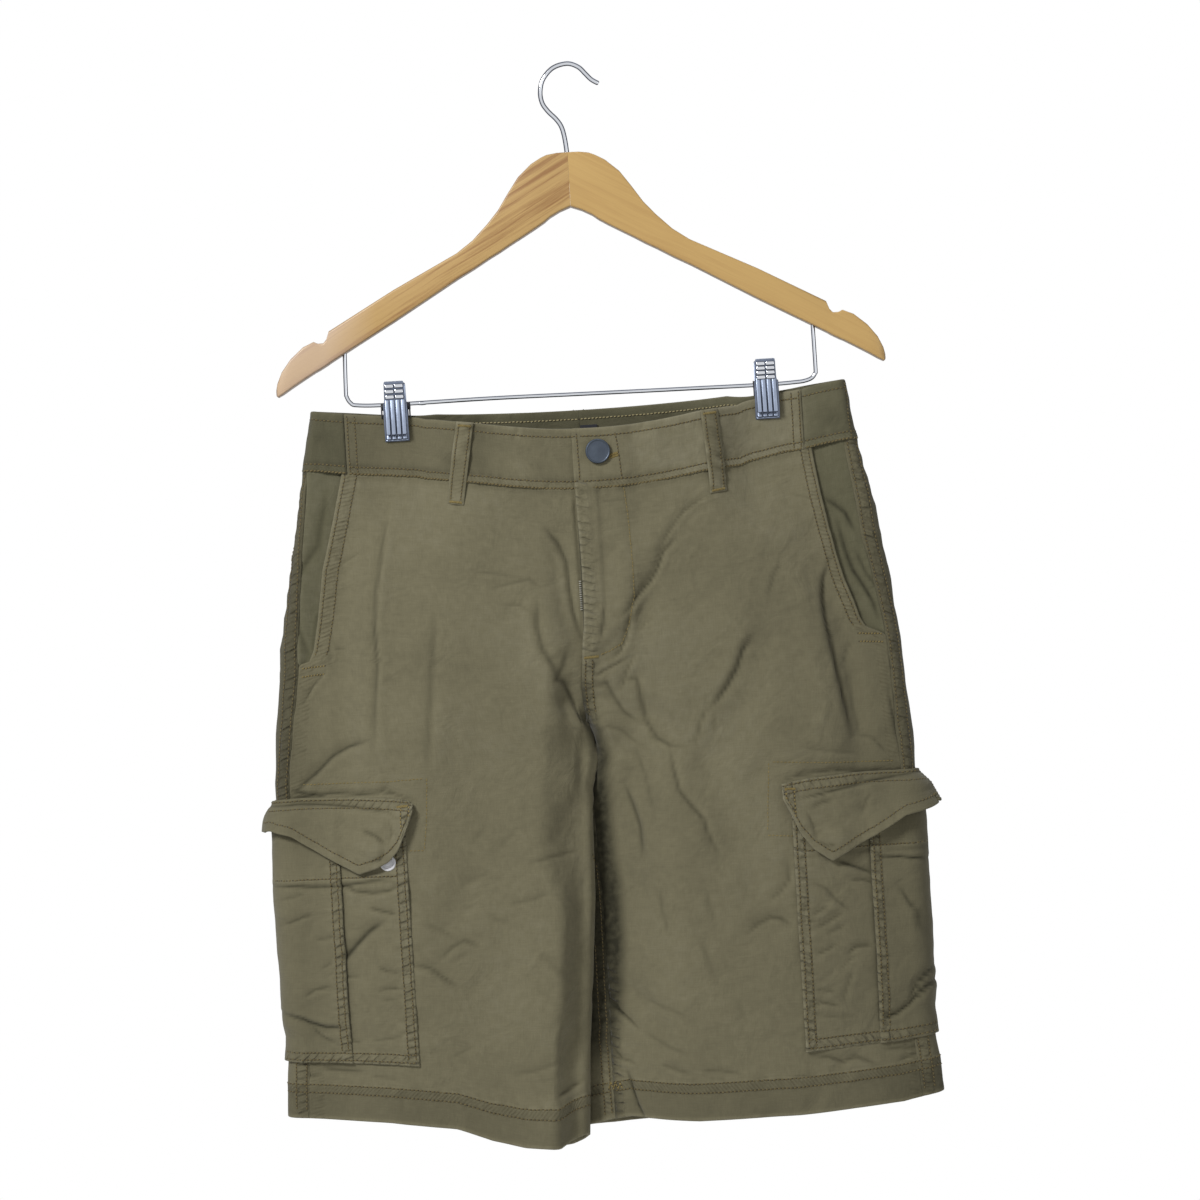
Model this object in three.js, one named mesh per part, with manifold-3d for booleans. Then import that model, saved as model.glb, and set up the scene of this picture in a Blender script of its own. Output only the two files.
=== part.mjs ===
// Cargo shorts hung from a wooden clip hanger, each cut piece of cloth a wall of its own.
// Millimetres, +Z up. The front of the shorts faces -Y, and the origin is where the hook
// bears on a rail. "right" and "left" are the wearer's sides, so right lies at -X.
import * as THREE from 'three';
import { mergeVertices } from 'three/addons/utils/BufferGeometryUtils.js';
import Module from 'manifold-3d';

const wasm = await Module();
wasm.setup();

// ---- driving dimensions ---------------------------------------------------------------
const centreX = -7; // the shorts hang a little to one side of the hook
const cloth = { wall: 1.4, gap: 0.3, seamGap: 0.15 };
const rows = { top: -240.8, seam: -283.5, hem: -768 };
const waist = {
  wall: 2.6, halfWidth: 193.5, backSag: 10.5, frontSag: 18,
  sagAt: 14, sagRight: 122, sagLeft: 135, seamRight: 171, seamLeft: 163,
};
const clip = { right: -133, left: 137.5, wall: 0.9 };
const crotch = { z: -506, rise: 40, partZ: -415 };
const fly = { lap: 2.7, width: 26, fade: 16, raise: 3.2, bottomZ: -430, zipShows: 5.2 };
const pocket = { wall: 1.2, topZ: -539, stand: 2.1, puff: 1.5, pleatX: 191, pleatRaise: 1.7 };
const flapWall = 1.8;
const hemFold = { depth: 27, extra: 0.7 };
const beltLoop = { width: 13, wall: 1.6, length: 61, stand: 2.4 };
const button = { radius: 9, x: 12.2, z: -286.3 };
const snapRadius = 6.5;
const hanger = { joinX: -3.6, halfThick: 6, round: 3.6, wire: 1.75, bar: 1.5, hole: 2.1 };
const colours = {
  cloth: 0x77725a, facing: 0x69644e, button: 0x4d5762, zip: 0xb9b6a6, label: 0x23262e,
  snap: 0xe4e4e8, wood: 0xc79f64, chrome: 0xc9cdd6,
};

// ---- the form of the hanging shorts ---------------------------------------------------
// Sections of the whole garment: half width to the right and to the left, how far the
// front and the back belly out, and the radius that the cloth folds round at the side.
const sections = [
  { z: -240, right: 193.5, left: 193.5, front: 12, back: 4, fold: 4.0 },
  { z: -290, right: 203.5, left: 201.5, front: 13, back: 8, fold: 4.6 },
  { z: -333, right: 211.5, left: 211.0, front: 16, back: 13, fold: 6.0 },
  { z: -377, right: 220.0, left: 218.0, front: 19, back: 18, fold: 7.0 },
  { z: -413, right: 227.0, left: 222.0, front: 21, back: 21, fold: 8.0 },
  { z: -462, right: 232.5, left: 226.0, front: 22, back: 22, fold: 9.0 },
  { z: -510, right: 237.5, left: 229.0, front: 22, back: 20, fold: 9.5 },
  { z: -560, right: 237.5, left: 229.5, front: 21, back: 17, fold: 10 },
  { z: -640, right: 236.5, left: 229.0, front: 20, back: 15, fold: 10 },
  { z: -700, right: 236.5, left: 228.5, front: 19, back: 14, fold: 9.5 },
  { z: -735, right: 240.5, left: 233.0, front: 19, back: 14, fold: 9.5 },
  { z: -770, right: 243.0, left: 236.5, front: 18, back: 15, fold: 9.0 },
];
// The inner end of each leg below the crotch: its distance out from the middle, the radius
// it folds round, how far it swings back, and how far the inseam has crept to the front.
const innerEnds = {
  right: [
    { z: crotch.z, inner: 0, fold: 2.4, swing: 0, creep: 0 },
    { z: -516, inner: 3.4, fold: 2.9, swing: -2.8, creep: -1 },
    { z: -525, inner: 5.8, fold: 3.4, swing: -4.5, creep: -2 },
    { z: -545, inner: 7.8, fold: 4.6, swing: -6.6, creep: -4 },
    { z: -572, inner: 8.5, fold: 5.4, swing: -8.0, creep: -6 },
    { z: -605, inner: 9.5, fold: 6.0, swing: -9.0, creep: -9 },
    { z: -667, inner: 15, fold: 6.5, swing: -9.5, creep: -12 },
    { z: -711, inner: 20, fold: 7.0, swing: -9.5, creep: -14 },
    { z: -770, inner: 24, fold: 7.5, swing: -9.0, creep: -16 },
  ],
  left: [
    { z: crotch.z, inner: 0, fold: 2.4, swing: 0, creep: 0 },
    { z: -516, inner: -3.5, fold: 2.9, swing: 2.8, creep: 1 },
    { z: -525, inner: -6.6, fold: 3.4, swing: 4.5, creep: 3 },
    { z: -545, inner: -11, fold: 4.6, swing: 6.6, creep: 6 },
    { z: -572, inner: -13.5, fold: 5.4, swing: 8.0, creep: 10 },
    { z: -605, inner: -16, fold: 6.0, swing: 9.0, creep: 15 },
    { z: -667, inner: -22, fold: 6.5, swing: 9.5, creep: 21 },
    { z: -711, inner: -27, fold: 7.0, swing: 9.5, creep: 26 },
    { z: -770, inner: -30, fold: 7.5, swing: 9.0, creep: 30 },
  ],
};
// The pocket mouth, which meets the side seam at its lower end.
const mouth = {
  right: [
    { z: -284, x: 171 }, { z: -321, x: 177 }, { z: -357, x: 186 }, { z: -393, x: 194 },
    { z: -415, x: 199.5 }, { z: -424, x: 204.5 }, { z: -430, x: 217 },
  ],
  left: [
    { z: -284, x: 167.5 }, { z: -320, x: 171 }, { z: -342, x: 173.5 }, { z: -383, x: 179.5 },
    { z: -413, x: 191 }, { z: -425, x: 200 }, { z: -430, x: 210 },
  ],
};
const mouthEndZ = -430;
const seamInset = [{ z: -284, in: 6 }, { z: -430, in: 9.5 }, { z: -770, in: 12 }];
// The cargo pocket's front edge and lower edge.
const pocketEdge = { right: { x: 143, low: -722 }, left: { x: 136, low: -723.5 } };
// Lower edge of each leg, against the distance out from the middle.
const hems = {
  right: [
    { x: 24, front: -774, back: -781 }, { x: 45, front: -783, back: -788 },
    { x: 70, front: -781, back: -786 }, { x: 93, front: -775, back: -778 },
    { x: 118, front: -765, back: -768 }, { x: 165, front: -758, back: -761 },
    { x: 243, front: -752, back: -753 },
  ],
  left: [
    { x: -30, front: -773, back: -775 }, { x: 8, front: -766, back: -773 },
    { x: 57, front: -770, back: -772 }, { x: 130, front: -770, back: -771 },
    { x: 205, front: -767, back: -768 }, { x: 240, front: -761, back: -762 },
  ],
};
// Upper and lower edge of each flap, from its front end round to the side: its other half
// is the same. at is the distance from the front end, as a share of the way to the side.
const flapEdges = {
  right: [
    { at: 0, top: -530, low: -533 }, { at: 0.04, top: -526.5, low: -543 },
    { at: 0.14, top: -524.5, low: -563 }, { at: 0.24, top: -523.8, low: -569.5 },
    { at: 0.36, top: -522.8, low: -578.5 }, { at: 0.53, top: -521.8, low: -570.5 },
    { at: 0.77, top: -520.5, low: -557 }, { at: 1, top: -519.3, low: -544 },
  ],
  left: [
    { at: 0, top: -531, low: -541 }, { at: 0.045, top: -530, low: -552 },
    { at: 0.1, top: -529, low: -567 }, { at: 0.18, top: -528, low: -579 },
    { at: 0.3, top: -527.3, low: -588.5 }, { at: 0.47, top: -526.5, low: -579 },
    { at: 0.72, top: -526.5, low: -566 }, { at: 1, top: -527, low: -551 },
  ],
};
const flapStart = { right: 136, left: 129.5 };
// The largest folds: each runs from one point to another of the front or the back, with its
// bow to one side, its half width, and its height, above 0 for a ridge.
const frontFolds = [
  { from: [-172, -330], to: [-182, -505], bow: 5, wide: 9, high: -2.8 },
  { from: [-150, -345], to: [-158, -500], bow: 4, wide: 14, high: 2.4 },
  { from: [-20, -340], to: [-7, -425], bow: 5, wide: 8, high: -2.8 },
  { from: [-44, -380], to: [-26, -478], bow: -6, wide: 13, high: 3.6 },
  { from: [-14, -452], to: [-9, -520], bow: 4, wide: 9, high: -3.0 },
  { from: [-118, -480], to: [-120, -720], bow: 8, wide: 20, high: 2.0 },
  { from: [-62, -520], to: [-70, -735], bow: -8, wide: 22, high: 2.4 },
  { from: [-50, -748], to: [-34, -700], bow: 3, wide: 12, high: -3.2 },
  { from: [-92, -585], to: [-128, -640], bow: 4, wide: 12, high: -2.0 },
  { from: [92, -318], to: [38, -425], bow: 16, wide: 8, high: -3.6 },
  { from: [72, -335], to: [30, -400], bow: 10, wide: 12, high: 2.6 },
  { from: [128, -412], to: [74, -520], bow: -5, wide: 12, high: -2.8 },
  { from: [30, -468], to: [88, -532], bow: -8, wide: 10, high: -2.6 },
  { from: [172, -385], to: [190, -512], bow: -4, wide: 9, high: -3.6 },
  { from: [152, -390], to: [168, -505], bow: -4, wide: 12, high: 2.6 },
  { from: [42, -545], to: [82, -700], bow: 8, wide: 20, high: 2.6 },
  { from: [92, -535], to: [122, -640], bow: 6, wide: 16, high: -2.4 },
  { from: [6, -672], to: [36, -712], bow: -4, wide: 10, high: -3.0 },
];
const backFolds = [
  { from: [-12, -330], to: [-16, -470], bow: 4, wide: 12, high: -2.2 },
  { from: [-120, -330], to: [-150, -500], bow: 10, wide: 16, high: 2.4 },
  { from: [-30, -478], to: [-95, -540], bow: 8, wide: 11, high: -2.6 },
  { from: [-95, -520], to: [-80, -730], bow: -8, wide: 20, high: 2.4 },
  { from: [110, -340], to: [158, -500], bow: -8, wide: 15, high: -2.4 },
  { from: [34, -480], to: [102, -545], bow: -8, wide: 11, high: -2.6 },
  { from: [84, -540], to: [96, -735], bow: 6, wide: 20, high: 2.4 },
];

// ---- reading the tables ---------------------------------------------------------------
const { lerp, clamp } = THREE.MathUtils;
const smooth = (t) => THREE.MathUtils.smoothstep(t, 0, 1);

// One column's value where the table's key column reaches a value, in either direction.
function look(table, key, at, column) {
  const rising = table[table.length - 1][key] > table[0][key] ? 1 : -1;
  if ((at - table[0][key]) * rising <= 0) return table[0][column];
  for (let i = 1; i < table.length; i++) {
    const a = table[i - 1];
    const b = table[i];
    if ((at - b[key]) * rising <= 0) {
      return lerp(a[column], b[column], (at - a[key]) / (b[key] - a[key]));
    }
  }
  return table[table.length - 1][column];
}

// Height of the folds at a point of the front or the back.
function foldHeight(folds, x, z) {
  let sum = 0;
  for (const fold of folds) {
    const [x0, z0] = fold.from;
    const [x1, z1] = fold.to;
    const long = Math.hypot(x1 - x0, z1 - z0);
    const dx = (x1 - x0) / long;
    const dz = (z1 - z0) / long;
    const along = ((x - x0) * dx + (z - z0) * dz) / long;
    if (along < -0.2 || along > 1.2) continue;
    const bow = fold.bow * (1 - (2 * along - 1) ** 2);
    const across = (x - x0) * dz - (z - z0) * dx - bow;
    const taper = smooth((along + 0.2) / 0.35) * smooth((1.2 - along) / 0.35);
    sum += fold.high * taper * Math.exp(-((across / fold.wide) ** 2));
  }
  return sum;
}

// The clips press the front and the back of the waist together.
function pinch(x, z) {
  const near = Math.min(Math.abs(x - clip.right), Math.abs(x - clip.left));
  return (1 - smooth((near - 10) / 42)) * smooth((z + 350) / 74);
}

// How far a point moves up or down from its level row: the waist sags and the hem is uneven.
// backness runs from 0 on the front to 1 on the back.
function settle(side, x, z, backness) {
  const share = clamp(Math.abs(x) / waist.halfWidth, 0, 1);
  const reach = x < waist.sagAt ? waist.sagRight : waist.sagLeft;
  const sharp = 1 - ((x - waist.sagAt) / reach) ** 2;
  const sag = (sharp + Math.sqrt(sharp * sharp + 0.02)) / 2;
  const upper = -waist.backSag * (1 - share * share) - waist.frontSag * sag * (1 - backness);
  const out = side === 'left' ? x : -x;
  const hemFront = look(hems[side], 'x', out, 'front');
  const hemBack = look(hems[side], 'x', out, 'back');
  const lower = lerp(hemFront, hemBack, backness) - rows.hem;
  return upper * smooth((z + 455) / 170) + lower * smooth((-650 - z) / 118);
}

// ---- one side's section at a level row ------------------------------------------------
// A line of points [x, y, outward x, outward y] that starts at the centre front or the
// inseam, goes round the side and ends at the centre back or the inseam. x is measured out
// from the middle on either side.
const kept = new Map();
function sectionOf(side, z) {
  const key = side + z.toFixed(2);
  if (kept.has(key)) return kept.get(key);
  const sign = side === 'left' ? 1 : -1;
  const half = look(sections, 'z', z, side);
  const fold = look(sections, 'z', z, 'fold');
  const front = look(sections, 'z', z, 'front');
  const back = look(sections, 'z', z, 'back');
  const ends = innerEnds[side];
  const closed = z <= crotch.z;
  const turn = (Math.PI / 2) * smooth((crotch.z + crotch.rise - z) / crotch.rise);
  const innerFold = look(ends, 'z', z, 'fold');
  const parted = smooth((crotch.partZ - z) / (crotch.partZ - crotch.z));
  const swing = look(ends, 'z', z, 'swing');
  const start = look(ends, 'z', z, 'inner') + cloth.seamGap;
  const innerX = start + (innerFold + cloth.wall / 2) * Math.sin(turn);
  const outerX = half - fold - cloth.wall / 2;
  const shareOf = (x) => clamp((x - innerX) / (outerX - innerX), 0, 1);
  const rise = side === 'left' ? 0.3 : 0.17; // how soon a leg bellies out from its inner end
  const bellyOf = (x) => {
    const whole = smooth((1 - x / outerX) / 0.55);
    const leg = smooth(shareOf(x) / rise) * smooth((1 - shareOf(x)) / 0.42);
    return lerp(whole, leg, parted);
  };
  const middleOf = (x) => swing * (1 - smooth((x - innerX) / 60));
  const least = (waist.wall + cloth.gap) / 2;
  const depthOf = (x, bulge) => {
    const thick = lerp(lerp(fold, innerFold, parted), fold, shareOf(x));
    return lerp(thick + bulge * bellyOf(x), least, pinch(sign * x, z));
  };
  const line = [];
  const arc = 8;
  const steps = 56;
  for (let i = 0; i < arc; i++) {
    const a = turn * (1 - i / arc);
    line.push([innerX - innerFold * Math.sin(a), middleOf(innerX) - innerFold * Math.cos(a)]);
  }
  const lift = depthOf(innerX, front) - innerFold;
  for (const p of line) p[1] -= lift * Math.cos(turn);
  const frontFirst = line.length;
  for (let i = 0; i <= steps; i++) {
    const x = lerp(innerX, outerX, i / steps);
    line.push([x, middleOf(x) - depthOf(x, front)]);
  }
  const frontLast = line.length - 1;
  const sideFold = -line[frontLast][1];
  for (let i = 1; i < 16; i++) {
    const a = (Math.PI * i) / 16;
    line.push([outerX + sideFold * Math.sin(a), -sideFold * Math.cos(a)]);
  }
  const backFirst = line.length;
  for (let i = 0; i <= steps; i++) {
    const x = lerp(outerX, innerX, i / steps);
    line.push([x, middleOf(x) + depthOf(x, back)]);
  }
  const backLast = line.length - 1;
  const drop = depthOf(innerX, back) - innerFold;
  for (let i = 1; i <= arc; i++) {
    const a = turn * (i / arc);
    const y = middleOf(innerX) + innerFold * Math.cos(a) + drop * Math.cos(turn);
    line.push([innerX - innerFold * Math.sin(a), y]);
  }
  const at = [0];
  for (let i = 1; i < line.length; i++) {
    at.push(at[i - 1] + Math.hypot(line[i][0] - line[i - 1][0], line[i][1] - line[i - 1][1]));
  }
  const section = {
    sign, line, at, closed, half, outerX, middleOf,
    length: at[at.length - 1],
    frontFirst, frontLast, backFirst, backLast,
    creep: closed ? look(ends, 'z', z, 'creep') : 0,
  };
  kept.set(key, section);
  return section;
}

// Distance along the section to where its front, or its back, reaches x.
function alongFront(section, x) {
  for (let i = section.frontFirst + 1; i < section.backFirst; i++) {
    if (section.line[i][0] >= x) {
      const a = section.line[i - 1][0];
      const b = section.line[i][0];
      return lerp(section.at[i - 1], section.at[i], clamp((x - a) / (b - a), 0, 1));
    }
  }
  return section.at[section.frontLast];
}
function alongBack(section, x) {
  for (let i = section.backFirst + 1; i <= section.backLast; i++) {
    if (section.line[i][0] <= x) {
      const a = section.line[i - 1][0];
      const b = section.line[i][0];
      return lerp(section.at[i - 1], section.at[i], clamp((a - x) / (a - b), 0, 1));
    }
  }
  return section.at[section.backLast];
}

// Distances along the section to its seams, and to the very side.
function marksOf(side, z) {
  const section = sectionOf(side, z);
  const seamX = section.half - look(seamInset, 'z', z, 'in');
  const sideSeam = alongFront(section, seamX);
  const mouthX = z > mouthEndZ ? Math.min(look(mouth[side], 'z', z, 'x'), seamX) : seamX;
  return {
    section,
    first: section.creep,
    last: section.length + section.creep,
    sideSeam,
    mouth: alongFront(section, mouthX),
    side: (section.at[section.frontLast] + section.at[section.backFirst]) / 2,
    sideStart: section.at[section.frontLast],
    sideEnd: section.at[section.backFirst],
  };
}

// A point of the garment's surface, lifted off it by lift.
function surface(side, z, along, lift = 0) {
  const section = sectionOf(side, z);
  const { line, at, sign } = section;
  let s = along;
  if (section.closed) s = THREE.MathUtils.euclideanModulo(along, section.length);
  s = clamp(s, 0, section.length);
  let i = 1;
  while (i < at.length - 1 && at[i] < s) i++;
  const share = clamp((s - at[i - 1]) / (at[i] - at[i - 1] || 1), 0, 1);
  const x = lerp(line[i - 1][0], line[i][0], share);
  const y = lerp(line[i - 1][1], line[i][1], share);
  const wrap = (k) => {
    if (!section.closed) return line[clamp(k, 0, line.length - 1)];
    return line[THREE.MathUtils.euclideanModulo(k, line.length - 1)];
  };
  const slope = (k) => {
    const a = wrap(k - 1);
    const b = wrap(k + 1);
    const d = new THREE.Vector2(b[1] - a[1], a[0] - b[0]);
    return d.normalize();
  };
  const normal = slope(i - 1).lerp(slope(i), share).normalize();
  const mid = section.middleOf(x);
  const depth = Math.max(Math.abs(line[section.frontLast][1]), 2.4);
  const backness = clamp(0.5 + (0.5 * (y - mid)) / depth, 0, 1);
  const finalZ = z + settle(side, sign * x, z, backness);
  const folds = backness < 0.5 ? frontFolds : backFolds;
  const flat = smooth((section.outerX - x) / 22) * smooth((Math.abs(y - mid) - 1.6) / 4);
  const calm = (1 - pinch(sign * x, z)) * smooth((rows.seam + 4 - z) / 40);
  let rise = foldHeight(folds, sign * x, finalZ) * flat * calm;
  rise = Math.max(rise, -(Math.abs(y - mid) - 1.4));
  return new THREE.Vector3(
    centreX + sign * (x + normal.x * (rise + lift)),
    y + normal.y * (rise + lift),
    finalZ,
  );
}

// The surface's outward direction at a point.
function facing(side, z, along) {
  const across = surface(side, z, along + 0.5).sub(surface(side, z, along - 0.5));
  const section = sectionOf(side, z);
  const onBack = along > (section.at[section.frontLast] + section.at[section.backFirst]) / 2;
  // The back is measured from its far end, so that a change of length doesn't slant it.
  const near = (level) => {
    const shift = onBack ? sectionOf(side, level).length - section.length : 0;
    return surface(side, level, along + shift);
  };
  const down = near(z - 1.5).sub(near(z + 1.5));
  return across.cross(down).normalize().multiplyScalar(side === 'left' ? -1 : 1);
}

// A point of a piece that lies on the garment, with its outward direction.
function lay(side, z, along, lift = 0) {
  return { p: surface(side, z, along, lift), n: facing(side, z, along) };
}

// ---- building bodies ------------------------------------------------------------------
const group = new THREE.Group();

function add(name, geometry, colour, roughness, metalness = 0) {
  const material = new THREE.MeshStandardMaterial({ color: colour, roughness, metalness });
  const mesh = new THREE.Mesh(geometry, material);
  mesh.name = name;
  group.add(mesh);
  return mesh;
}

// Points and triangles as a geometry whose faces look out.
function bodyOf(points, triangles) {
  const geometry = new THREE.BufferGeometry();
  geometry.setAttribute('position', new THREE.Float32BufferAttribute(points.flat(), 3));
  let volume = 0;
  for (const [a, b, c] of triangles) {
    const p = new THREE.Vector3(...points[a]);
    const q = new THREE.Vector3(...points[b]);
    volume += p.dot(q.cross(new THREE.Vector3(...points[c])));
  }
  const index = volume > 0 ? triangles : triangles.map(([a, b, c]) => [a, c, b]);
  geometry.setIndex(index.flat());
  geometry.computeVertexNormals();
  return geometry;
}

// A closed wall on a grid of middle points and outward directions. thick gives how far it
// goes out and back from them at each row and column, and trim may move a finished point.
function wall(grid, thick, trim = (p) => p) {
  const rowCount = grid.length;
  const columnCount = grid[0].length;
  const points = [];
  for (let r = 0; r < rowCount; r++) {
    for (let c = 0; c < columnCount; c++) {
      const { p, n } = grid[r][c];
      const { out, back } = thick(r, c);
      points.push(trim(p.clone().addScaledVector(n, out), r).toArray());
      points.push(trim(p.clone().addScaledVector(n, -back), r).toArray());
    }
  }
  const triangles = [];
  const quad = (a, b, c, d) => triangles.push([a, b, c], [a, c, d]);
  const id = (face, r, c) => 2 * (r * columnCount + c) + face;
  for (let r = 0; r < rowCount - 1; r++) {
    for (let c = 0; c < columnCount - 1; c++) {
      quad(id(0, r, c), id(0, r, c + 1), id(0, r + 1, c + 1), id(0, r + 1, c));
      quad(id(1, r, c), id(1, r + 1, c), id(1, r + 1, c + 1), id(1, r, c + 1));
    }
  }
  for (let c = 0; c < columnCount - 1; c++) {
    const last = rowCount - 1;
    quad(id(0, 0, c), id(1, 0, c), id(1, 0, c + 1), id(0, 0, c + 1));
    quad(id(0, last, c), id(0, last, c + 1), id(1, last, c + 1), id(1, last, c));
  }
  for (let r = 0; r < rowCount - 1; r++) {
    const last = columnCount - 1;
    quad(id(0, r, 0), id(0, r + 1, 0), id(1, r + 1, 0), id(1, r, 0));
    quad(id(0, r, last), id(1, r, last), id(1, r + 1, last), id(0, r + 1, last));
  }
  return bodyOf(points, triangles);
}

const evenWall = (thickness) => () => ({ out: thickness / 2, back: thickness / 2 });

// Values spread between anchors, each anchor with the number of steps to the next.
function spread(anchors) {
  const values = [];
  anchors.forEach(([value, steps], i) => {
    if (i === anchors.length - 1) {
      values.push(value);
      return;
    }
    for (let k = 0; k < steps; k++) values.push(lerp(value, anchors[i + 1][0], k / steps));
  });
  return values;
}

// ---- the panels -----------------------------------------------------------------------
const gap = cloth.seamGap;
const hemTop = rows.hem + hemFold.depth;
const panelRows = spread([
  [rows.seam - gap * 3, 6], [-413, 1], [-420, 1], [-425.5, 1], [mouthEndZ, 1], [-448, 1],
  [crotch.z + crotch.rise, 5], [crotch.z, 1], [-516, 1], [-526, 5],
  [hemTop + 1, 1], [hemTop, 2], [rows.hem, 0],
]);
const panelWall = (r) => ({
  out: cloth.wall / 2 + (panelRows[r] <= hemTop ? hemFold.extra : 0),
  back: cloth.wall / 2,
});

// The two halves stop at the middle, or where each leg's inner end is.
function keepToSide(side) {
  const sign = side === 'left' ? 1 : -1;
  return (p, r) => {
    const least = look(innerEnds[side], 'z', panelRows[r], 'inner') + gap * 0.9;
    const x = Math.max((p.x - centreX) * sign, least);
    return new THREE.Vector3(centreX + sign * x, p.y, p.z);
  };
}

// The left front laps over the right one at the fly.
function flyRaise(x, z) {
  const deep = smooth((z - fly.bottomZ + 16) / 30);
  const width = fly.width * smooth((z - fly.bottomZ + 4) / 46);
  return fly.raise * deep * (1 - smooth((x - width) / fly.fade));
}
const flyLap = (z) => fly.lap * smooth((z - fly.bottomZ) / 20);

function frontPanel(side) {
  const grid = panelRows.map((z) => {
    const m = marksOf(side, z);
    const first = m.first + gap;
    const last = m.mouth - gap;
    const near = first + Math.max(0, -m.first) + 16;
    const outer = alongFront(m.section, 158);
    const columns = spread([[first, 5], [near, 8], [outer, 4], [last, 0]]);
    return columns.map((s, c) => {
      const cell = lay(side, z, s);
      if (side === 'right') return cell;
      cell.p.addScaledVector(cell.n, flyRaise(cell.p.x - centreX, z));
      if (c === 0) cell.p.x -= flyLap(z);
      return cell;
    });
  });
  return wall(grid, panelWall, (p, r) => {
    if (side === 'left' && panelRows[r] > fly.bottomZ - 1) return p;
    return keepToSide(side)(p, r);
  });
}

function backPanel(side) {
  const grid = panelRows.map((z) => {
    const m = marksOf(side, z);
    const last = m.last - gap;
    const bend = m.sideEnd + 6;
    const near = last - Math.max(0, m.first) - 16;
    const columns = spread([[m.sideSeam + gap, 6], [bend, 6], [near, 5], [last, 0]]);
    return columns.map((s) => lay(side, z, s));
  });
  return wall(grid, panelWall, keepToSide(side));
}

// The facing lies behind the pocket mouth and comes forward to the side seam.
function pocketFacing(side) {
  const facingRows = spread([[rows.seam - gap * 3, 5], [-400, 3], [mouthEndZ + 4.5, 0]]);
  const grid = facingRows.map((z) => {
    const m = marksOf(side, z);
    const last = m.sideSeam - gap;
    return spread([[m.mouth - 8, 2], [m.mouth + 1, 4], [last, 0]]).map((s) => {
      const lift = -1.9 * (1 - smooth((s - m.mouth - 2.2) / (last - m.mouth - 2.2)));
      return lay(side, z, s, lift);
    });
  });
  return wall(grid, evenWall(1.2));
}

for (const side of ['right', 'left']) {
  add(`front_${side}`, frontPanel(side), colours.cloth, 0.92);
  add(`back_${side}`, backPanel(side), colours.cloth, 0.92);
  add(`pocket_facing_${side}`, pocketFacing(side), colours.facing, 0.92);
}

// The zip's tape shows beside the edge of the fly.
const zipRows = spread([[-322, 5], [fly.bottomZ + 20, 0]]);
const zipGrid = zipRows.map((z) => [
  lay('right', z, alongFront(sectionOf('right', z), fly.zipShows), 1.6),
  lay('right', z, alongFront(sectionOf('right', z), 0.6), 1.6),
  lay('left', z, alongFront(sectionOf('left', z), 5), 1.6),
]);
add('fly_zip', wall(zipGrid, evenWall(0.9)), colours.zip, 0.6);

// ---- the waistband --------------------------------------------------------------------
const bandRows = spread([[rows.top, 3], [rows.seam, 0]]);
const frontColumns = (side, z, xs, lift) =>
  xs.map((x) => lay(side, z, alongFront(sectionOf(side, z), x), lift(x)));

const rightBand = bandRows.map((z) => [
  ...frontColumns('left', z, [26, 17, 8], () => 0),
  ...frontColumns('right', z, spread([[0.2, 7], [120, 4], [waist.seamRight - gap, 0]]), () => 0),
]);
add('waistband_front_right', wall(rightBand, evenWall(waist.wall)), colours.cloth, 0.92);

const leftBand = bandRows.map((z) => {
  const lap = lay('right', z, alongFront(sectionOf('right', z), fly.lap + 0.3), fly.raise);
  const xs = spread([[3, 3], [26, 3], [44, 4], [124, 4], [waist.seamLeft - gap, 0]]);
  return [lap, ...frontColumns('left', z, xs, (x) => flyRaise(x, z))];
});
add('waistband_front_left', wall(leftBand, evenWall(waist.wall)), colours.cloth, 0.92);

const backBand = bandRows.map((z) => {
  const halfOf = (side, seam) => {
    const m = marksOf(side, z);
    const from = alongFront(m.section, seam) + gap;
    return spread([[from, 3], [m.sideStart, 6], [m.sideEnd, 3], [m.sideEnd + 60, 6], [m.last, 0]])
      .map((s) => lay(side, z, s));
  };
  const right = halfOf('right', waist.seamRight);
  const left = halfOf('left', waist.seamLeft).reverse();
  left.shift();
  right[right.length - 1].p.x = centreX;
  return [...right, ...left];
});
add('waistband_back', wall(backBand, evenWall(waist.wall)), colours.cloth, 0.92);

// Belt loops, numbered from the right front round by the left to the back. Each is given by
// its middle's distance from the centre, to the left above 0.
const beltLoops = [
  { x: -85, back: false }, { x: 96, back: false }, { x: 104, back: true },
  { x: 0, back: true }, { x: -104, back: true },
];
beltLoops.forEach(({ x, back }, i) => {
  const levels = spread([[rows.top - 0.6, 7], [rows.top - beltLoop.length, 0]]);
  const grid = levels.map((z, r) => {
    const down = r / (levels.length - 1);
    const clear = lerp(0.35, 0.75, smooth(down * 4)) + beltLoop.stand * Math.sin(Math.PI * down);
    const stand = (waist.wall + beltLoop.wall) / 2 + clear;
    return [-0.5, 0, 0.5].map((share) => {
      const at = x + share * beltLoop.width;
      const side = at > 0 ? 'left' : 'right';
      const along = back ? alongBack : alongFront;
      return lay(side, z, along(sectionOf(side, z), Math.abs(at)), stand);
    });
  });
  add(`belt_loop_${i + 1}`, wall(grid, evenWall(beltLoop.wall)), colours.cloth, 0.92);
});

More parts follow.
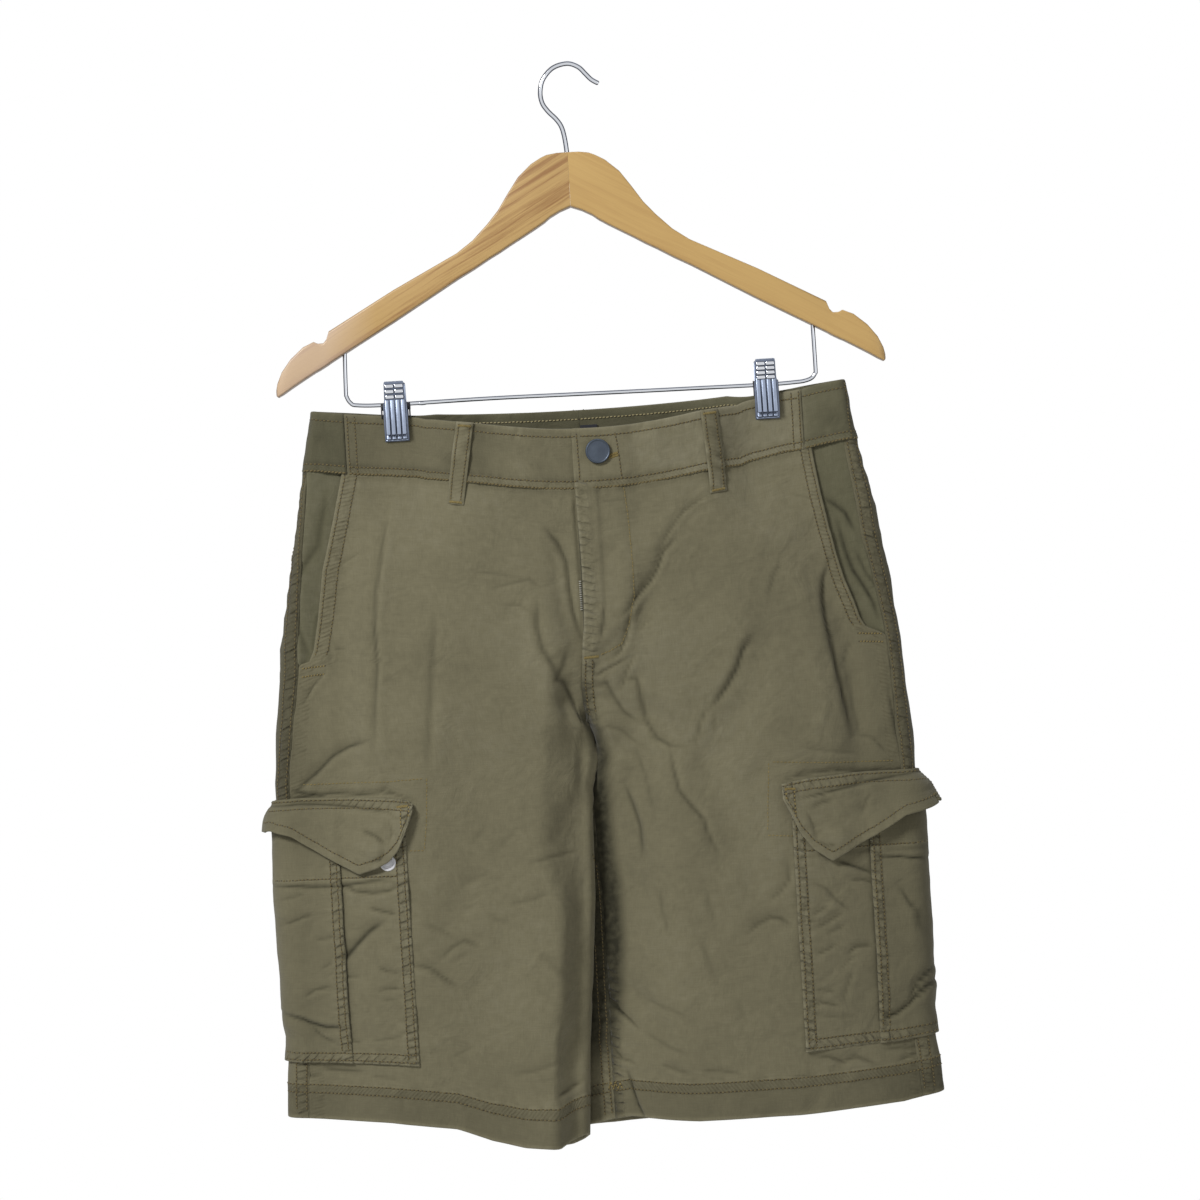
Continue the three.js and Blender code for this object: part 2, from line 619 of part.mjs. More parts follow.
// ---- the cargo pockets ----------------------------------------------------------------
// How far the pocket's middle stands off the leg. edge is the distance in from its nearer
// upright edge, and pleat is 1 on the box pleat.
function pocketLift(side, z, edge, pleat) {
  const low = pocketEdge[side].low;
  const across = smooth(edge / 42);
  const down = smooth((z - low) / 36) * (0.35 + 0.65 * smooth((pocket.topZ - z) / 30));
  return pocket.stand + pocket.puff * across * down + pocket.pleatRaise * pleat;
}
function pocketMarks(side, z) {
  const m = marksOf(side, z);
  return {
    ...m,
    from: alongFront(m.section, pocketEdge[side].x),
    pleatFrom: alongFront(m.section, pocket.pleatX),
    pleatTo: alongBack(m.section, pocket.pleatX),
    to: alongBack(m.section, pocketEdge[side].x),
  };
}

function cargoPocket(side) {
  const low = pocketEdge[side].low;
  const levels = spread([[pocket.topZ, 2], [-560, 1], [-584, 4], [low + 18, 2], [low, 0]]);
  const grid = levels.map((z) => {
    const k = pocketMarks(side, z);
    const columns = spread([
      [k.from, 3], [k.pleatFrom, 1], [k.pleatFrom + 0.9, 3], [k.sideStart, 5],
      [k.sideEnd, 3], [k.pleatTo - 0.9, 1], [k.pleatTo, 3], [k.to, 0],
    ]);
    return columns.map((s) => {
      const edge = Math.min(s - k.from, k.to - s);
      const pleat = s > k.pleatFrom + 0.4 && s < k.pleatTo - 0.4 ? 1 : 0;
      return lay(side, z, s, pocketLift(side, z, edge, pleat));
    });
  });
  return wall(grid, evenWall(pocket.wall));
}

// A flap is sewn down above its pocket, and stands clear of it towards its points.
function cargoFlap(side) {
  const shares = [0, 0.04, 0.1, 0.18, 0.27, 0.36, 0.5, 0.64, 0.76, 0.85, 0.93, 1];
  const columns = [
    ...shares.map((at) => ({ at, back: false })),
    ...shares.slice(0, -1).reverse().map((at) => ({ at, back: true })),
  ];
  const flare = side === 'left' ? 9 : 1.5;
  const grid = [0, 0.12, 0.3, 0.52, 0.76, 1].map((down) => columns.map(({ at, back }) => {
    const top = look(flapEdges[side], 'at', at, 'top');
    const z = lerp(top, look(flapEdges[side], 'at', at, 'low'), down);
    const k = pocketMarks(side, z);
    const start = back ? alongBack(k.section, flapStart[side]) : alongFront(k.section, flapStart[side]);
    const s = lerp(start, k.side, at);
    const edge = Math.max(0, Math.min(s - k.from, k.to - s));
    const pleat = smooth((Math.min(s - k.pleatFrom, k.pleatTo - s) + 8) / 10);
    const over = pocketLift(side, Math.min(z, pocket.topZ), edge, pleat) + 1.9;
    const free = smooth((top - z) / (top - pocket.topZ));
    const out = 1.7 * smooth(down / 0.5) + flare * down ** 1.6 * smooth((at - 0.35) / 0.65);
    return lay(side, z, s, lerp(2.5, over, free) + out);
  }));
  return wall(grid, evenWall(flapWall));
}

// A disc that lies on a piece, looking outward.
function discOn(name, cell, stand, profile, colour, roughness, metalness) {
  const points = profile.map(([r, h]) => new THREE.Vector2(r, h));
  const lathe = new THREE.LatheGeometry(points, 24);
  lathe.deleteAttribute('normal');
  lathe.deleteAttribute('uv');
  const mesh = add(name, mergeVertices(lathe, 1e-4), colour, roughness, metalness);
  mesh.position.copy(cell.p).addScaledVector(cell.n, stand);
  mesh.quaternion.setFromUnitVectors(new THREE.Vector3(0, 1, 0), cell.n);
  return mesh;
}

for (const side of ['right', 'left']) {
  add(`cargo_pocket_${side}`, cargoPocket(side), colours.cloth, 0.92);
  add(`cargo_flap_${side}`, cargoFlap(side), colours.cloth, 0.92);
  const z = side === 'right' ? -571 : -580;
  const k = pocketMarks(side, z);
  const s = alongFront(k.section, side === 'right' ? 157.5 : 152);
  const cell = lay(side, z, s, pocketLift(side, z, s - k.from, 0) + pocket.wall / 2);
  const profile = [[0, 0], [snapRadius, 0], [snapRadius - 0.6, 0.9], [0, 0.9]];
  discOn(`snap_${side}`, cell, 0.7, profile, colours.snap, 0.35);
}

// ---- button and label -----------------------------------------------------------------
const buttonLevel = button.z + waist.backSag + waist.frontSag;
const buttonAlong = alongFront(sectionOf('left', buttonLevel), button.x);
const buttonCell = lay('left', buttonLevel, buttonAlong, fly.raise + waist.wall / 2);
const buttonProfile = [
  [0, 0], [7.4, 0], [button.radius, 1], [button.radius, 2.2], [8.2, 3], [7.2, 2.5], [0, 2.1],
];
discOn('waist_button', buttonCell, 0.55, buttonProfile, colours.button, 0.35, 0.8);

const labelGrid = spread([[-251.5, 2], [-274, 0]]).map((z) => [0.5, 6.7, 12.9].map((x) => {
  const section = sectionOf('left', z);
  return lay('left', z, alongBack(section, x), -(waist.wall / 2 + 0.8));
}));
add('waist_label', wall(labelGrid, evenWall(0.9)), colours.label, 0.8);

// ---- the hanger -----------------------------------------------------------------------
// Upper and lower edge of an arm, against the distance out from where the arms meet.
const armEdges = [
  { x: 0.15, top: -63.4, low: -103 }, { x: 8, top: -63.5, low: -106 },
  { x: 15.5, top: -64.6, low: -110 }, { x: 20, top: -66.5, low: -113.5 },
  { x: 27, top: -70.5, low: -117.8 }, { x: 37, top: -79.4, low: -123.5 },
  { x: 45, top: -90.6, low: -128 }, { x: 53, top: -102.6, low: -132.8 },
  { x: 61.5, top: -112.3, low: -137.4 }, { x: 73, top: -123.6, low: -144.2 },
  { x: 85, top: -132.1, low: -150.6 }, { x: 133, top: -156.2, low: -178.7 },
  { x: 181.5, top: -183.2, low: -206 }, { x: 183.6, top: -189, low: -207.4 },
  { x: 186, top: -191.6, low: -208.8 }, { x: 190, top: -191.6, low: -211 },
  { x: 193, top: -190.2, low: -212.4 }, { x: 201, top: -193.7, low: -217 },
  { x: 210.5, top: -201.9, low: -222.6 }, { x: 217.5, top: -211, low: -227 },
  { x: 221.2, top: -219, low: -229 }, { x: 222.6, top: -224, low: -228.5 },
];

function roundedRing(x, top, low, halfThick) {
  const round = Math.min(hanger.round, (top - low) * 0.42, halfThick * 0.8);
  const corners = [
    { y: halfThick, z: top, turn: 0 }, { y: -halfThick, z: top, turn: 1 },
    { y: -halfThick, z: low, turn: 2 }, { y: halfThick, z: low, turn: 3 },
  ];
  return corners.flatMap(({ y, z, turn }) => [0, 1, 2, 3].map((k) => {
    const a = (Math.PI / 2) * (turn + k / 3);
    const cy = y - round * Math.sign(y);
    const cz = z === top ? z - round : z + round;
    return [x, cy + round * Math.cos(a), cz + round * Math.sin(a)];
  }));
}

// A closed body through rings of points, each with the same count.
function loft(rings) {
  const count = rings[0].length;
  const points = rings.flat();
  const triangles = [];
  for (let r = 0; r < rings.length - 1; r++) {
    for (let k = 0; k < count; k++) {
      const a = r * count + k;
      const b = r * count + ((k + 1) % count);
      triangles.push([a, b, b + count], [a, b + count, a + count]);
    }
  }
  for (const [start, flip] of [[0, true], [(rings.length - 1) * count, false]]) {
    for (let k = 1; k < count - 1; k++) {
      const fan = [start, start + k, start + k + 1];
      triangles.push(flip ? fan.reverse() : fan);
    }
  }
  return bodyOf(points, triangles);
}

function solidOf(geometry) {
  const bare = new THREE.BufferGeometry();
  bare.setAttribute('position', geometry.getAttribute('position'));
  bare.setIndex(geometry.getIndex());
  const merged = mergeVertices(bare, 1e-4);
  return new wasm.Manifold(new wasm.Mesh({
    numProp: 3,
    vertProperties: new Float32Array(merged.getAttribute('position').array),
    triVerts: new Uint32Array(merged.getIndex().array),
  }));
}

function geometryOf(solid) {
  const mesh = solid.getMesh();
  const geometry = new THREE.BufferGeometry();
  geometry.setAttribute('position', new THREE.BufferAttribute(mesh.vertProperties, 3));
  geometry.setIndex(new THREE.BufferAttribute(mesh.triVerts, 1));
  geometry.computeVertexNormals();
  return geometry;
}

// An upright cylinder to drill with.
function drill(x, lowZ, highZ, radius) {
  const cylinder = new THREE.CylinderGeometry(radius, radius, highZ - lowZ, 20);
  cylinder.rotateX(Math.PI / 2);
  cylinder.translate(x, 0, (lowZ + highZ) / 2);
  cylinder.deleteAttribute('normal');
  cylinder.deleteAttribute('uv');
  return solidOf(mergeVertices(cylinder, 1e-4));
}

const barTop = -193;
const barPath = [
  [-173.3, barTop], [-173.6, -226], [-173, -230.6], [-170, -234.3], [-165.6, -236],
  [-144, -237.6], [-70, -238.8], [-5, -239.6], [65, -240.4], [130.8, -241], [153, -240.5],
  [159.4, -239.9], [164.4, -238.2], [167, -235], [167.6, -231], [167.4, barTop - 1],
];
// The bar's height at x, along its level part.
function barLevel(x) {
  const level = barPath.slice(5, 11).map(([px, z]) => ({ x: px, z }));
  return look(level, 'x', x, 'z');
}
for (const [name, sign] of [['right', -1], ['left', 1]]) {
  const rings = armEdges.map(({ x, top, low }, i) => {
    const thin = i > armEdges.length - 3 ? (i === armEdges.length - 1 ? 0.5 : 0.82) : 1;
    return roundedRing(hanger.joinX + sign * x, top, low, hanger.halfThick * thin);
  });
  const barX = sign < 0 ? barPath[0][0] : barPath[barPath.length - 1][0];
  const holes = drill(hanger.joinX, -88, -50, hanger.hole)
    .add(drill(barX, -240, barTop + 1, hanger.bar + 0.4));
  const arm = solidOf(loft(rings)).subtract(holes);
  add(`hanger_arm_${name}`, geometryOf(arm), colours.wood, 0.45);
}

// A round wire through points in the plane of the hanger.
function wire(points, radius, steps, sides) {
  const path = new THREE.CatmullRomCurve3(
    points.map(([x, z]) => new THREE.Vector3(x, 0, z)), false, 'centripetal',
  );
  const shape = new THREE.Shape();
  shape.absarc(0, 0, radius, 0, Math.PI * 2);
  const geometry = new THREE.ExtrudeGeometry(shape, {
    extrudePath: path, steps, curveSegments: sides,
  });
  geometry.deleteAttribute('normal');
  geometry.deleteAttribute('uv');
  return mergeVertices(geometry, 1e-3);
}
const hookPath = [
  [22.2, -14.2], [17, -10.9], [12.9, -6.4], [8, -1.2], [0, 1.75], [-10.6, -0.9], [-18.2, -8.8],
  [-20.7, -18], [-19.7, -26], [-15.8, -32.3], [-10.4, -38.2], [-6.9, -43.9], [-5.1, -51.5],
  [-4, -62.5], [hanger.joinX, -74], [hanger.joinX, -86],
];
add('hanger_hook', wire(hookPath, hanger.wire, 36, 5), colours.chrome, 0.2, 1);
add('hanger_bar', wire(barPath, hanger.bar, 40, 4), colours.chrome, 0.2, 1);

// ---- the clips ------------------------------------------------------------------------
// A jaw's middle line, as distance from the cloth's middle, and its half width there.
const jawLine = [
  { z: -223.3, out: 9.6, half: 7.2 }, { z: -230, out: 8.7, half: 7.4 },
  { z: -236, out: 7.8, half: 7.6 }, { z: -238.4, out: 7.5, half: 8.6 },
  { z: -246, out: 7.4, half: 8.7 }, { z: -254, out: 6.6, half: 8.75 },
  { z: -260, out: 5.3, half: 8.8 }, { z: -264.6, out: 4.1, half: 8.8 },
  { z: -266, out: 3.75, half: 8.8 },
];

// A wall on a grid of points alone, its outward direction taken from its neighbours.
function plainWall(points, thickness) {
  const grid = points.map((row, r) => row.map((p, c) => {
    const above = points[Math.max(r - 1, 0)][c];
    const below = points[Math.min(r + 1, points.length - 1)][c];
    const before = row[Math.max(c - 1, 0)];
    const after = row[Math.min(c + 1, row.length - 1)];
    const n = after.clone().sub(before).cross(below.clone().sub(above)).normalize();
    return { p, n };
  }));
  return wall(grid, evenWall(thickness));
}

for (const name of ['right', 'left']) {
  const x = centreX + clip[name];
  for (const [face, sign] of [['front', -1], ['back', 1]]) {
    const points = jawLine.map(({ z, out, half }) => [-1, -0.6, 0, 0.6, 1].map((share) => {
      const dish = 0.7 * share ** 2 * smooth((-236 - z) / 10) * smooth((z + 266) / 8);
      return new THREE.Vector3(x + share * half, sign * (out - dish), z);
    }));
    add(`clip_${name}_${face}`, plainWall(points, clip.wall), colours.chrome, 0.2, 1);
  }
  // The spring bends over the bar, so that the clip hangs from it.
  const bendZ = barLevel(x) + hanger.bar + 0.7 - 4.2;
  const springLine = [[-5.7, -251], [-5.6, bendZ - 4]];
  for (let k = 0; k <= 8; k++) {
    const a = Math.PI * (1 - k / 8);
    springLine.push([4.4 * Math.cos(a), bendZ + 4.2 * Math.sin(a)]);
  }
  springLine.push([5.6, bendZ - 4], [5.7, -251]);
  const points = springLine.map(([y, z]) => [-4, 4].map((dx) => new THREE.Vector3(x + dx, y, z)));
  add(`clip_${name}_spring`, plainWall(points, 0.8), colours.chrome, 0.3, 1);
}

export default group;
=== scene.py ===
# Cargo shorts on a wooden clip hanger. Lengths are in millimetres until a mesh is made.
import math

import bpy
import numpy as np
from mathutils import Matrix, Vector
from mathutils.bvhtree import BVHTree


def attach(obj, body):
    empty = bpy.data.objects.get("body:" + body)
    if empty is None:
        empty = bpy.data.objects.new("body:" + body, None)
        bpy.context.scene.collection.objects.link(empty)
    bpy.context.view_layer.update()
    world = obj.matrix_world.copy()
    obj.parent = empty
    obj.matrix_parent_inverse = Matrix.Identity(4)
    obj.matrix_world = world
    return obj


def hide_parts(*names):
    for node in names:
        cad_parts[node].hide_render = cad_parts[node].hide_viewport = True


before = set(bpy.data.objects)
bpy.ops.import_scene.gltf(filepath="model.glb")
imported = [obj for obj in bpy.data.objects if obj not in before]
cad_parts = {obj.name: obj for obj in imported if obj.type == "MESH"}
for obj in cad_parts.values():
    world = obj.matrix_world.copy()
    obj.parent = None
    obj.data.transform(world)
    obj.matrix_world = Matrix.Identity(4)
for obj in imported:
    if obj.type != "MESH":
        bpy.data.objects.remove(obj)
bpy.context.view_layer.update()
mm = 0.001

# The cut and the hang of the shorts. Change these together with the part's own values.
shorts = {
    "centreX": -7.0, "topZ": -240.8, "seamZ": -283.5, "hemZ": -768.0, "mouthEndZ": -430.0,
    "crotchZ": -506.0, "crotchRise": 40.0, "partZ": -415.0, "halfWall": 0.7,
    "backSag": 10.5, "frontSag": 18.0, "sagAt": 14.0, "sagRight": 122.0, "sagLeft": 135.0,
    "halfWidth": 193.5, "clips": (-133.0, 137.5), "cloth": 1.15,
}
# z, half width to the right, to the left, front belly, back belly, radius at the side
sections = np.array([
    (-240, 193.5, 193.5, 12, 4, 4.0), (-290, 203.5, 201.5, 13, 8, 4.6),
    (-333, 211.5, 211.0, 16, 13, 6.0), (-377, 220.0, 218.0, 19, 18, 7.0),
    (-413, 227.0, 222.0, 21, 21, 8.0), (-462, 232.5, 226.0, 22, 22, 9.0),
    (-510, 237.5, 229.0, 22, 20, 9.5), (-560, 237.5, 229.5, 21, 17, 10),
    (-640, 236.5, 229.0, 20, 15, 10), (-700, 236.5, 228.5, 19, 14, 9.5),
    (-735, 240.5, 233.0, 19, 14, 9.5), (-770, 243.0, 236.5, 18, 15, 9.0),
])
# z, distance out, radius, swing to the back, creep of the inseam to the front
innerEnds = {
    "right": np.array([
        (-506, 0, 2.4, 0, 0), (-516, 3.4, 2.9, -2.8, -1), (-525, 5.8, 3.4, -4.5, -2),
        (-545, 7.8, 4.6, -6.6, -4), (-572, 8.5, 5.4, -8.0, -6), (-605, 9.5, 6.0, -9.0, -9),
        (-667, 15, 6.5, -9.5, -12), (-711, 20, 7.0, -9.5, -14), (-770, 24, 7.5, -9.0, -16),
    ]),
    "left": np.array([
        (-506, 0, 2.4, 0, 0), (-516, -3.5, 2.9, 2.8, 1), (-525, -6.6, 3.4, 4.5, 3),
        (-545, -11, 4.6, 6.6, 6), (-572, -13.5, 5.4, 8.0, 10), (-605, -16, 6.0, 9.0, 15),
        (-667, -22, 6.5, 9.5, 21), (-711, -27, 7.0, 9.5, 26), (-770, -30, 7.5, 9.0, 30),
    ]),
}
mouthEdge = {
    "right": np.array([
        (-284, 174.5), (-321, 183), (-357, 192.5), (-393, 198), (-415, 202.5), (-423, 206.5),
        (-425.5, 216), (-430, 221),
    ]),
    "left": np.array([
        (-284, 167.5), (-320, 172), (-345, 176), (-365, 180), (-385, 185), (-402, 191),
        (-415, 195), (-422, 199), (-426, 208), (-430, 216),
    ]),
}
# How the front of the waist departs from an even sag: distance out to the left, rise
sagTrim = np.array([
    (-200, 0), (-153, -2), (-113, -3.5), (-93, -1.5), (-73, 1), (-53, 2), (-33, 2.6), (-8, 3),
    (27, 3), (47, 3.5), (87, 3.5), (107, 1.5), (127, -2), (157, -3), (175, -1), (200, 0),
])
# z, how far in from the side the side seam shows
seamInset = {
    "right": np.array([
        (-284, 2.5), (-340, 6), (-380, 9.5), (-430, 14), (-500, 11), (-560, 11), (-700, 15), (-770, 17),
    ]),
    "left": np.array([
        (-284, 9), (-355, 14.5), (-430, 10), (-500, 12), (-560, 9), (-700, 15), (-770, 17),
    ]),
}
# distance out, lower edge of the front, of the back
hems = {
    "right": np.array([
        (24, -774, -781), (45, -783, -788), (70, -781, -786), (93, -775, -778),
        (118, -765, -768), (165, -758, -761), (243, -752, -753),
    ]),
    "left": np.array([
        (-30, -773, -775), (8, -766, -773), (57, -770, -772), (130, -770, -771),
        (205, -767, -768), (240, -761, -762),
    ]),
}
# The largest folds: x and z of both ends, bow, half width, height
frontFolds = [
    (-172, -330, -182, -505, 5, 9, -2.8), (-150, -345, -158, -500, 4, 14, 2.4),
    (-20, -340, -7, -425, 5, 8, -2.8), (-44, -380, -26, -478, -6, 13, 3.6),
    (-14, -452, -9, -520, 4, 9, -3.0), (-118, -480, -120, -720, 8, 20, 2.0),
    (-62, -520, -70, -735, -8, 22, 2.4), (-50, -748, -34, -700, 3, 12, -3.2),
    (-92, -585, -128, -640, 4, 12, -2.0), (92, -318, 38, -425, 16, 9, -1.8),
    (72, -335, 30, -400, 10, 12, 2.6), (128, -412, 74, -520, -5, 12, -2.8),
    (30, -468, 88, -532, -8, 10, -2.6), (172, -385, 190, -512, -4, 9, -3.6),
    (152, -390, 168, -505, -4, 12, 2.6), (42, -545, 82, -700, 8, 20, 2.6),
    (92, -535, 122, -640, 6, 16, -2.4), (6, -672, 36, -712, -4, 10, -3.0),
]
backFolds = [
    (-12, -330, -16, -470, 4, 12, -2.2), (-120, -330, -150, -500, 10, 16, 2.4),
    (-30, -478, -95, -540, 8, 11, -2.6), (-95, -520, -80, -730, -8, 20, 2.4),
    (110, -340, 158, -500, -8, 15, -2.4), (34, -480, 102, -545, -8, 11, -2.6),
    (84, -540, 96, -735, 6, 20, 2.4),
]


def smooth(t):
    t = np.clip(t, 0.0, 1.0)
    return t * t * (3 - 2 * t)


def mix(a, b, t):
    return a + (b - a) * t


def look(table, at, column):
    keys = table[:, 0]
    if keys[0] > keys[-1]:
        return np.interp(-np.asarray(at, float), -keys, table[:, column])
    return np.interp(at, keys, table[:, column])


# How far the large folds lift the cloth at each point.
def foldHeight(folds, x, z):
    total = np.zeros_like(x)
    for x0, z0, x1, z1, bow, wide, high in folds:
        long = math.hypot(x1 - x0, z1 - z0)
        dx, dz = (x1 - x0) / long, (z1 - z0) / long
        along = ((x - x0) * dx + (z - z0) * dz) / long
        bowed = bow * (1 - (2 * along - 1) ** 2)
        across = ((x - x0) * dz - (z - z0) * dx - bowed) / wide
        taper = smooth((along + 0.2) / 0.35) * smooth((1.2 - along) / 0.35)
        total += high * taper * np.exp(-across ** 2)
    return total


# How much a clip squeezes the waist at each point.
def pinch(x, z):
    near = np.minimum(np.abs(x - shorts["clips"][0]), np.abs(x - shorts["clips"][1]))
    return (1 - smooth((near - 10) / 42)) * smooth((z + 350) / 74)


# How far each point sinks or rises from its level: the waist sags and the hem is uneven.
def settle(side, x, z, backness):
    share = np.clip(np.abs(x) / shorts["halfWidth"], 0, 1)
    reach = np.where(x < shorts["sagAt"], shorts["sagRight"], shorts["sagLeft"])
    sharp = 1 - ((x - shorts["sagAt"]) / reach) ** 2
    sag = (sharp + np.sqrt(sharp * sharp + 0.02)) / 2
    trim = np.interp(x, sagTrim[:, 0], sagTrim[:, 1])
    upper = -shorts["backSag"] * (1 - share * share) \
        + (trim - shorts["frontSag"] * sag) * (1 - backness)
    out = x if side == "left" else -x
    lower = mix(look(hems[side], out, 1), look(hems[side], out, 2), backness) - shorts["hemZ"]
    return upper * smooth((z + 455) / 170) + lower * smooth((-650 - z) / 118)


keptSections = {}


# The outline of one leg's half of the garment at a level, from the middle round the side.
def sectionAt(side, z):
    key = (side, round(float(z), 2))
    if key in keptSections:
        return keptSections[key]
    sign = 1 if side == "left" else -1
    half = look(sections, z, 2 if side == "left" else 1)
    front, back, fold = (look(sections, z, c) for c in (3, 4, 5))
    inner, innerFold, swing, creep = (look(innerEnds[side], z, c) for c in (1, 2, 3, 4))
    closed = z <= shorts["crotchZ"]
    rise = shorts["crotchRise"]
    turn = math.pi / 2 * float(smooth((shorts["crotchZ"] + rise - z) / rise))
    parted = smooth((shorts["partZ"] - z) / (shorts["partZ"] - shorts["crotchZ"]))
    innerX = inner + 0.15 + (innerFold + shorts["halfWall"]) * math.sin(turn)
    outerX = half - fold - shorts["halfWall"]
    bellyRise = 0.3 if side == "left" else mix(0.17, 0.09, smooth((-560 - z) / 60))

    def middle(x):
        return swing * (1 - smooth((x - innerX) / 60))

    def depth(x, bulge):
        share = np.clip((x - innerX) / (outerX - innerX), 0, 1)
        leg = smooth(share / bellyRise) * smooth((1 - share) / 0.42)
        belly = mix(smooth((1 - x / outerX) / 0.55), leg, parted)
        thick = mix(mix(fold, innerFold, parted), fold, share)
        return mix(thick + bulge * belly, 1.45, pinch(sign * x, z))

    arc, steps, round_ = 10, 120, 24
    a = turn * (1 - np.arange(arc) / arc)
    lift = depth(innerX, front) - innerFold
    first = np.stack([innerX - innerFold * np.sin(a),
                      middle(innerX) - innerFold * np.cos(a) - lift * math.cos(turn)], 1)
    x = np.linspace(innerX, outerX, steps + 1)
    frontLine = np.stack([x, middle(x) - depth(x, front)], 1)
    sideFold = -frontLine[-1, 1]
    a = np.pi * np.arange(1, round_) / round_
    sideLine = np.stack([outerX + sideFold * np.sin(a), -sideFold * np.cos(a)], 1)
    backLine = np.stack([x[::-1], middle(x[::-1]) + depth(x[::-1], back)], 1)
    a = turn * np.arange(1, arc + 1) / arc
    drop = depth(innerX, back) - innerFold
    last = np.stack([innerX - innerFold * np.sin(a),
                     middle(innerX) + innerFold * np.cos(a) + drop * math.cos(turn)], 1)
    line = np.concatenate([first, frontLine, sideLine, backLine, last])
    at = np.concatenate([[0], np.cumsum(np.hypot(*np.diff(line, axis=0).T))])
    if closed:
        ring = line[:-1]
        slope = np.roll(ring, -1, 0) - np.roll(ring, 1, 0)
        slope = np.concatenate([slope, slope[:1]])
    else:
        padded = np.concatenate([line[:1], line, line[-1:]])
        slope = padded[2:] - padded[:-2]
    normal = np.stack([slope[:, 1], -slope[:, 0]], 1)
    normal /= np.maximum(np.hypot(*normal.T), 1e-9)[:, None]
    section = {
        "sign": sign, "line": line, "normal": normal, "at": at, "length": at[-1],
        "closed": closed, "half": half, "outerX": outerX, "middle": middle, "innerX": inner,
        "frontFirst": arc, "frontLast": arc + steps, "backFirst": arc + steps + round_,
        "backLast": arc + 2 * steps + round_, "sideDepth": max(abs(sideFold), 2.4),
        "creep": creep if closed else 0.0,
    }
    keptSections[key] = section
    return section


# Distance along a section to where it crosses x, on the front and on the back.
def alongFront(section, x):
    cut = slice(section["frontFirst"], section["backFirst"] - 12)
    return np.interp(x, section["line"][cut, 0], section["at"][cut])


def alongBack(section, x):
    cut = slice(section["backFirst"] - 12, section["backLast"] + 1)
    return np.interp(-np.asarray(x, float), -section["line"][cut, 0], section["at"][cut])


# Where the seams lie along the section of a level.
def marksAt(side, z):
    section = sectionAt(side, z)
    seamX = section["half"] - look(seamInset[side], z, 1)
    mouthX = min(look(mouthEdge[side], z, 1), seamX) if z > shorts["mouthEndZ"] else seamX
    start, end = section["at"][section["frontLast"]], section["at"][section["backFirst"]]
    return {
        "section": section, "first": section["creep"],
        "last": section["length"] + section["creep"],
        "sideSeam": float(alongFront(section, seamX)), "mouth": float(alongFront(section, mouthX)),
        "side": (start + end) / 2, "sideStart": start, "sideEnd": end,
    }


# Points of the garment's surface along one level, with their distance out from the middle.
def surfaceAt(side, z, along):
    section = sectionAt(side, z)
    s = np.mod(along, section["length"]) if section["closed"] else along
    s = np.clip(s, 0, section["length"])
    x, y, nx, ny = (np.interp(s, section["at"], values) for values in
                    (*section["line"].T, *section["normal"].T))
    size = np.maximum(np.hypot(nx, ny), 1e-9)
    nx, ny = nx / size, ny / size
    mid = section["middle"](x)
    backness = np.clip(0.5 + 0.5 * (y - mid) / section["sideDepth"], 0, 1)
    sign = section["sign"]
    finalZ = z + settle(side, sign * x, z, backness)
    flat = smooth((section["outerX"] - x) / 22) * smooth((np.abs(y - mid) - 1.6) / 4)
    calm = (1 - pinch(sign * x, z)) * smooth((shorts["seamZ"] + 4 - z) / 40)
    rise = np.where(backness < 0.5, foldHeight(frontFolds, sign * x, finalZ),
                    foldHeight(backFolds, sign * x, finalZ)) * flat * calm
    rise = np.maximum(rise, -(np.abs(y - mid) - 1.4))
    # both legs bulge beside the crotch, with a deep groove between them
    inward = x - section["innerX"]
    bulge = smooth((inward - 0.5) / 6) * (1 - smooth((inward - 9) / 26))
    rise = rise + 9 * bulge * smooth((-458 - z) / 24) * smooth((z + 545) / 30) * (1 - backness) ** 2
    points = np.stack([shorts["centreX"] + sign * (x + nx * rise), y + ny * rise, finalZ], -1)
    return points, sign * x, backness


# The direction out of the cloth, from the points around each one.
def facingAt(side, z, along):
    section = sectionAt(side, z)
    across = surfaceAt(side, z, along + 0.5)[0] - surfaceAt(side, z, along - 0.5)[0]
    onBack = along > (section["at"][section["frontLast"]] + section["at"][section["backFirst"]]) / 2

    def near(level):
        shift = np.where(onBack, sectionAt(side, level)["length"] - section["length"], 0)
        return surfaceAt(side, level, along + shift)[0]

    n = np.cross(across, near(z - 1.5) - near(z + 1.5))
    n /= np.maximum(np.linalg.norm(n, axis=1), 1e-9)[:, None]
    return -n if side == "left" else n


# A grid of the garment's surface: one row for each level, alongOf(level) gives its columns.
# p is the place, n the direction out, x the distance out from the middle, s the distance
# along the section and back the share that lies behind.
def layGrid(side, levels, alongOf):
    rows = []
    for z in levels:
        s = np.asarray(alongOf(z), float)
        p, x, back = surfaceAt(side, z, s)
        rows.append((p, facingAt(side, z, s), x, s, np.full(len(s), float(z)), back))
    return {key: np.array(values) for key, values in
            zip(("p", "n", "x", "s", "level", "back"), zip(*rows))}


# Signed distance from a line of points and the distance along it.
def fromLine(x, z, points):
    best = np.full(x.shape, 1e9)
    away, t, run = np.zeros(x.shape), np.zeros(x.shape), 0.0
    for (x0, z0), (x1, z1) in zip(points, points[1:]):
        long = math.hypot(x1 - x0, z1 - z0)
        dx, dz = (x1 - x0) / long, (z1 - z0) / long
        along = np.clip((x - x0) * dx + (z - z0) * dz, 0, long)
        d = np.hypot(x - x0 - dx * along, z - z0 - dz * along)
        closer = d < best
        side = np.sign((x - x0) * dz - (z - z0) * dx)
        best = np.where(closer, d, best)
        away = np.where(closer, d * side, away)
        t = np.where(closer, run + along, t)
        run += long
    return away, t


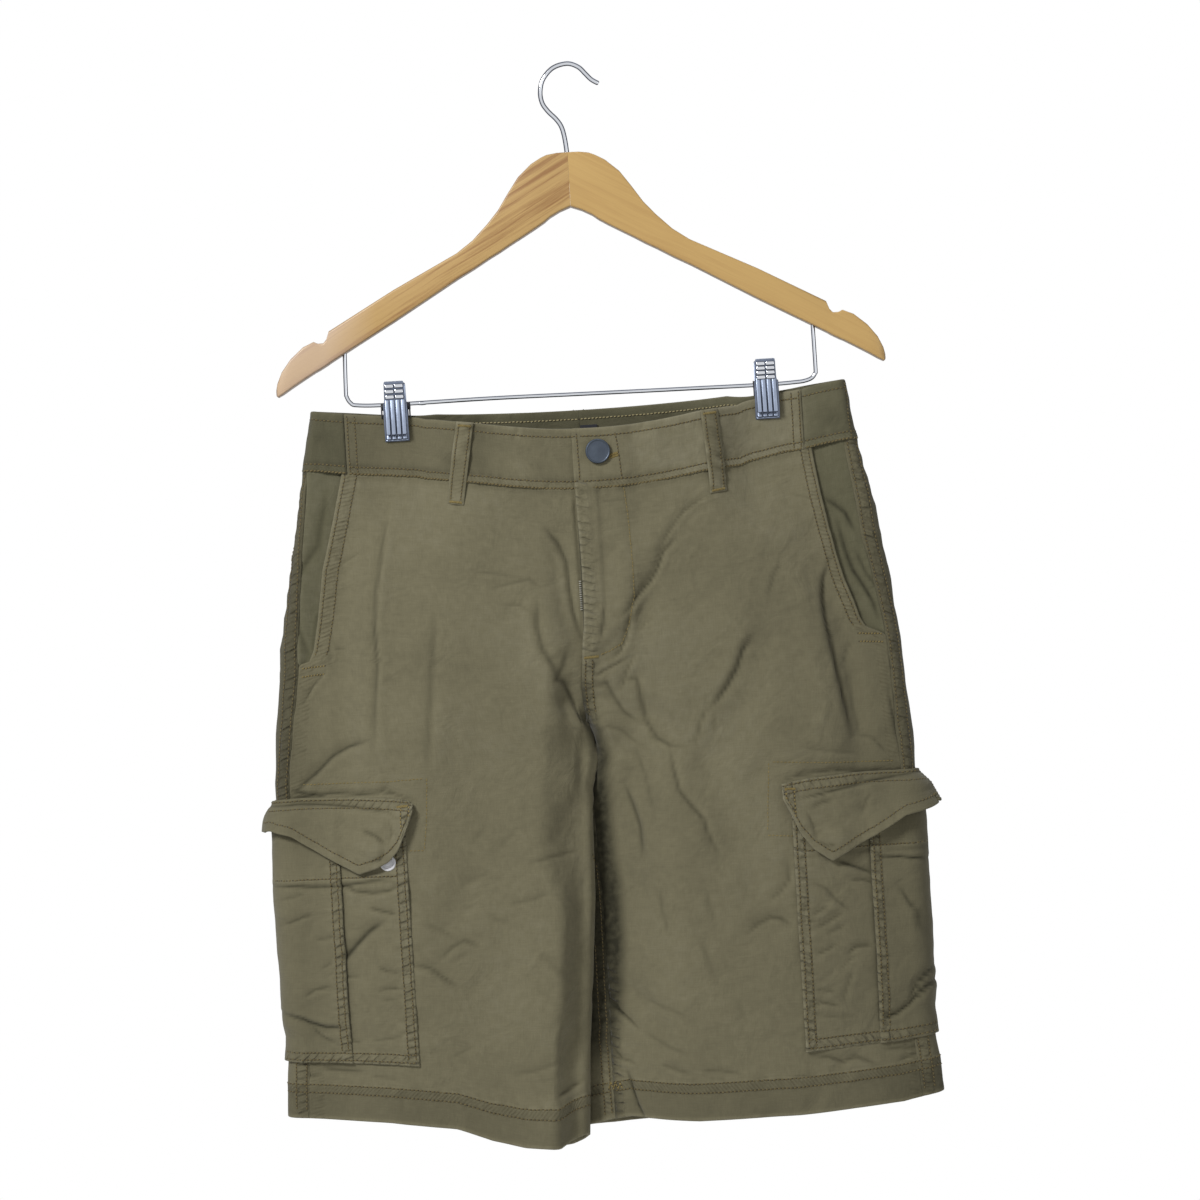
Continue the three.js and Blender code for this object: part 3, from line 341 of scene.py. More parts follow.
# Creases are lines of (x, z) points with their half width, depth and the share of a ridge
# beside them (below zero it lies on the left hand of someone walking down the line).
# The second value is painted shade, darkest in each groove, which the pieces paint into the cloth's colour.
def creaseLines(lines, x, z):
    height, shade = np.zeros(x.shape), np.zeros(x.shape)
    for points, wide, deep, ridge in lines:
        p = np.array(points, float)
        long = np.sum(np.hypot(*np.diff(p, axis=0).T))
        reach = 6 * wide
        near = (x > p[:, 0].min() - reach) & (x < p[:, 0].max() + reach) \
            & (z > p[:, 1].min() - reach) & (z < p[:, 1].max() + reach)
        away, t = fromLine(x[near], z[near], points)
        taper = smooth((t / long + 0.1) / 0.34) * smooth((1.1 - t / long) / 0.34)
        away *= np.sign(ridge)
        groove = np.exp(-(away / np.where(away > 0, 0.45 * wide, 1.4 * wide)) ** 2)
        lifted = np.exp(-((away - 1.4 * wide) / (1.1 * wide)) ** 2)
        height[near] += 0.72 * deep * taper * (0.8 * abs(ridge) * lifted - groove)
        shade[near] += 1.5 * min(deep, 2.6) * taper * np.exp(-((away + 0.12 * wide) / (0.48 * wide)) ** 2)
    return height, shade


# Values between anchors of (value, number of steps to the next one).
def spread(anchors):
    values = []
    for (value, steps), (following, _) in zip(anchors, anchors[1:]):
        values += [mix(value, following, k / steps) for k in range(steps)]
    return np.array(values + [anchors[-1][0]], float)


# Smooth noise from a square of random values, side cells wide.
def latticeNoise(u, v, scale, seed, side=97):
    values = np.random.default_rng(seed).uniform(-1, 1, (side, side))
    u, v = u / scale + 1000, v / scale + 1000
    iu, iv = np.floor(u).astype(int), np.floor(v).astype(int)
    fu, fv = smooth(u - iu), smooth(v - iv)
    a, b = iu % side, iv % side
    c, d = (iu + 1) % side, (iv + 1) % side
    return mix(mix(values[a, b], values[c, b], fu), mix(values[a, d], values[c, d], fu), fv)


# Uneven waves along a seam, each about one pitch long.
def waves(t, pitch, seed):
    rng = np.random.default_rng(seed)
    knots = -900 + np.cumsum(rng.uniform(0.32, 0.68, int(1800 / pitch * 2)) * pitch)
    heights = rng.uniform(0.35, 1.0, len(knots)) * np.where(np.arange(len(knots)) % 2, 1, -1)
    i = np.clip(np.searchsorted(knots, t) - 1, 0, len(knots) - 2)
    share = smooth((t - knots[i]) / (knots[i + 1] - knots[i]))
    return mix(heights[i], heights[i + 1], share)


# Puckers that spread from a seam: away is the distance from it and t runs along it.
def pucker(away, t, high, reach, pitch, seed):
    d = np.abs(away)
    lean = 0.35 * waves(t, pitch * 5, seed + 7)
    uneven = 0.65 + 0.35 * latticeNoise(t, d, pitch * 3.5, seed + 3)
    longer = reach * (1 + 0.5 * waves(t, pitch * 2.3, seed + 5))
    return high * uneven * waves(t + lean * away, pitch, seed) * np.exp(-d / longer)


# Painted shade: the cloth is darkened round the side, where it turns from the light, more so on the left.
def paintedSideShade(x):
    return -0.34 * smooth((x - 150) / 80) - 0.17 * smooth((-x - 185) / 45)


# Small pads across a sewn strip with creases between them, dying out past it.
def tucks(away, t, high, strip, reach, pitch, seed, slant=0.3):
    rng = np.random.default_rng(seed)
    knots = -900 + np.cumsum(rng.uniform(0.55, 1.45, int(2400 / pitch)) * pitch)
    tops = rng.uniform(0.3, 1.0, len(knots))
    run = t + slant * waves(t, pitch * 4, seed + 7) * away
    i = np.clip(np.searchsorted(knots, run) - 1, 0, len(knots) - 2)
    share = np.clip((run - knots[i]) / (knots[i + 1] - knots[i]), 0, 1)
    pad = tops[i] * (np.sqrt(4 * share * (1 - share)) - 0.55)
    longer = reach * (1 + 0.6 * waves(t, pitch * 2.3, seed + 5))
    beyond = np.maximum(away - strip, 0) + 4 * np.maximum(-away, 0)
    return high * pad * np.exp(-beyond / longer)


# The soft unevenness of cloth that hangs.
def softness(grid, seed):
    u, v = grid["s"], grid["level"]
    slant = 0.6 * latticeNoise(u, v, 60, seed + 4)
    return 1.6 * (0.5 * latticeNoise(u + 0.5 * v, v * 0.7, 38, seed)
                  + 0.3 * latticeNoise(u - 0.6 * v, v + slant * u * 0.2, 17, seed + 1)
                  + 0.12 * latticeNoise(u, v, 8, seed + 2))


# A node group: inputs are (name, kind, value) and outputs are (name, kind).
def addGroup(name, inputs, outputs):
    tree = bpy.data.node_groups.new(name, "ShaderNodeTree")
    for label, kind, value in inputs:
        socket = tree.interface.new_socket(label, in_out="INPUT", socket_type="NodeSocket" + kind)
        if value is not None:
            socket.default_value = value
    for label, kind in outputs:
        tree.interface.new_socket(label, in_out="OUTPUT", socket_type="NodeSocket" + kind)
    return tree, tree.nodes.new("NodeGroupInput"), tree.nodes.new("NodeGroupOutput")


# Links each value that is another node's output, and sets the others.
def feed(tree, target, values):
    for key, value in values.items():
        if isinstance(value, bpy.types.NodeSocket):
            tree.links.new(value, target.inputs[key])
        else:
            target.inputs[key].default_value = value


def node(tree, kind, values=None, **settings):
    made = tree.nodes.new("ShaderNode" + kind)
    for key, value in settings.items():
        setattr(made, key, value)
    feed(tree, made, values or {})
    return made


def sums(tree, operation, a, b=0.0, c=0.0, clamp=False):
    return node(tree, "Math", {0: a, 1: b, 2: c}, operation=operation, use_clamp=clamp).outputs[0]


def blend(tree, factor, a, b, mode="MIX"):
    made = node(tree, "Mix", {0: factor, 6: a, 7: b}, data_type="RGBA", blend_type=mode)
    return made.outputs[2]


# A twill weave: fine slanting ribs, broken up by uneven yarns. Vector is in metres.
def makeWeave():
    tree, gin, gout = addGroup(
        "twillWeave",
        [("Vector", "Vector", None), ("Pitch", "Float", 0.0009), ("Slub", "Float", 0.5)],
        [("Height", "Float"), ("Tone", "Float")])
    scale = sums(tree, "DIVIDE", 6.2832, gin.outputs["Pitch"])
    axes = node(tree, "SeparateXYZ", {0: gin.outputs["Vector"]})
    wobble = node(tree, "TexNoise", {"Vector": gin.outputs["Vector"], "Scale": 260.0, "Detail": 2.0})
    u = sums(tree, "MULTIPLY", axes.outputs[0], scale)
    v = sums(tree, "MULTIPLY", axes.outputs[1], scale)
    uneven = sums(tree, "MULTIPLY", wobble.outputs[0], 3.0)
    rib = sums(tree, "SINE", sums(tree, "ADD", sums(tree, "ADD", u, v), uneven))
    yarn = sums(tree, "SINE", sums(tree, "MULTIPLY", sums(tree, "SUBTRACT", u, v), 0.5))
    height = sums(tree, "MULTIPLY_ADD", rib, 0.35, sums(tree, "MULTIPLY_ADD", yarn, 0.15, 0.5))
    stretched = node(tree, "Mapping", {0: gin.outputs["Vector"], "Scale": (90.0, 1400.0, 1.0)})
    slubs = node(tree, "TexNoise", {"Vector": stretched.outputs[0], "Scale": 1.0, "Detail": 2.0})
    crossed = node(tree, "Mapping", {0: gin.outputs["Vector"], "Scale": (1500.0, 110.0, 1.0)})
    warps = node(tree, "TexNoise", {"Vector": crossed.outputs[0], "Scale": 1.0, "Detail": 2.0})
    mixed = sums(tree, "ADD", slubs.outputs[0], warps.outputs[0])
    tone = sums(tree, "MULTIPLY", sums(tree, "SUBTRACT", mixed, 1.0), gin.outputs["Slub"])
    ribbed = sums(tree, "MULTIPLY_ADD", rib, 0.1, sums(tree, "ADD", tone, 0.5))
    feed(tree, gout, {"Height": height, "Tone": ribbed})
    return tree


# Slow change of tone over a piece, the fading where it is rubbed, and painted shade where the mask falls
# below zero.
def makeFadingAndShade():
    tree, gin, gout = addGroup(
        "fadingAndPaintedShade",
        [("Color", "Color", (0.2, 0.2, 0.1, 1)), ("Faded", "Color", (0.3, 0.3, 0.2, 1)),
         ("Vector", "Vector", None), ("WearAndShade", "Float", 0.0),
         ("Amount", "Float", 1.0)],
        [("Color", "Color"), ("Mask", "Float")])
    cloud = node(tree, "TexNoise", {"Vector": gin.outputs["Vector"], "Scale": 9.0, "Detail": 3.0,
                                    "Roughness": 0.6})
    fine = node(tree, "TexNoise", {"Vector": gin.outputs["Vector"], "Scale": 170.0, "Detail": 3.0})
    patch = sums(tree, "MULTIPLY_ADD", cloud.outputs[0], 0.5, -0.25)
    speck = sums(tree, "MULTIPLY_ADD", fine.outputs[0], 0.35, -0.175)
    rubbed = sums(tree, "MULTIPLY", gin.outputs["WearAndShade"],
                  sums(tree, "MULTIPLY_ADD", fine.outputs[0], 1.2, 0.35))
    mask = sums(tree, "ADD", sums(tree, "ADD", patch, speck), rubbed)
    mask = sums(tree, "MULTIPLY", mask, gin.outputs["Amount"])
    # below zero it is painted shade, darkening towards near black; above zero it fades
    light = sums(tree, "MAXIMUM", mask, 0.0, clamp=True)
    paintedShade = sums(tree, "MULTIPLY", sums(tree, "MINIMUM", mask, 0.0), -1.0, clamp=True)
    tinted = blend(tree, light, gin.outputs["Color"], gin.outputs["Faded"])
    deep = blend(tree, paintedShade, tinted, (0.03, 0.028, 0.016, 1))
    feed(tree, gout, {"Color": deep, "Mask": mask})
    return tree


# The small ribs that each stitch pulls into a sewn strip, across the seam, with painted shade in the grooves
# between them.
def makeSeamRibs():
    tree, gin, gout = addGroup(
        "seamRibs",
        [("Vector", "Vector", None), ("Mask", "Float", 0.0),
         ("Pitch", "Float", 0.0029), ("Sharp", "Float", 1.6)],
        [("GrooveShade", "Float"), ("Height", "Float")])
    axes = node(tree, "SeparateXYZ", {0: gin.outputs["Vector"]})
    uneven = node(tree, "TexNoise", {"Vector": gin.outputs["Vector"], "Detail": 2.0})
    patchy = node(tree, "TexNoise", {"Vector": gin.outputs["Vector"], "Scale": 120.0, "Detail": 2.0})
    tree.links.new(sums(tree, "DIVIDE", 0.75, gin.outputs["Pitch"]), uneven.inputs["Scale"])
    # a mask above zero is for upright seams, below zero for level ones
    upright = sums(tree, "GREATER_THAN", gin.outputs["Mask"], 0.0)
    slanted = sums(tree, "MULTIPLY_ADD", axes.outputs[0], 0.35, axes.outputs[1])
    level = sums(tree, "MULTIPLY_ADD", axes.outputs[1], 0.8, axes.outputs[0])
    run = sums(tree, "ADD", sums(tree, "MULTIPLY", slanted, upright),
               sums(tree, "MULTIPLY", level, sums(tree, "SUBTRACT", 1.0, upright)))
    turns = sums(tree, "DIVIDE", run, gin.outputs["Pitch"])
    wobble = sums(tree, "MULTIPLY_ADD", uneven.outputs[0], 0.6, turns)
    turn = sums(tree, "MULTIPLY", wobble, 6.2832)
    wave = sums(tree, "MULTIPLY_ADD", sums(tree, "SINE", turn), 0.5, 0.5)
    strength = node(tree, "MapRange", {0: patchy.outputs[0], 1: 0.36, 2: 0.6, 3: 0.25, 4: 1.0})
    mask = sums(tree, "MULTIPLY", sums(tree, "ABSOLUTE", gin.outputs["Mask"]), strength.outputs[0])
    gap = sums(tree, "POWER", wave, gin.outputs["Sharp"])
    feed(tree, gout, {"GrooveShade": sums(tree, "MULTIPLY", gap, mask),
                      "Height": sums(tree, "MULTIPLY", sums(tree, "SUBTRACT", 1.0, gap), mask)})
    return tree


weaveGroup, fadeShadeGroup, ribGroup = makeWeave(), makeFadingAndShade(), makeSeamRibs()


def newMaterial(name):
    material = bpy.data.materials.new(name)
    material.use_nodes = True
    tree = material.node_tree
    shader = next(n for n in tree.nodes if n.type == "BSDF_PRINCIPLED")
    return material, tree, shader


# wear is the point attribute for fading and for painted light and shade, ribs and pads are those for sewn
# strips
def clothMaterial(name, colour, faded, pitch=0.0009):
    material, tree, shader = newMaterial(name)
    cut = node(tree, "UVMap", uv_map="cut").outputs[0]
    wearAndShade, sewn, padded = (node(tree, "Attribute", attribute_name=mark).outputs["Fac"]
                          for mark in ("wearAndShade", "ribs", "pads"))
    weave = node(tree, "Group", node_tree=weaveGroup)
    fadeAndShade = node(tree, "Group", node_tree=fadeShadeGroup)
    ribs, pads = (node(tree, "Group", node_tree=ribGroup) for _ in range(2))
    for group, values in (
            (weave, {"Vector": cut, "Pitch": pitch}),
            (fadeAndShade, {"Vector": cut, "Color": (*colour, 1), "Faded": (*faded, 1), "WearAndShade": wearAndShade}),
            (ribs, {"Vector": cut, "Mask": sewn}),
            (pads, {"Vector": cut, "Mask": padded, "Pitch": 0.0066, "Sharp": 4.0})):
        feed(tree, group, values)
    tone = sums(tree, "MULTIPLY_ADD", weave.outputs["Tone"], 0.5, 0.75)
    shade = node(tree, "CombineColor", {0: tone, 1: tone, 2: tone})
    woven = blend(tree, 1.0, fadeAndShade.outputs["Color"], shade.outputs[0], "MULTIPLY")
    # painted shade in the grooves between ribs and pads, blended towards near black below
    deep = sums(tree, "MULTIPLY_ADD", pads.outputs["GrooveShade"], 0.26,
                sums(tree, "MULTIPLY", ribs.outputs["GrooveShade"], 0.6))
    crumple = node(tree, "TexNoise", {"Vector": cut, "Scale": 34.0, "Detail": 4.0, "Distortion": 0.8})
    # strength, distance and height of each layer of bump
    normal = None
    for strength, distance, height in (
            (0.8, 0.0035, crumple.outputs[0]), (0.9, 0.0016, pads.outputs["Height"]),
            (0.35, 0.0003, weave.outputs["Height"]), (0.8, 0.0007, ribs.outputs["Height"])):
        bump = node(tree, "Bump", {"Strength": strength, "Distance": distance, "Height": height})
        if normal:
            tree.links.new(normal, bump.inputs["Normal"])
        normal = bump.outputs[0]
    feed(tree, shader, {"Base Color": blend(tree, deep, woven, (0.03, 0.021, 0.006, 1)),
                        "Normal": normal, "Roughness": 0.88, "Sheen Weight": 0.12,
                        "Sheen Roughness": 0.55, "Specular IOR Level": 0.12})
    return material


def threadMaterial(name, colour, pale):
    material, tree, shader = newMaterial(name)
    place = node(tree, "TexCoord")
    patchy = node(tree, "TexNoise", {"Vector": place.outputs["Object"], "Scale": 90.0, "Detail": 2.0})
    twist = node(tree, "TexWave", {"Vector": place.outputs["Object"], "Scale": 900.0,
                                   "Distortion": 4.0})
    bump = node(tree, "Bump", {"Strength": 0.4, "Distance": 0.0002, "Height": twist.outputs["Fac"]})
    feed(tree, shader, {"Base Color": blend(tree, patchy.outputs[0], (*colour, 1), (*pale, 1)),
                        "Normal": bump.outputs[0], "Roughness": 0.6})
    return material


twill = clothMaterial("oliveTwill", (0.182, 0.165, 0.101), (0.31, 0.29, 0.205))
# A darker copy of the twill for the back band: painted shade for the cloth round the side and inside. The
# facing's darker twill is partly its own tone and partly painted shade for the recess behind the mouth.
twillShade = clothMaterial("shadedBackTwill", (0.132, 0.124, 0.075), (0.24, 0.226, 0.155))
twillInside = clothMaterial("facingTwill", (0.125, 0.118, 0.07), (0.22, 0.205, 0.14))
oliveThread = threadMaterial("oliveThread", (0.1, 0.072, 0.02), (0.19, 0.15, 0.06))
# near black for the discs at the stitches' ends: painted shadow
holeShadowThread = threadMaterial("needleHoleShadow", (0.02, 0.014, 0.005), (0.045, 0.033, 0.012))
ochreThread = threadMaterial("ochreThread", (0.2, 0.14, 0.035), (0.32, 0.25, 0.09))
paleThread = threadMaterial("paleThread", (0.34, 0.29, 0.13), (0.48, 0.42, 0.24))


def deselectAll():
    for o in bpy.context.selected_objects:
        o.select_set(False)


def makeActive(piece):
    deselectAll()
    piece.select_set(True)
    bpy.context.view_layer.objects.active = piece


def finishPiece(piece, material, replaced=()):
    piece.data.materials.clear()
    piece.data.materials.append(material)
    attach(piece, "root")
    if replaced:
        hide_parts(*replaced)
    return piece


# A sheet on a grid of points, its wall thinner at the free edges. uv is the place on the cut
# cloth, and wear (fading with painted light and shade), ribs and pads are what the cloth's material reads.
def sheetFrom(name, points, uv, wearAndShade, wall, material, ribs=None, pads=None):
    rows, columns = points.shape[:2]
    mesh = bpy.data.meshes.new(name)
    corner = (np.arange(rows - 1)[:, None] * columns + np.arange(columns - 1)[None, :]).ravel()
    quads = np.stack([corner, corner + columns, corner + columns + 1, corner + 1], 1)
    mesh.vertices.add(rows * columns)
    mesh.vertices.foreach_set("co", (points.reshape(-1, 3) * mm).ravel())
    mesh.loops.add(quads.size)
    mesh.loops.foreach_set("vertex_index", quads.ravel())
    mesh.polygons.add(len(quads))
    mesh.polygons.foreach_set("loop_start", np.arange(0, quads.size, 4))
    mesh.polygons.foreach_set("loop_total", np.full(len(quads), 4))
    mesh.update(calc_edges=True)
    layer = mesh.uv_layers.new(name="cut")
    layer.data.foreach_set("uv", (uv.reshape(-1, 2) * mm)[quads.ravel()].ravel())
    mesh.attributes.new("wearAndShade", "FLOAT", "POINT").data.foreach_set("value", wearAndShade.ravel())
    for mark, values in (("ribs", ribs), ("pads", pads)):
        values = np.zeros(wearAndShade.shape) if values is None else values
        mesh.attributes.new(mark, "FLOAT", "POINT").data.foreach_set("value", values.ravel())
    mesh.polygons.foreach_set("use_smooth", np.ones(len(quads), bool))
    mesh.validate()
    piece = bpy.data.objects.new(name, mesh)
    bpy.context.collection.objects.link(piece)
    inner = np.zeros((rows, columns), bool)
    inner[1:-1, 1:-1] = True
    group = piece.vertex_groups.new(name="wall")
    for chosen, share in ((inner, 1.0), (~inner, 0.4)):
        group.add(np.flatnonzero(chosen.ravel()).tolist(), share, "REPLACE")
    makeActive(piece)
    solid = piece.modifiers.new("wall", "SOLIDIFY")
    solid.thickness, solid.offset = wall * mm, 0
    solid.vertex_group, solid.thickness_vertex_group = "wall", 0.0
    bpy.ops.object.modifier_apply(modifier="wall")
    piece.vertex_groups.clear()
    return finishPiece(piece, material)


# Extra columns that turn a free edge in and back under the cloth: (distance in, lift).
turnedEdge = ((-0.6, 0.0), (-0.18, -0.18), (0.0, -0.6), (-0.18, -1.02), (-0.6, -1.2),
              (-3.5, -1.25), (-9.0, -1.25))


def withTurned(values, atStart, atEnd):
    s = list(values)
    lift = [0.0] * len(s)
    if atEnd:
        s = s[:-1] + [values[-1] + d for d, _ in turnedEdge]
        lift = lift[:-1] + [h for _, h in turnedEdge]
    if atStart:
        s = [values[0] - d for d, _ in reversed(turnedEdge)] + s[1:]
        lift = [h for _, h in reversed(turnedEdge)] + lift[1:]
    return np.array(s), np.array(lift)


panels = {
    "gap": 0.12, "apartZ": -546.0, "hemRow": -741.0, "foldedHem": 8,
    "hemFold": ((-767.2, 0.35), (-767.8, 0.12), (-768.0, -0.35), (-767.8, -0.82), (-767.2, -1.05)),
}
# z of each row and its lift: tucked under the band, down to the hem, round it and up inside
panelLevels = np.concatenate([
    [-279.5, -282.0, -283.2], spread([(-284.2, 128), (-506.0, 128), (-738.0, 6), (-741.2, 18), (-766.6, 0)]),
    [z for z, _ in panels["hemFold"]], np.linspace(-764, -742.5, panels["foldedHem"])])
panelLifts = np.interp(-panelLevels, [740.4, 741.6], [0, 0.35])
foldEnd = len(panelLevels) - panels["foldedHem"]
panelLifts[foldEnd - len(panels["hemFold"]):foldEnd] = [h for _, h in panels["hemFold"]]
panelLifts[foldEnd:] = panels["hemFold"][-1][1]

fly = {"width": 26.0, "fade": 16.0, "raise": 3.2, "bottomZ": -430.0, "placketX": 3.0}
# z, how far the seam down the front stands to the right of the middle
seamSwing = np.array([
    (-240, -5.8), (-283, -5.5), (-300, -5.3), (-340, -4.3), (-380, -4.2), (-405, -4.8),
    (-430, -7.5), (-450, -9.6), (-465, -9.0), (-480, -6.6), (-500, -5.8), (-516, -3.5), (-545, 0),
])


# How far the fly's layers stand out, fading to both its ends.
def flyRaise(x, z):
    deep = smooth((z - fly["bottomZ"] + 16) / 30)
    width = fly["width"] * smooth((z - fly["bottomZ"] + 4) / 46)
    return fly["raise"] * deep * (1 - smooth((x - width) / fly["fade"]))


pockets = {
    "right": {"edge": 143.0, "low": -722.0, "flapStart": 136.0},
    "left": {"edge": 136.0, "low": -723.5, "flapStart": 129.5},
    "topZ": -539.0, "stand": 1.5, "puff": 1.7, "pleatX": 191.0, "pleatRaise": 1.7, "wall": 1.05,
}

# Creases of the panels, as creaseLines takes them; each also gets painted shade along its groove
frontCreases = {
    "right": [
        ([(-149, -307), (-151, -325), (-156, -350), (-161, -375), (-163.5, -400), (-163, -425),
          (-166, -450), (-168, -472), (-170, -498)], 3.0, 1.9, -0.8),
        ([(-119, -395), (-124, -435), (-128, -475), (-131, -505)], 5.0, 1.3, -0.4),
        ([(-202, -430), (-211, -440), (-219, -452)], 1.9, 1.8, -0.6),
        ([(-172, -482), (-188, -486), (-200, -492), (-212, -503), (-221, -510), (-229, -517)],
         3.2, 2.8, -0.5),
        ([(-199, -412), (-198, -430)], 2.2, 0.8, 0.4),
        ([(-143, -296), (-142, -304), (-139, -310)], 1.7, 1.1, 0.5),
        ([(-186, -353), (-180, -350), (-172, -346)], 1.9, 0.9, 0.5),
        ([(-177, -330), (-168, -328)], 1.8, 0.7, 0.5), ([(-195, -415), (-186, -414)], 1.7, 0.9, 0.4),
        ([(-37, -336), (-28, -348), (-23, -362), (-22, -380), (-20, -398), (-15, -419)], 2.7, 2.4, 0.5),
        ([(-88, -366), (-75, -367), (-60, -371)], 2.5, 0.9, 0.5),
        ([(-78, -378), (-62, -375), (-49, -373), (-43, -380)], 2.5, 1.0, 0.5),
        ([(-71, -390), (-58, -391), (-49, -397)], 2.2, 1.0, 0.4),
        ([(-46, -388), (-47, -408), (-44, -423), (-37, -436), (-34, -447)], 4.0, 2.1, 0.5),
        ([(-26, -424), (-29, -436), (-35, -446), (-24, -452)], 3.5, 1.3, 0.4),
        ([(-31, -446), (-26, -459), (-21, -470), (-16, -482)], 3.2, 2.8, 0.5),
        ([(-28, -571), (-40, -572), (-62, -576)], 2.1, 1.1, 0.4),
        ([(-78, -606), (-62, -603), (-48, -599)], 3.0, 1.0, 0.4),
        ([(-104, -562), (-92, -549)], 4.0, 0.7, 0.3), ([(-84, -566), (-66, -548)], 4.0, 0.5, 0.3),
        ([(-112, -590), (-92, -582)], 3.6, 0.7, 0.3), ([(-96, -612), (-80, -620)], 3.4, 0.6, 0.3),
        ([(-140, -616), (-128, -622), (-118, -629)], 3.0, 0.9, 0.4),
        ([(-149, -645), (-138, -648), (-130, -655), (-120, -663)], 3.2, 1.8, 0.5),
        ([(-131, -643), (-121, -634), (-112, -630), (-101, -635)], 3.0, 1.6, 0.5),
        ([(-126, -713), (-110, -706)], 2.5, 0.8, 0.4), ([(-60, -640), (-40, -662)], 5.0, 0.7, 0.3),
        ([(-84, -728), (-66, -726), (-48, -721)], 3.0, 1.1, 0.5),
        ([(-52, -747), (-42, -742), (-34, -738)], 2.6, 2.0, 0.4),
        ([(-222, -718), (-205, -720), (-190, -721)], 2.2, 1.7, 0.4),
        ([(-236, -724), (-222, -722)], 2.0, 1.1, 0.4), ([(-186, -724), (-165, -727)], 2.0, 0.9, 0.4),
        ([(-232, -515), (-219, -518), (-207, -521)], 1.8, 2.0, -0.5),
        # along the flap's top edge: a groove with painted shadow above the flap
        ([(-246, -522), (-222, -520.6), (-200, -518.8), (-180, -520.8), (-165, -519.6), (-155, -521.6),
          (-140, -527)], 1.9, 2.4, 0.3),
        ([(-168, -521), (-163, -516), (-156, -521)], 1.8, 1.4, 0.5),
        # beside the fly's edge: a groove with painted shadow
        ([(-14.5, -296), (-14.2, -330), (-13.6, -372), (-14, -424)], 1.6, 1.5, 0.2),
    ],
    "left": [
        ([(81, -321), (71, -326), (63, -332), (55, -342), (45, -356)], 1.9, 1.6, -0.8),
        ([(57, -350), (48, -359), (43, -371), (37, -380), (28, -389), (22, -397), (13, -405)],
         2.4, 3.0, -0.6),
        ([(22, -396), (20, -409), (17, -420), (13, -428), (6, -434)], 2.1, 2.4, -0.4),
        ([(38, -405), (26, -415)], 1.7, 0.8, -0.5), ([(2, -396), (1, -408), (-1, -418)], 2.0, 1.8, 0.3),
        ([(4, -319), (12, -320.5), (22, -320)], 1.7, 0.9, 0.3),
        ([(16, -433), (9, -437), (0, -441), (-6, -445)], 1.7, 1.5, 0.6),
        ([(23, -432), (17, -442), (12, -455)], 1.9, 1.3, -0.6),
        ([(-7, -452), (2, -450), (6, -460), (13, -472), (23, -480)], 3.4, 1.8, -0.4),
        ([(12, -455), (16, -449), (23, -449), (25, -463), (28, -480), (35, -493), (45, -499),
          (55, -501)], 3.3, 1.9, 0.5),
        ([(-1, -482), (9, -485), (22, -497)], 3.0, 1.1, 0.4),
        ([(108, -421), (100, -433), (95, -446), (87, -458), (80, -467), (74, -473)], 3.4, 2.5, 0.5),
        ([(72, -473), (67, -482), (62, -499)], 2.3, 1.3, 0.5), ([(79, -474), (75, -492)], 2.1, 0.8, 0.4),
        ([(133, -368), (126, -381), (121, -396)], 2.3, 0.9, 0.5),
        ([(122, -315), (135, -310), (147, -305), (158, -302)], 1.9, 1.4, 0.5),
        ([(145, -323), (158, -326)], 1.9, 1.0, 0.4),
        ([(169, -370), (163, -384), (161, -398), (162, -412), (165, -430), (168, -450), (171, -470),
          (176, -499)], 2.7, 2.8, 0.6),
        ([(175, -450), (178, -478), (182, -500)], 2.2, 1.0, 0.4),
        ([(180, -432), (176, -440), (172, -450)], 1.8, 0.9, 0.5),
        ([(140, -506), (160, -510), (181, -513)], 2.4, 1.0, 0.5),
        ([(182, -500), (191, -502), (201, -514)], 2.2, 1.0, 0.4),
        ([(205, -470), (209, -500), (213, -521)], 2.0, 1.3, 0.3),
        # along the flap's top edge: a groove with painted shadow above the flap
        ([(122, -530), (134, -526), (150, -524.8), (160, -523.6), (175, -525.6), (200, -528.6),
          (222, -526.6)], 1.9, 2.4, 0.3),
        ([(45, -500), (46, -516), (49, -531), (57, -542), (65, -552), (69, -566), (75, -580)],
         3.2, 2.1, -0.6),
        ([(11, -526), (15, -540), (19, -556), (20, -578)], 3.4, 1.9, -0.5),
        ([(20, -500), (25, -520), (29, -548)], 3.0, 0.9, 0.4),
        ([(29, -600), (31, -615), (34, -634)], 3.0, 1.0, 0.4),
        ([(62, -600), (68, -628)], 3.0, 0.8, 0.4), ([(58, -640), (66, -672)], 4.0, 0.8, 0.3),
        ([(92, -637), (100, -631), (109, -627), (116, -628), (123, -633)], 3.3, 2.0, 0.5),
        ([(126, -582), (124, -600), (118, -608), (109, -615)], 2.8, 1.7, -0.5),
        ([(-15, -672), (-10, -683), (-2, -692), (9, -703)], 2.3, 2.4, 0.5),
        ([(-9, -718), (-4, -725), (6, -728)], 2.1, 1.6, 0.5),
        ([(-16, -735), (-6, -733), (0, -735)], 1.8, 1.0, 0.5),
        ([(0, -733), (3, -746), (6, -758), (11, -770)], 2.5, 2.6, -0.4),
        ([(24, -728), (36, -733), (46, -736)], 2.2, 1.2, 0.4),
        ([(52, -734), (66, -735), (82, -738)], 2.0, 1.2, 0.4),
        ([(14, -706), (30, -716), (44, -722)], 3.0, 0.9, 0.4),
        ([(16, -682), (30, -688), (44, -694)], 3.0, 0.9, 0.4), ([(85, -700), (84, -684)], 3.0, 0.8, 0.4),
        ([(132, -729), (145, -730), (155, -735), (165, -732), (180, -739)], 2.6, 1.8, 0.5),
        ([(186, -729), (205, -729), (222, -727)], 2.0, 1.6, 0.4),
        ([(196, -738), (210, -734), (220, -731)], 2.0, 1.5, 0.4), ([(118, -742), (135, -743)], 2.0, 0.9, 0.4),
    ],
}
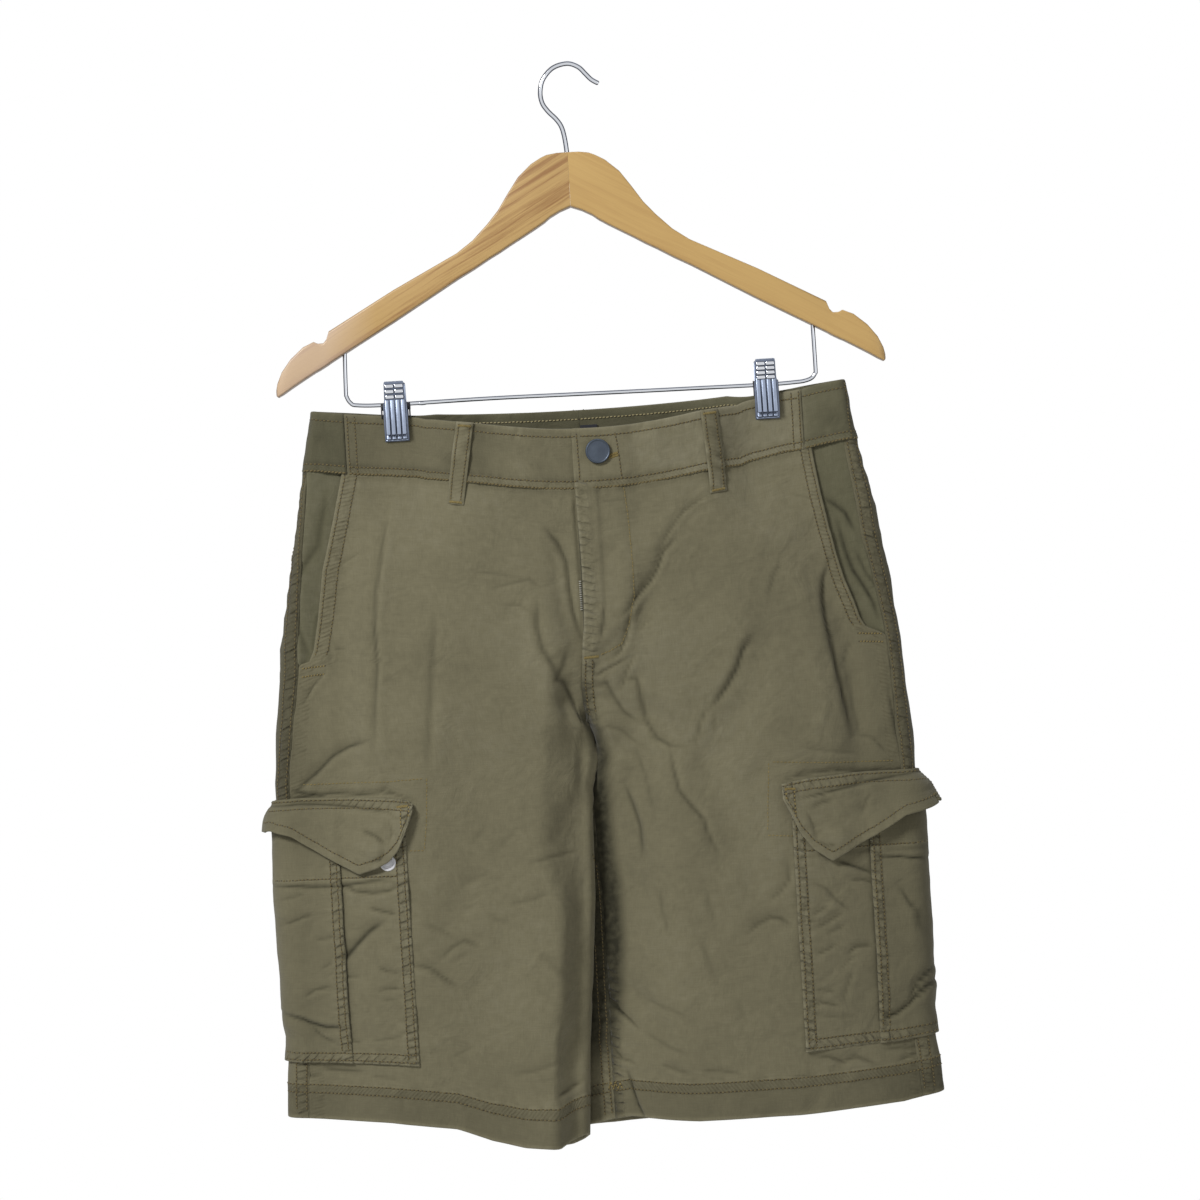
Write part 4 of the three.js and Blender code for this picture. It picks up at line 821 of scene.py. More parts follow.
backCreases = [
    ([(-16, -300), (-22, -330), (-30, -374)], 3.0, 1.4, 0.5),
    ([(6, -302), (14, -336), (18, -380)], 3.0, 1.3, -0.5),
    ([(-160, -298), (-150, -330), (-146, -356)], 2.6, 1.2, 0.5),
    ([(134, -298), (144, -330), (148, -362)], 2.6, 1.2, -0.5),
    ([(-30, -466), (-52, -480), (-78, -490), (-108, -506)], 3.6, 2.2, 0.5),
    ([(16, -466), (38, -480), (66, -490), (98, -508)], 3.6, 2.2, -0.5),
    ([(-22, -492), (-40, -516), (-66, -540), (-88, -556)], 3.6, 2.0, 0.5),
    ([(8, -492), (30, -518), (54, -542), (78, -558)], 3.6, 2.0, -0.5),
    ([(-130, -560), (-116, -590), (-96, -622), (-92, -660)], 4.4, 1.4, 0.5),
    ([(112, -560), (100, -596), (84, -630), (82, -664)], 4.4, 1.4, -0.5),
    ([(-70, -618), (-96, -640), (-122, -652)], 3.4, 1.3, 0.4),
    ([(50, -626), (74, -646), (108, -660)], 3.4, 1.3, -0.4),
    ([(-190, -424), (-204, -450), (-214, -496)], 2.8, 1.7, -0.5),
    ([(172, -424), (186, -452), (196, -498)], 2.8, 1.7, 0.5),
    ([(-46, -676), (-54, -704), (-60, -736)], 3.2, 1.4, 0.4),
    ([(40, -684), (50, -712), (54, -740)], 3.2, 1.4, -0.4),
    ([(-96, -378), (-112, -406), (-128, -444)], 5.0, 1.1, 0.4),
    ([(76, -382), (94, -410), (110, -446)], 5.0, 1.1, -0.4),
    ([(-150, -700), (-120, -716), (-90, -722)], 3.0, 1.1, 0.4),
    ([(90, -706), (120, -718), (150, -722)], 3.0, 1.1, 0.4),
]
# The fly's curved row of stitches
jStitch = [(21.5, -299), (24, -330), (25.3, -365), (25, -389), (20, -410), (14, -423), (4, -428),
           (-4, -430.8)]


# Where a cargo pocket covers the panel, which lies flat there.
def underPocket(side, grid):
    edge = pockets[side]["edge"]
    out = np.abs(grid["x"])
    return smooth((out - edge + 2) / 8) * smooth((-536 - grid["level"]) / 8) \
        * smooth((grid["level"] - pockets[side]["low"] + 2) / 8)


# The hem is roped: slanting tucks between its two rows and below them.
def hemTucks(grid, seed, high):
    below = panels["hemRow"] - grid["level"]
    waved = tucks(below, grid["s"], high, 8, 9, 8.5, seed, 0.9)
    waved += tucks(1 - below, grid["s"], 0.7 * high, 1, 6, 10, seed + 20, 0.5)
    return waved * smooth((grid["level"] + 772) / 10)


# Height, fading with painted light and shade, ribs and pads of a panel. seams hold: distance in from the
# edge, height, reach and pitch of its tucks, width of the sewn strip, strength of its ribs and of its pads.
def panelHeight(side, grid, seams, lines, seed):
    x, z, level = grid["p"][..., 0], grid["p"][..., 2], grid["level"]
    height, shade = creaseLines(lines, x, z)
    calm = (1 - pinch(grid["x"], level)) * smooth((-284 - level) / 14)
    calm = calm * (1 - 0.92 * underPocket(side, grid))
    atSide = smooth((np.abs(grid["n"][..., 0]) - 0.55) / 0.3)
    height = (height + softness(grid, seed) * (1 - 0.8 * atSide)) * calm
    # raised cloth is painted lighter and low cloth darker, and the creases get painted shade
    wearAndShade = np.clip(0.05 * height, -0.04, 0.12) - 0.17 * shade * calm
    ribs, pads = np.zeros(x.shape), np.zeros(x.shape)
    for k, (away, high, reach, pitch, strip, ribbed, padded) in enumerate(seams):
        wave = tucks(away, level, 1.0, strip, reach, pitch, seed + 40 + k)
        inside = smooth((away - 0.6) / 1.2) * (1 - smooth((away - strip + 0.8) / 1.6)) \
            * np.clip(2 * high, 0, 1)
        rows = np.exp(-((away - 1.9) / 0.9) ** 2) + np.exp(-((away - strip + 1.4) / 0.9) ** 2)
        height += high * wave - 0.3 * rows * (high > 0.01)
        # the tucks get painted light on their tops and painted shade between them
        wearAndShade += 0.15 * high * wave + 0.04 * inside
        ribs = np.maximum(ribs, ribbed * inside)
        pads = np.maximum(pads, padded * inside)
    waved = hemTucks(grid, seed + 90, 1.1)
    top = tucks(-285 - level, grid["s"], 0.6, 1, 7, 8, seed + 95) * (level < -284)
    height += waved + top
    # painted light and shade on the hem's tucks and those under the band, a paler rubbed fold at the hem and
    # a paler line at its row, painted shadow under the band, and painted shade round the side and on the hem
    wearAndShade += 0.2 * waved + 0.15 * top + 0.5 * np.exp(-((level + 768) / 1.7) ** 2)
    wearAndShade += 0.14 * np.exp(-((level + 741) / 1.4) ** 2) - 0.2 * np.exp(-((level + 286) / 2.2) ** 2)
    wearAndShade += paintedSideShade(x) - 0.26 * smooth((-738 - level) / 5)
    hemmed = smooth((-741.5 - level) / 1.5) * (1 - smooth((-748.5 - level) / 1.5))
    return height, wearAndShade, np.where(ribs > 0.1, ribs, -0.4 * hemmed), pads


# Below the crotch no point of a leg crosses over to the other leg.
def keepToSide(side, points):
    sign = 1 if side == "left" else -1
    least = look(innerEnds[side], panelLevels, 1)[:, None] + 0.1
    out = (points[..., 0] - shorts["centreX"]) * sign
    kept = np.where(panelLevels[:, None] > panels["apartZ"], out, np.maximum(out, least))
    points[..., 0] = shorts["centreX"] + sign * kept


def panelFrom(half, side, grid, lift, relief):
    height, wearAndShade, ribs, pads = relief
    points = grid["p"] + grid["n"] * (height + lift)[..., None]
    keepToSide(side, points)
    uv = np.stack([grid["s"], grid["level"]], -1)
    piece = sheetFrom(half + side.capitalize(), points, uv, wearAndShade, shorts["cloth"], twill, ribs, pads)
    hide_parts(f"{half}_{side}")
    return piece


def frontPanel(side):
    gap = panels["gap"]
    lifts = {}

    def columns(z):
        m = marksAt(side, z)
        first, last = m["first"] + gap, m["mouth"] - gap
        if side == "left" and z > shorts["crotchZ"]:
            first -= 1.2
        s = spread([(first, 7), (first + 10, 19), (first + 38, 64), (last - 14, 12), (last, 0)])
        s, lifts["columns"] = withTurned(s, side == "left" or z < -430, True)
        if side == "right" and z >= -430:
            s = np.concatenate([np.linspace(first - 0.01, first, 6), s])
            lifts["columns"] = np.concatenate([np.zeros(6), lifts["columns"]])
        return s

    grid = layGrid(side, panelLevels, columns)
    marks = [marksAt(side, z) for z in panelLevels]
    fromFirst = grid["s"] - np.array([m["first"] for m in marks])[:, None]
    fromMouth = np.array([m["mouth"] for m in marks])[:, None] - grid["s"]
    level = grid["level"]
    swing = np.interp(-level, -seamSwing[:, 0], seamSwing[:, 1])
    follows = 1 if side == "left" else smooth((-412 - level) / 20)
    front = (1 - grid["back"]) ** 2
    grid["p"][..., 0] += swing * follows * (1 - smooth((np.maximum(fromFirst, 0) - 8) / 46)) * front
    lift = panelLifts[:, None] + lifts["columns"][None, :]
    open_ = level > fly["bottomZ"]
    sewn = smooth((-426 - level) / 8) * smooth((level + 482) / 10)
    inseam = smooth((-640 - level) / 30)
    crotchPull = 1.4 * sewn + 0.8 * inseam
    if side == "right":
        crotchPull = 0.2 * sewn + 0.6 * inseam
    mouthPull = np.where(open_, 0.7, 0.3)
    strip = 11.5 if side == "right" else 9
    seams = [(fromFirst, crotchPull, 6, 5.4, 8.5, 0.15, 0.9 if side == "left" else 0.3),
             (fromMouth, mouthPull, 6, 6.2, strip, 0.45, 0.2)]
    height, wearAndShade, ribs, pads = panelHeight(side, grid, seams, frontCreases[side],
                                           11 if side == "right" else 23)
    if side == "left":
        x = grid["p"][..., 0]
        away, t = fromLine(x, grid["p"][..., 2], jStitch)
        placket = smooth((fly["placketX"] + 1 - x) / 2.2) * smooth((level + 412) / 14)
        edgeTucks = tucks(fromFirst, level, 1.2 * open_, 6, 7, 5.4, 78, 0.5)
        rowTucks = tucks(np.abs(away), t, 0.8, 1, 5, 7, 77) * smooth((-290 - level) / 10)
        height += flyRaise(grid["x"], level) + rowTucks + edgeTucks + 1.2 * placket
        height -= 0.35 * np.exp(-(away / 1.1) ** 2)
        # the fly's edge is paler where rubbed; the tucks get painted light on their tops and painted shade
        # between them
        wearAndShade += 0.35 * np.exp(-(fromFirst / 0.7) ** 2) * open_ + 0.24 * edgeTucks + 0.2 * rowTucks
        # painted shade along the groove of the curved row, and a line of painted shade at the placket's step
        wearAndShade -= 0.12 * np.exp(-(away / 1.0) ** 2)
        wearAndShade -= 0.1 * np.exp(-((x - 4.2) / 1.6) ** 2) * (level > -400)
        # painted shadow: the cloth beside the other leg is darkened where that leg's shadow falls
        shaded = np.interp(level, (-735, -700, -640, -500, -440), (4, 10, 17, 13, 4))
        wearAndShade -= 0.95 * (1 - smooth((fromFirst - shaded + 9) / 14)) * smooth((-436 - level) / 20)
        onFly = open_ & (fromFirst < 14)
        pads = np.where(onFly, 0.75 * smooth((12 - fromFirst) / 6), pads)
        ribs = np.where(onFly, 0, ribs)
        lift = lift + 0.6 * smooth((-420 - level) / 12) * smooth((level + 500) / 16) \
            * (1 - smooth((fromFirst - 6) / 6))
    gape = 1.5 * smooth((level + 428) / 30) * smooth((-292 - level) / 40)
    height += gape * np.exp(-fromMouth / 9)
    wearAndShade += 0.12 * np.exp(-np.abs(fromMouth) / 1.0) * open_
    # painted shade under the mouth's foot and towards the side
    mouthFootShade = smooth((-436 - level) / 20) * smooth((level + 520) / 30)
    wearAndShade -= 0.16 * smooth((18 - fromMouth) / 26) * mouthFootShade
    return panelFrom("front", side, grid, lift, (height, wearAndShade, ribs, pads))


def backPanel(side):
    gap = panels["gap"]
    lifts = {}

    def columns(z):
        m = marksAt(side, z)
        first, last = m["sideSeam"] + gap, m["last"] - gap
        if z > shorts["crotchZ"]:
            last += 0.8
        s = spread([(first, 9), (first + 12, 12), (m["sideEnd"] + 8, 46), (last - 10, 6), (last, 0)])
        s, lifts["columns"] = withTurned(s, True, True)
        return s

    grid = layGrid(side, panelLevels, columns)
    marks = [marksAt(side, z) for z in panelLevels]
    fromSeam = grid["s"] - np.array([m["sideSeam"] for m in marks])[:, None]
    fromLast = np.array([m["last"] for m in marks])[:, None] - grid["s"]
    lift = panelLifts[:, None] + lifts["columns"][None, :]
    full = np.ones(fromSeam.shape)
    seams = [(fromSeam, 0.4 * full, 3, 6.2, 9, 0.4, 1.0), (fromLast, 0.8 * full, 8, 7, 8, 0.3, 0.5)]
    height, wearAndShade, ribs, pads = panelHeight(side, grid, seams, backCreases, 35 if side == "right" else 47)
    if side == "left":
        # painted shadow where the cloth meets the other leg
        shadow = smooth((-436 - grid["level"]) / 20) * smooth((grid["level"] + 735) / 30)
        wearAndShade -= 0.95 * (1 - smooth((fromLast - 14) / 16)) * shadow
    # painted shade beside the side seam, deeper on the right
    deeper = 0.16 if side == "left" else 0.45
    wearAndShade -= deeper * (1 - smooth((fromSeam - 8) / 30)) * smooth((grid["level"] + 720) / 50)
    return panelFrom("back", side, grid, lift, (height, wearAndShade, ribs, pads))


cloths = {}
for side in ("right", "left"):
    cloths["front", side] = frontPanel(side)
    cloths["back", side] = backPanel(side)
print("panels made")


facingFolds = {
    "right": [
        ([(-195, -300), (-203, -338), (-212, -350), (-220, -362)], 4.2, 1.6, 0.5),
        ([(-222, -380), (-220, -400), (-214, -420)], 3.0, 1.5, 0.4),
        ([(-204, -384), (-208, -398), (-211, -416)], 3.0, 1.2, -0.4),
    ],
    "left": [
        ([(166, -326), (174, -331), (182, -338), (188, -352)], 3.2, 2.2, 0.5),
        ([(176, -344), (180, -364), (185, -380), (192, -392), (198, -404), (201, -416)], 3.2, 2.4, 0.6),
        ([(188, -366), (194, -382), (203, -396)], 2.6, 1.4, 0.5),
    ],
}


facingCloth = 1.1


# The facing lies behind the pocket mouth and comes forward to the side seam.
def pocketFacing(side):
    levels = spread([(-279.5, 2), (-283.2, 1), (-284.2, 60), (-444.0, 0)])

    def columns(z):
        m = marksAt(side, z)
        edge = m["mouth"] if z > -430 else m["sideSeam"] - 3
        last = m["sideSeam"] - panels["gap"]
        return withTurned(spread([(edge - 14, 8), (edge - 2, 16), (last - 0.6, 1), (last, 0)]),
                          False, True)[0]

    grid = layGrid(side, levels, columns)
    turned = withTurned(np.zeros(26), False, True)[1]
    m = [marksAt(side, z) for z in levels]
    edge = np.array([k["mouth"] for k in m])[:, None]
    last = np.array([k["sideSeam"] for k in m])[:, None]
    forward = smooth((grid["s"] - edge - 2.2) / np.maximum(last - edge - 2.2, 2))
    sunk = -2.5 * (1 - forward * smooth((grid["level"] + 430) / 4))
    fromSeam = last - grid["s"]
    wave = pucker(fromSeam - 1, grid["level"], 0.2, 8, 7, 61 + len(side))
    fold, shade = creaseLines(facingFolds[side], grid["p"][..., 0], grid["p"][..., 2])
    height = sunk + turned + 0.5 * softness(grid, 63) + (wave + fold) * forward
    # painted light on the right facing; the puckers and folds get painted light on their tops and painted
    # shade in their creases, and the seam's edge is paler where rubbed
    wearAndShade = (0.14 if side == "right" else 0) + 0.5 * wave + 0.1 * np.exp(-np.abs(fromSeam) / 1.5) \
        + 0.07 * fold - 0.2 * shade
    points = grid["p"] + grid["n"] * height[..., None]
    uv = np.stack([grid["s"], grid["level"]], -1)
    piece = sheetFrom("facing" + side.capitalize(), points, uv, wearAndShade, facingCloth, twillInside)
    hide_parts(f"pocket_facing_{side}")
    return piece


for side in ("right", "left"):
    cloths["facing", side] = pocketFacing(side)

band = {"lift": 0.62, "cloth": 1.05, "seamRight": 171.0, "seamLeft": 163.0}
bandRows = [(z, band["lift"]) for z in spread([(-284.5, 2), (-283.0, 22), (-241.7, 0)])]
bandRows += [(-241.05, 0.46), (-240.75, 0.0), (-241.05, -0.46)]
bandRows += [(z, -band["lift"]) for z in np.linspace(-241.7, -283.4, 14)]
bandLevels = np.array([z for z, _ in bandRows])
bandLift = np.array([h for _, h in bandRows])[:, None]


# Parts of a band side by side, each with its side, its columns and whether they are turned round.
def joinGrids(parts):
    grids = []
    for side, columnsOf, reverse in parts:
        grid = layGrid(side, bandLevels, columnsOf)
        grid["u"] = grid["s"] if side == "left" else -grid["s"]
        grids.append({k: v[:, ::-1] if reverse else v for k, v in grid.items()})
    return {k: np.concatenate([g[k] for g in grids], 1) for k in grids[0]}


def bandFrom(name, grid, lift, seed, replaced):
    top = grid["level"] + 246.6
    low = grid["level"] + 280
    run = grid["u"]
    calm = 1 - pinch(grid["x"], grid["level"])
    waved = pucker(top, run, 0.4, 6, 7.5, seed) + pucker(low, run, 0.5, 7, 7, seed + 3)
    waved = waved + 0.9 * latticeNoise(run, grid["level"] * 1.6, 24, seed + 5) \
        + 0.4 * latticeNoise(run + 0.5 * grid["level"], grid["level"], 9, seed + 6)
    waved = waved * calm * np.where(bandLift > -0.4, 1, 0.6)
    level = grid["level"]
    shown = bandLift > 0
    # the puckers get painted light on their tops and painted shade between them; the top edge is paler where
    # rubbed
    wearAndShade = 0.16 * waved + np.where(shown, 0.2, 0.1) * np.exp(-((level + 240.8) / 1.6) ** 2)
    # the low edge is paler where rubbed; painted shade on the band's inner layer and round the side
    wearAndShade = wearAndShade + 0.12 * np.exp(-((level + 284.3) / 1.2) ** 2) - 0.22 * ~shown \
        + 0.8 * paintedSideShade(grid["p"][..., 0])
    # painted shade along the low row
    wearAndShade -= 0.2 * np.exp(-((low - 2.8) / 1.6) ** 2)
    x = grid["p"][..., 0]
    # painted light on the band's left front and painted shade on its right front
    wearAndShade += 0.2 * smooth((x - 20) / 60) * smooth((170 - x) / 30) - 0.22 * smooth((-40 - x) / 60)
    ribs = np.where(shown, -0.35 * smooth((-278.8 - level) / 1.2) * smooth((level + 283.6) / 1.2), 0)
    points = grid["p"] + grid["n"] * (waved + lift + bandLift)[..., None]
    uv = np.stack([run, grid["level"]], -1)
    # the back band takes the darker twill, painted shade
    material = twillShade if name == "waistbandBack" else twill
    piece = sheetFrom(name, points, uv, wearAndShade, band["cloth"], material, ribs)
    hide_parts(replaced)
    return piece


def frontX(side, xs):
    return lambda z: alongFront(sectionAt(side, z), xs)


bandRightX = spread([(0.2, 60), (120, 30), (band["seamRight"] - 0.12, 0)])
rightBand = joinGrids([("left", frontX("left", spread([(26, 8), (0.3, 0)])), False),
                       ("right", frontX("right", bandRightX), False)])
cloths["band", "right"] = bandFrom("waistbandFrontRight", rightBand, 0.0, 301,
                                   "waistband_front_right")
bandLeftX = spread([(0.2, 22), (44, 38), (124, 20), (band["seamLeft"] - 0.12, 0)])
leftBand = joinGrids([("right", frontX("right", np.array([6.2, 4.6, 2.3])), False),
                      ("left", frontX("left", bandLeftX), False)])
leftLift = flyRaise(np.where(leftBand["x"] < 0, 0, leftBand["x"]), leftBand["level"])
cloths["band", "left"] = bandFrom("waistbandFrontLeft", leftBand, leftLift, 311,
                                  "waistband_front_left")


def backHalf(side, seam):
    def columns(z):
        m = marksAt(side, z)
        start = float(alongFront(m["section"], seam)) + 0.12
        return spread([(start, 12), (m["sideStart"], 8), (m["sideEnd"], 84), (m["last"], 0)])
    return columns


backBand = joinGrids([("right", backHalf("right", band["seamRight"]), False),
                      ("left", backHalf("left", band["seamLeft"]), True)])
cloths["band", "back"] = bandFrom("waistbandBack", backBand, 0.0, 321, "waistband_back")
print("waistband made")

# places hold: place out from the middle, how far the loop leans on its way down, whether it is
# on the back
beltLoops = {
    "width": 11.8, "cloth": 1.5, "length": 61.0, "levels": 44,
    "places": ((-82.5, -10, False), (94, 3.5, False), (104, 2, True), (0, 0, True), (-104, -2, True)),
}


def loopCentre(x, lean, level):
    return abs(x + lean * (-240.8 - level) / beltLoops["length"])


def makeBeltLoop(number, x, lean, onBack):
    side = "left" if x > 0 else "right"
    levels = np.linspace(-240.2, -240.8 - beltLoops["length"], beltLoops["levels"])
    across = np.array([-0.5, -0.46, -0.36, -0.2, 0, 0.2, 0.36, 0.46, 0.5])
    along = alongBack if onBack else alongFront
    wide = beltLoops["width"]
    if x == 0:
        xs = np.abs(across) * wide
        grid = layGrid("left", levels, lambda z: along(sectionAt("left", z), xs))
        grid["p"][..., 0] = np.where(across < 0, 2 * shorts["centreX"] - grid["p"][..., 0],
                                     grid["p"][..., 0])
        grid["n"][..., 0] *= np.where(across < 0, -1, 1)
    else:
        grid = layGrid(side, levels,
                       lambda z: along(sectionAt(side, z), loopCentre(x, lean, z) + across * wide))
    down = np.linspace(0, 1, len(levels))[:, None]
    lift = np.interp(down, [0, 0.03, 0.1, 0.45, 0.72, 0.9, 0.97, 1],
                     [1.7, 1.9, 2.1, 2.8, 2.7, 1.9, 1.65, 1.5])
    rounded = -0.35 * (np.abs(across) * 2) ** 6
    uneven = latticeNoise(grid["level"] + 0.6 * grid["s"], grid["s"] * 0.5, 4.5, 400 + number)
    relief = 0.3 * np.cos(across * 2 * math.pi * 1.5) + 0.7 * uneven
    points = grid["p"] + grid["n"] * (lift + rounded + relief)[..., None]
    # the edges and ends are paler where rubbed; raised bumps are painted lighter and low ones darker, with
    # painted shade along the two rows
    wearAndShade = 0.08 * (np.abs(across) > 0.44) + 0.2 * (down > 0.97) + 0.2 * (down < 0.03) \
        + 0.24 * uneven - 0.16 * np.exp(-((np.abs(across) - 0.3) / 0.07) ** 2)
    ribs = 0.2 * (np.abs(across) < 0.42) + 0 * down
    uv = np.stack([grid["s"], grid["level"]], -1)
    piece = sheetFrom(f"beltLoop{number}", points, uv, wearAndShade, beltLoops["cloth"], twill, ribs)
    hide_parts(f"belt_loop_{number}")
    return piece


for number, place in enumerate(beltLoops["places"], 1):
    cloths["loop", number] = makeBeltLoop(number, *place)
print("belt loops made")


# Where a cargo pocket's ends and its pleat lie along the section of a level.
def pocketMarks(side, z):
    m = marksAt(side, z)
    edge = pockets[side]["edge"]
    m["from"] = float(alongFront(m["section"], edge))
    m["pleatFrom"] = float(alongFront(m["section"], pockets["pleatX"]))
    m["pleatTo"] = float(alongBack(m["section"], pockets["pleatX"]))
    m["to"] = float(alongBack(m["section"], edge))
    return m


# How far a pocket stands off the leg, by the distance in from its end.
def pocketLift(side, z, edge, pleat):
    across = smooth(edge / 42)
    down = smooth((z - pockets[side]["low"]) / 36) \
        * (0.35 + 0.65 * smooth((pockets["topZ"] - z) / 30))
    return pockets["stand"] + pockets["puff"] * across * down + pockets["pleatRaise"] * pleat


# Across the pocket: plain cloth, a fold back under the pleat, the pleat, and the same again.
pleatFold = {"under": 9.0, "gape": 0.9}
pocketWrinkles = {
    "right": [
        ([(-169, -613), (-180, -620), (-190, -630), (-200, -641)], 4.2, 2.9, -0.4),
        ([(-179, -602), (-170, -605), (-159, -608)], 2.3, 2.0, 0.5),
        ([(-197, -585), (-188, -590), (-176, -592), (-165, -591), (-155, -588)], 2.4, 2.2, 0.5),
        ([(-244, -583), (-222, -585), (-200, -586), (-180, -583), (-156, -580)], 1.9, 1.8, -0.7),
        ([(-241, -594), (-226, -590)], 1.9, 1.1, 0.4), ([(-219, -624), (-204, -622)], 1.8, 1.2, 0.4),
        ([(-240, -612), (-228, -607), (-220, -606)], 2.0, 1.7, 0.5),
        ([(-216, -645), (-207, -641)], 1.8, 1.0, 0.4),
        ([(-175, -645), (-168, -649), (-159, -650)], 1.9, 1.6, 0.5),
        ([(-176, -663), (-168, -661), (-159, -662)], 1.8, 1.5, 0.5),
        ([(-200, -652), (-188, -651)], 1.8, 1.0, 0.4),
        ([(-173, -669), (-160, -670)], 1.8, 0.9, 0.4),
        ([(-231, -665), (-222, -660), (-209, -658)], 2.2, 1.6, 0.4),
        ([(-242, -676), (-228, -683), (-215, -687), (-200, -687)], 2.3, 2.9, -0.5),
        ([(-226, -686), (-220, -693), (-209, -699)], 1.8, 1.4, -0.5),
        ([(-200, -698), (-190, -700)], 1.8, 1.1, 0.4),
        ([(-183, -699), (-160, -696)], 1.9, 1.1, 0.4),
    ],
    "left": [
        ([(158, -589), (170, -594), (184, -600)], 2.6, 2.4, 0.5),
        ([(168, -604), (176, -604), (184, -607)], 1.9, 1.5, 0.5),
        ([(188, -588), (205, -589), (223, -592)], 1.9, 2.2, -0.6),
        ([(139, -603), (149, -608), (156, -617), (166, -626)], 2.3, 1.1, 0.4),
        ([(139, -627), (150, -621)], 2.2, 1.4, 0.5), ([(141, -637), (152, -631), (162, -626)], 2.6, 1.7, 0.5),
        ([(148, -641), (162, -636)], 2.2, 1.1, 0.4), ([(139, -656), (149, -652), (156, -648)], 1.9, 1.6, 0.5),
        ([(162, -657), (169, -652), (181, -652)], 2.2, 2.1, 0.5),
        ([(156, -668), (162, -662), (168, -658)], 2.0, 1.0, 0.4),
        ([(166, -669), (161, -680), (158, -692)], 2.4, 1.3, -0.6),
        ([(138, -681), (152, -683)], 1.9, 1.3, 0.4),
        ([(131, -696), (140, -690), (155, -694)], 1.9, 1.7, 0.4),
        ([(139, -700), (155, -702), (166, -702)], 1.8, 1.0, 0.4),
        ([(224, -680), (214, -688), (206, -697), (197, -703), (184, -707)], 2.3, 3.0, -0.5),
        ([(222, -671), (213, -681), (207, -692)], 1.9, 2.2, -0.5),
        ([(204, -612), (214, -630), (216, -648)], 2.6, 1.4, 0.4),
    ],
}


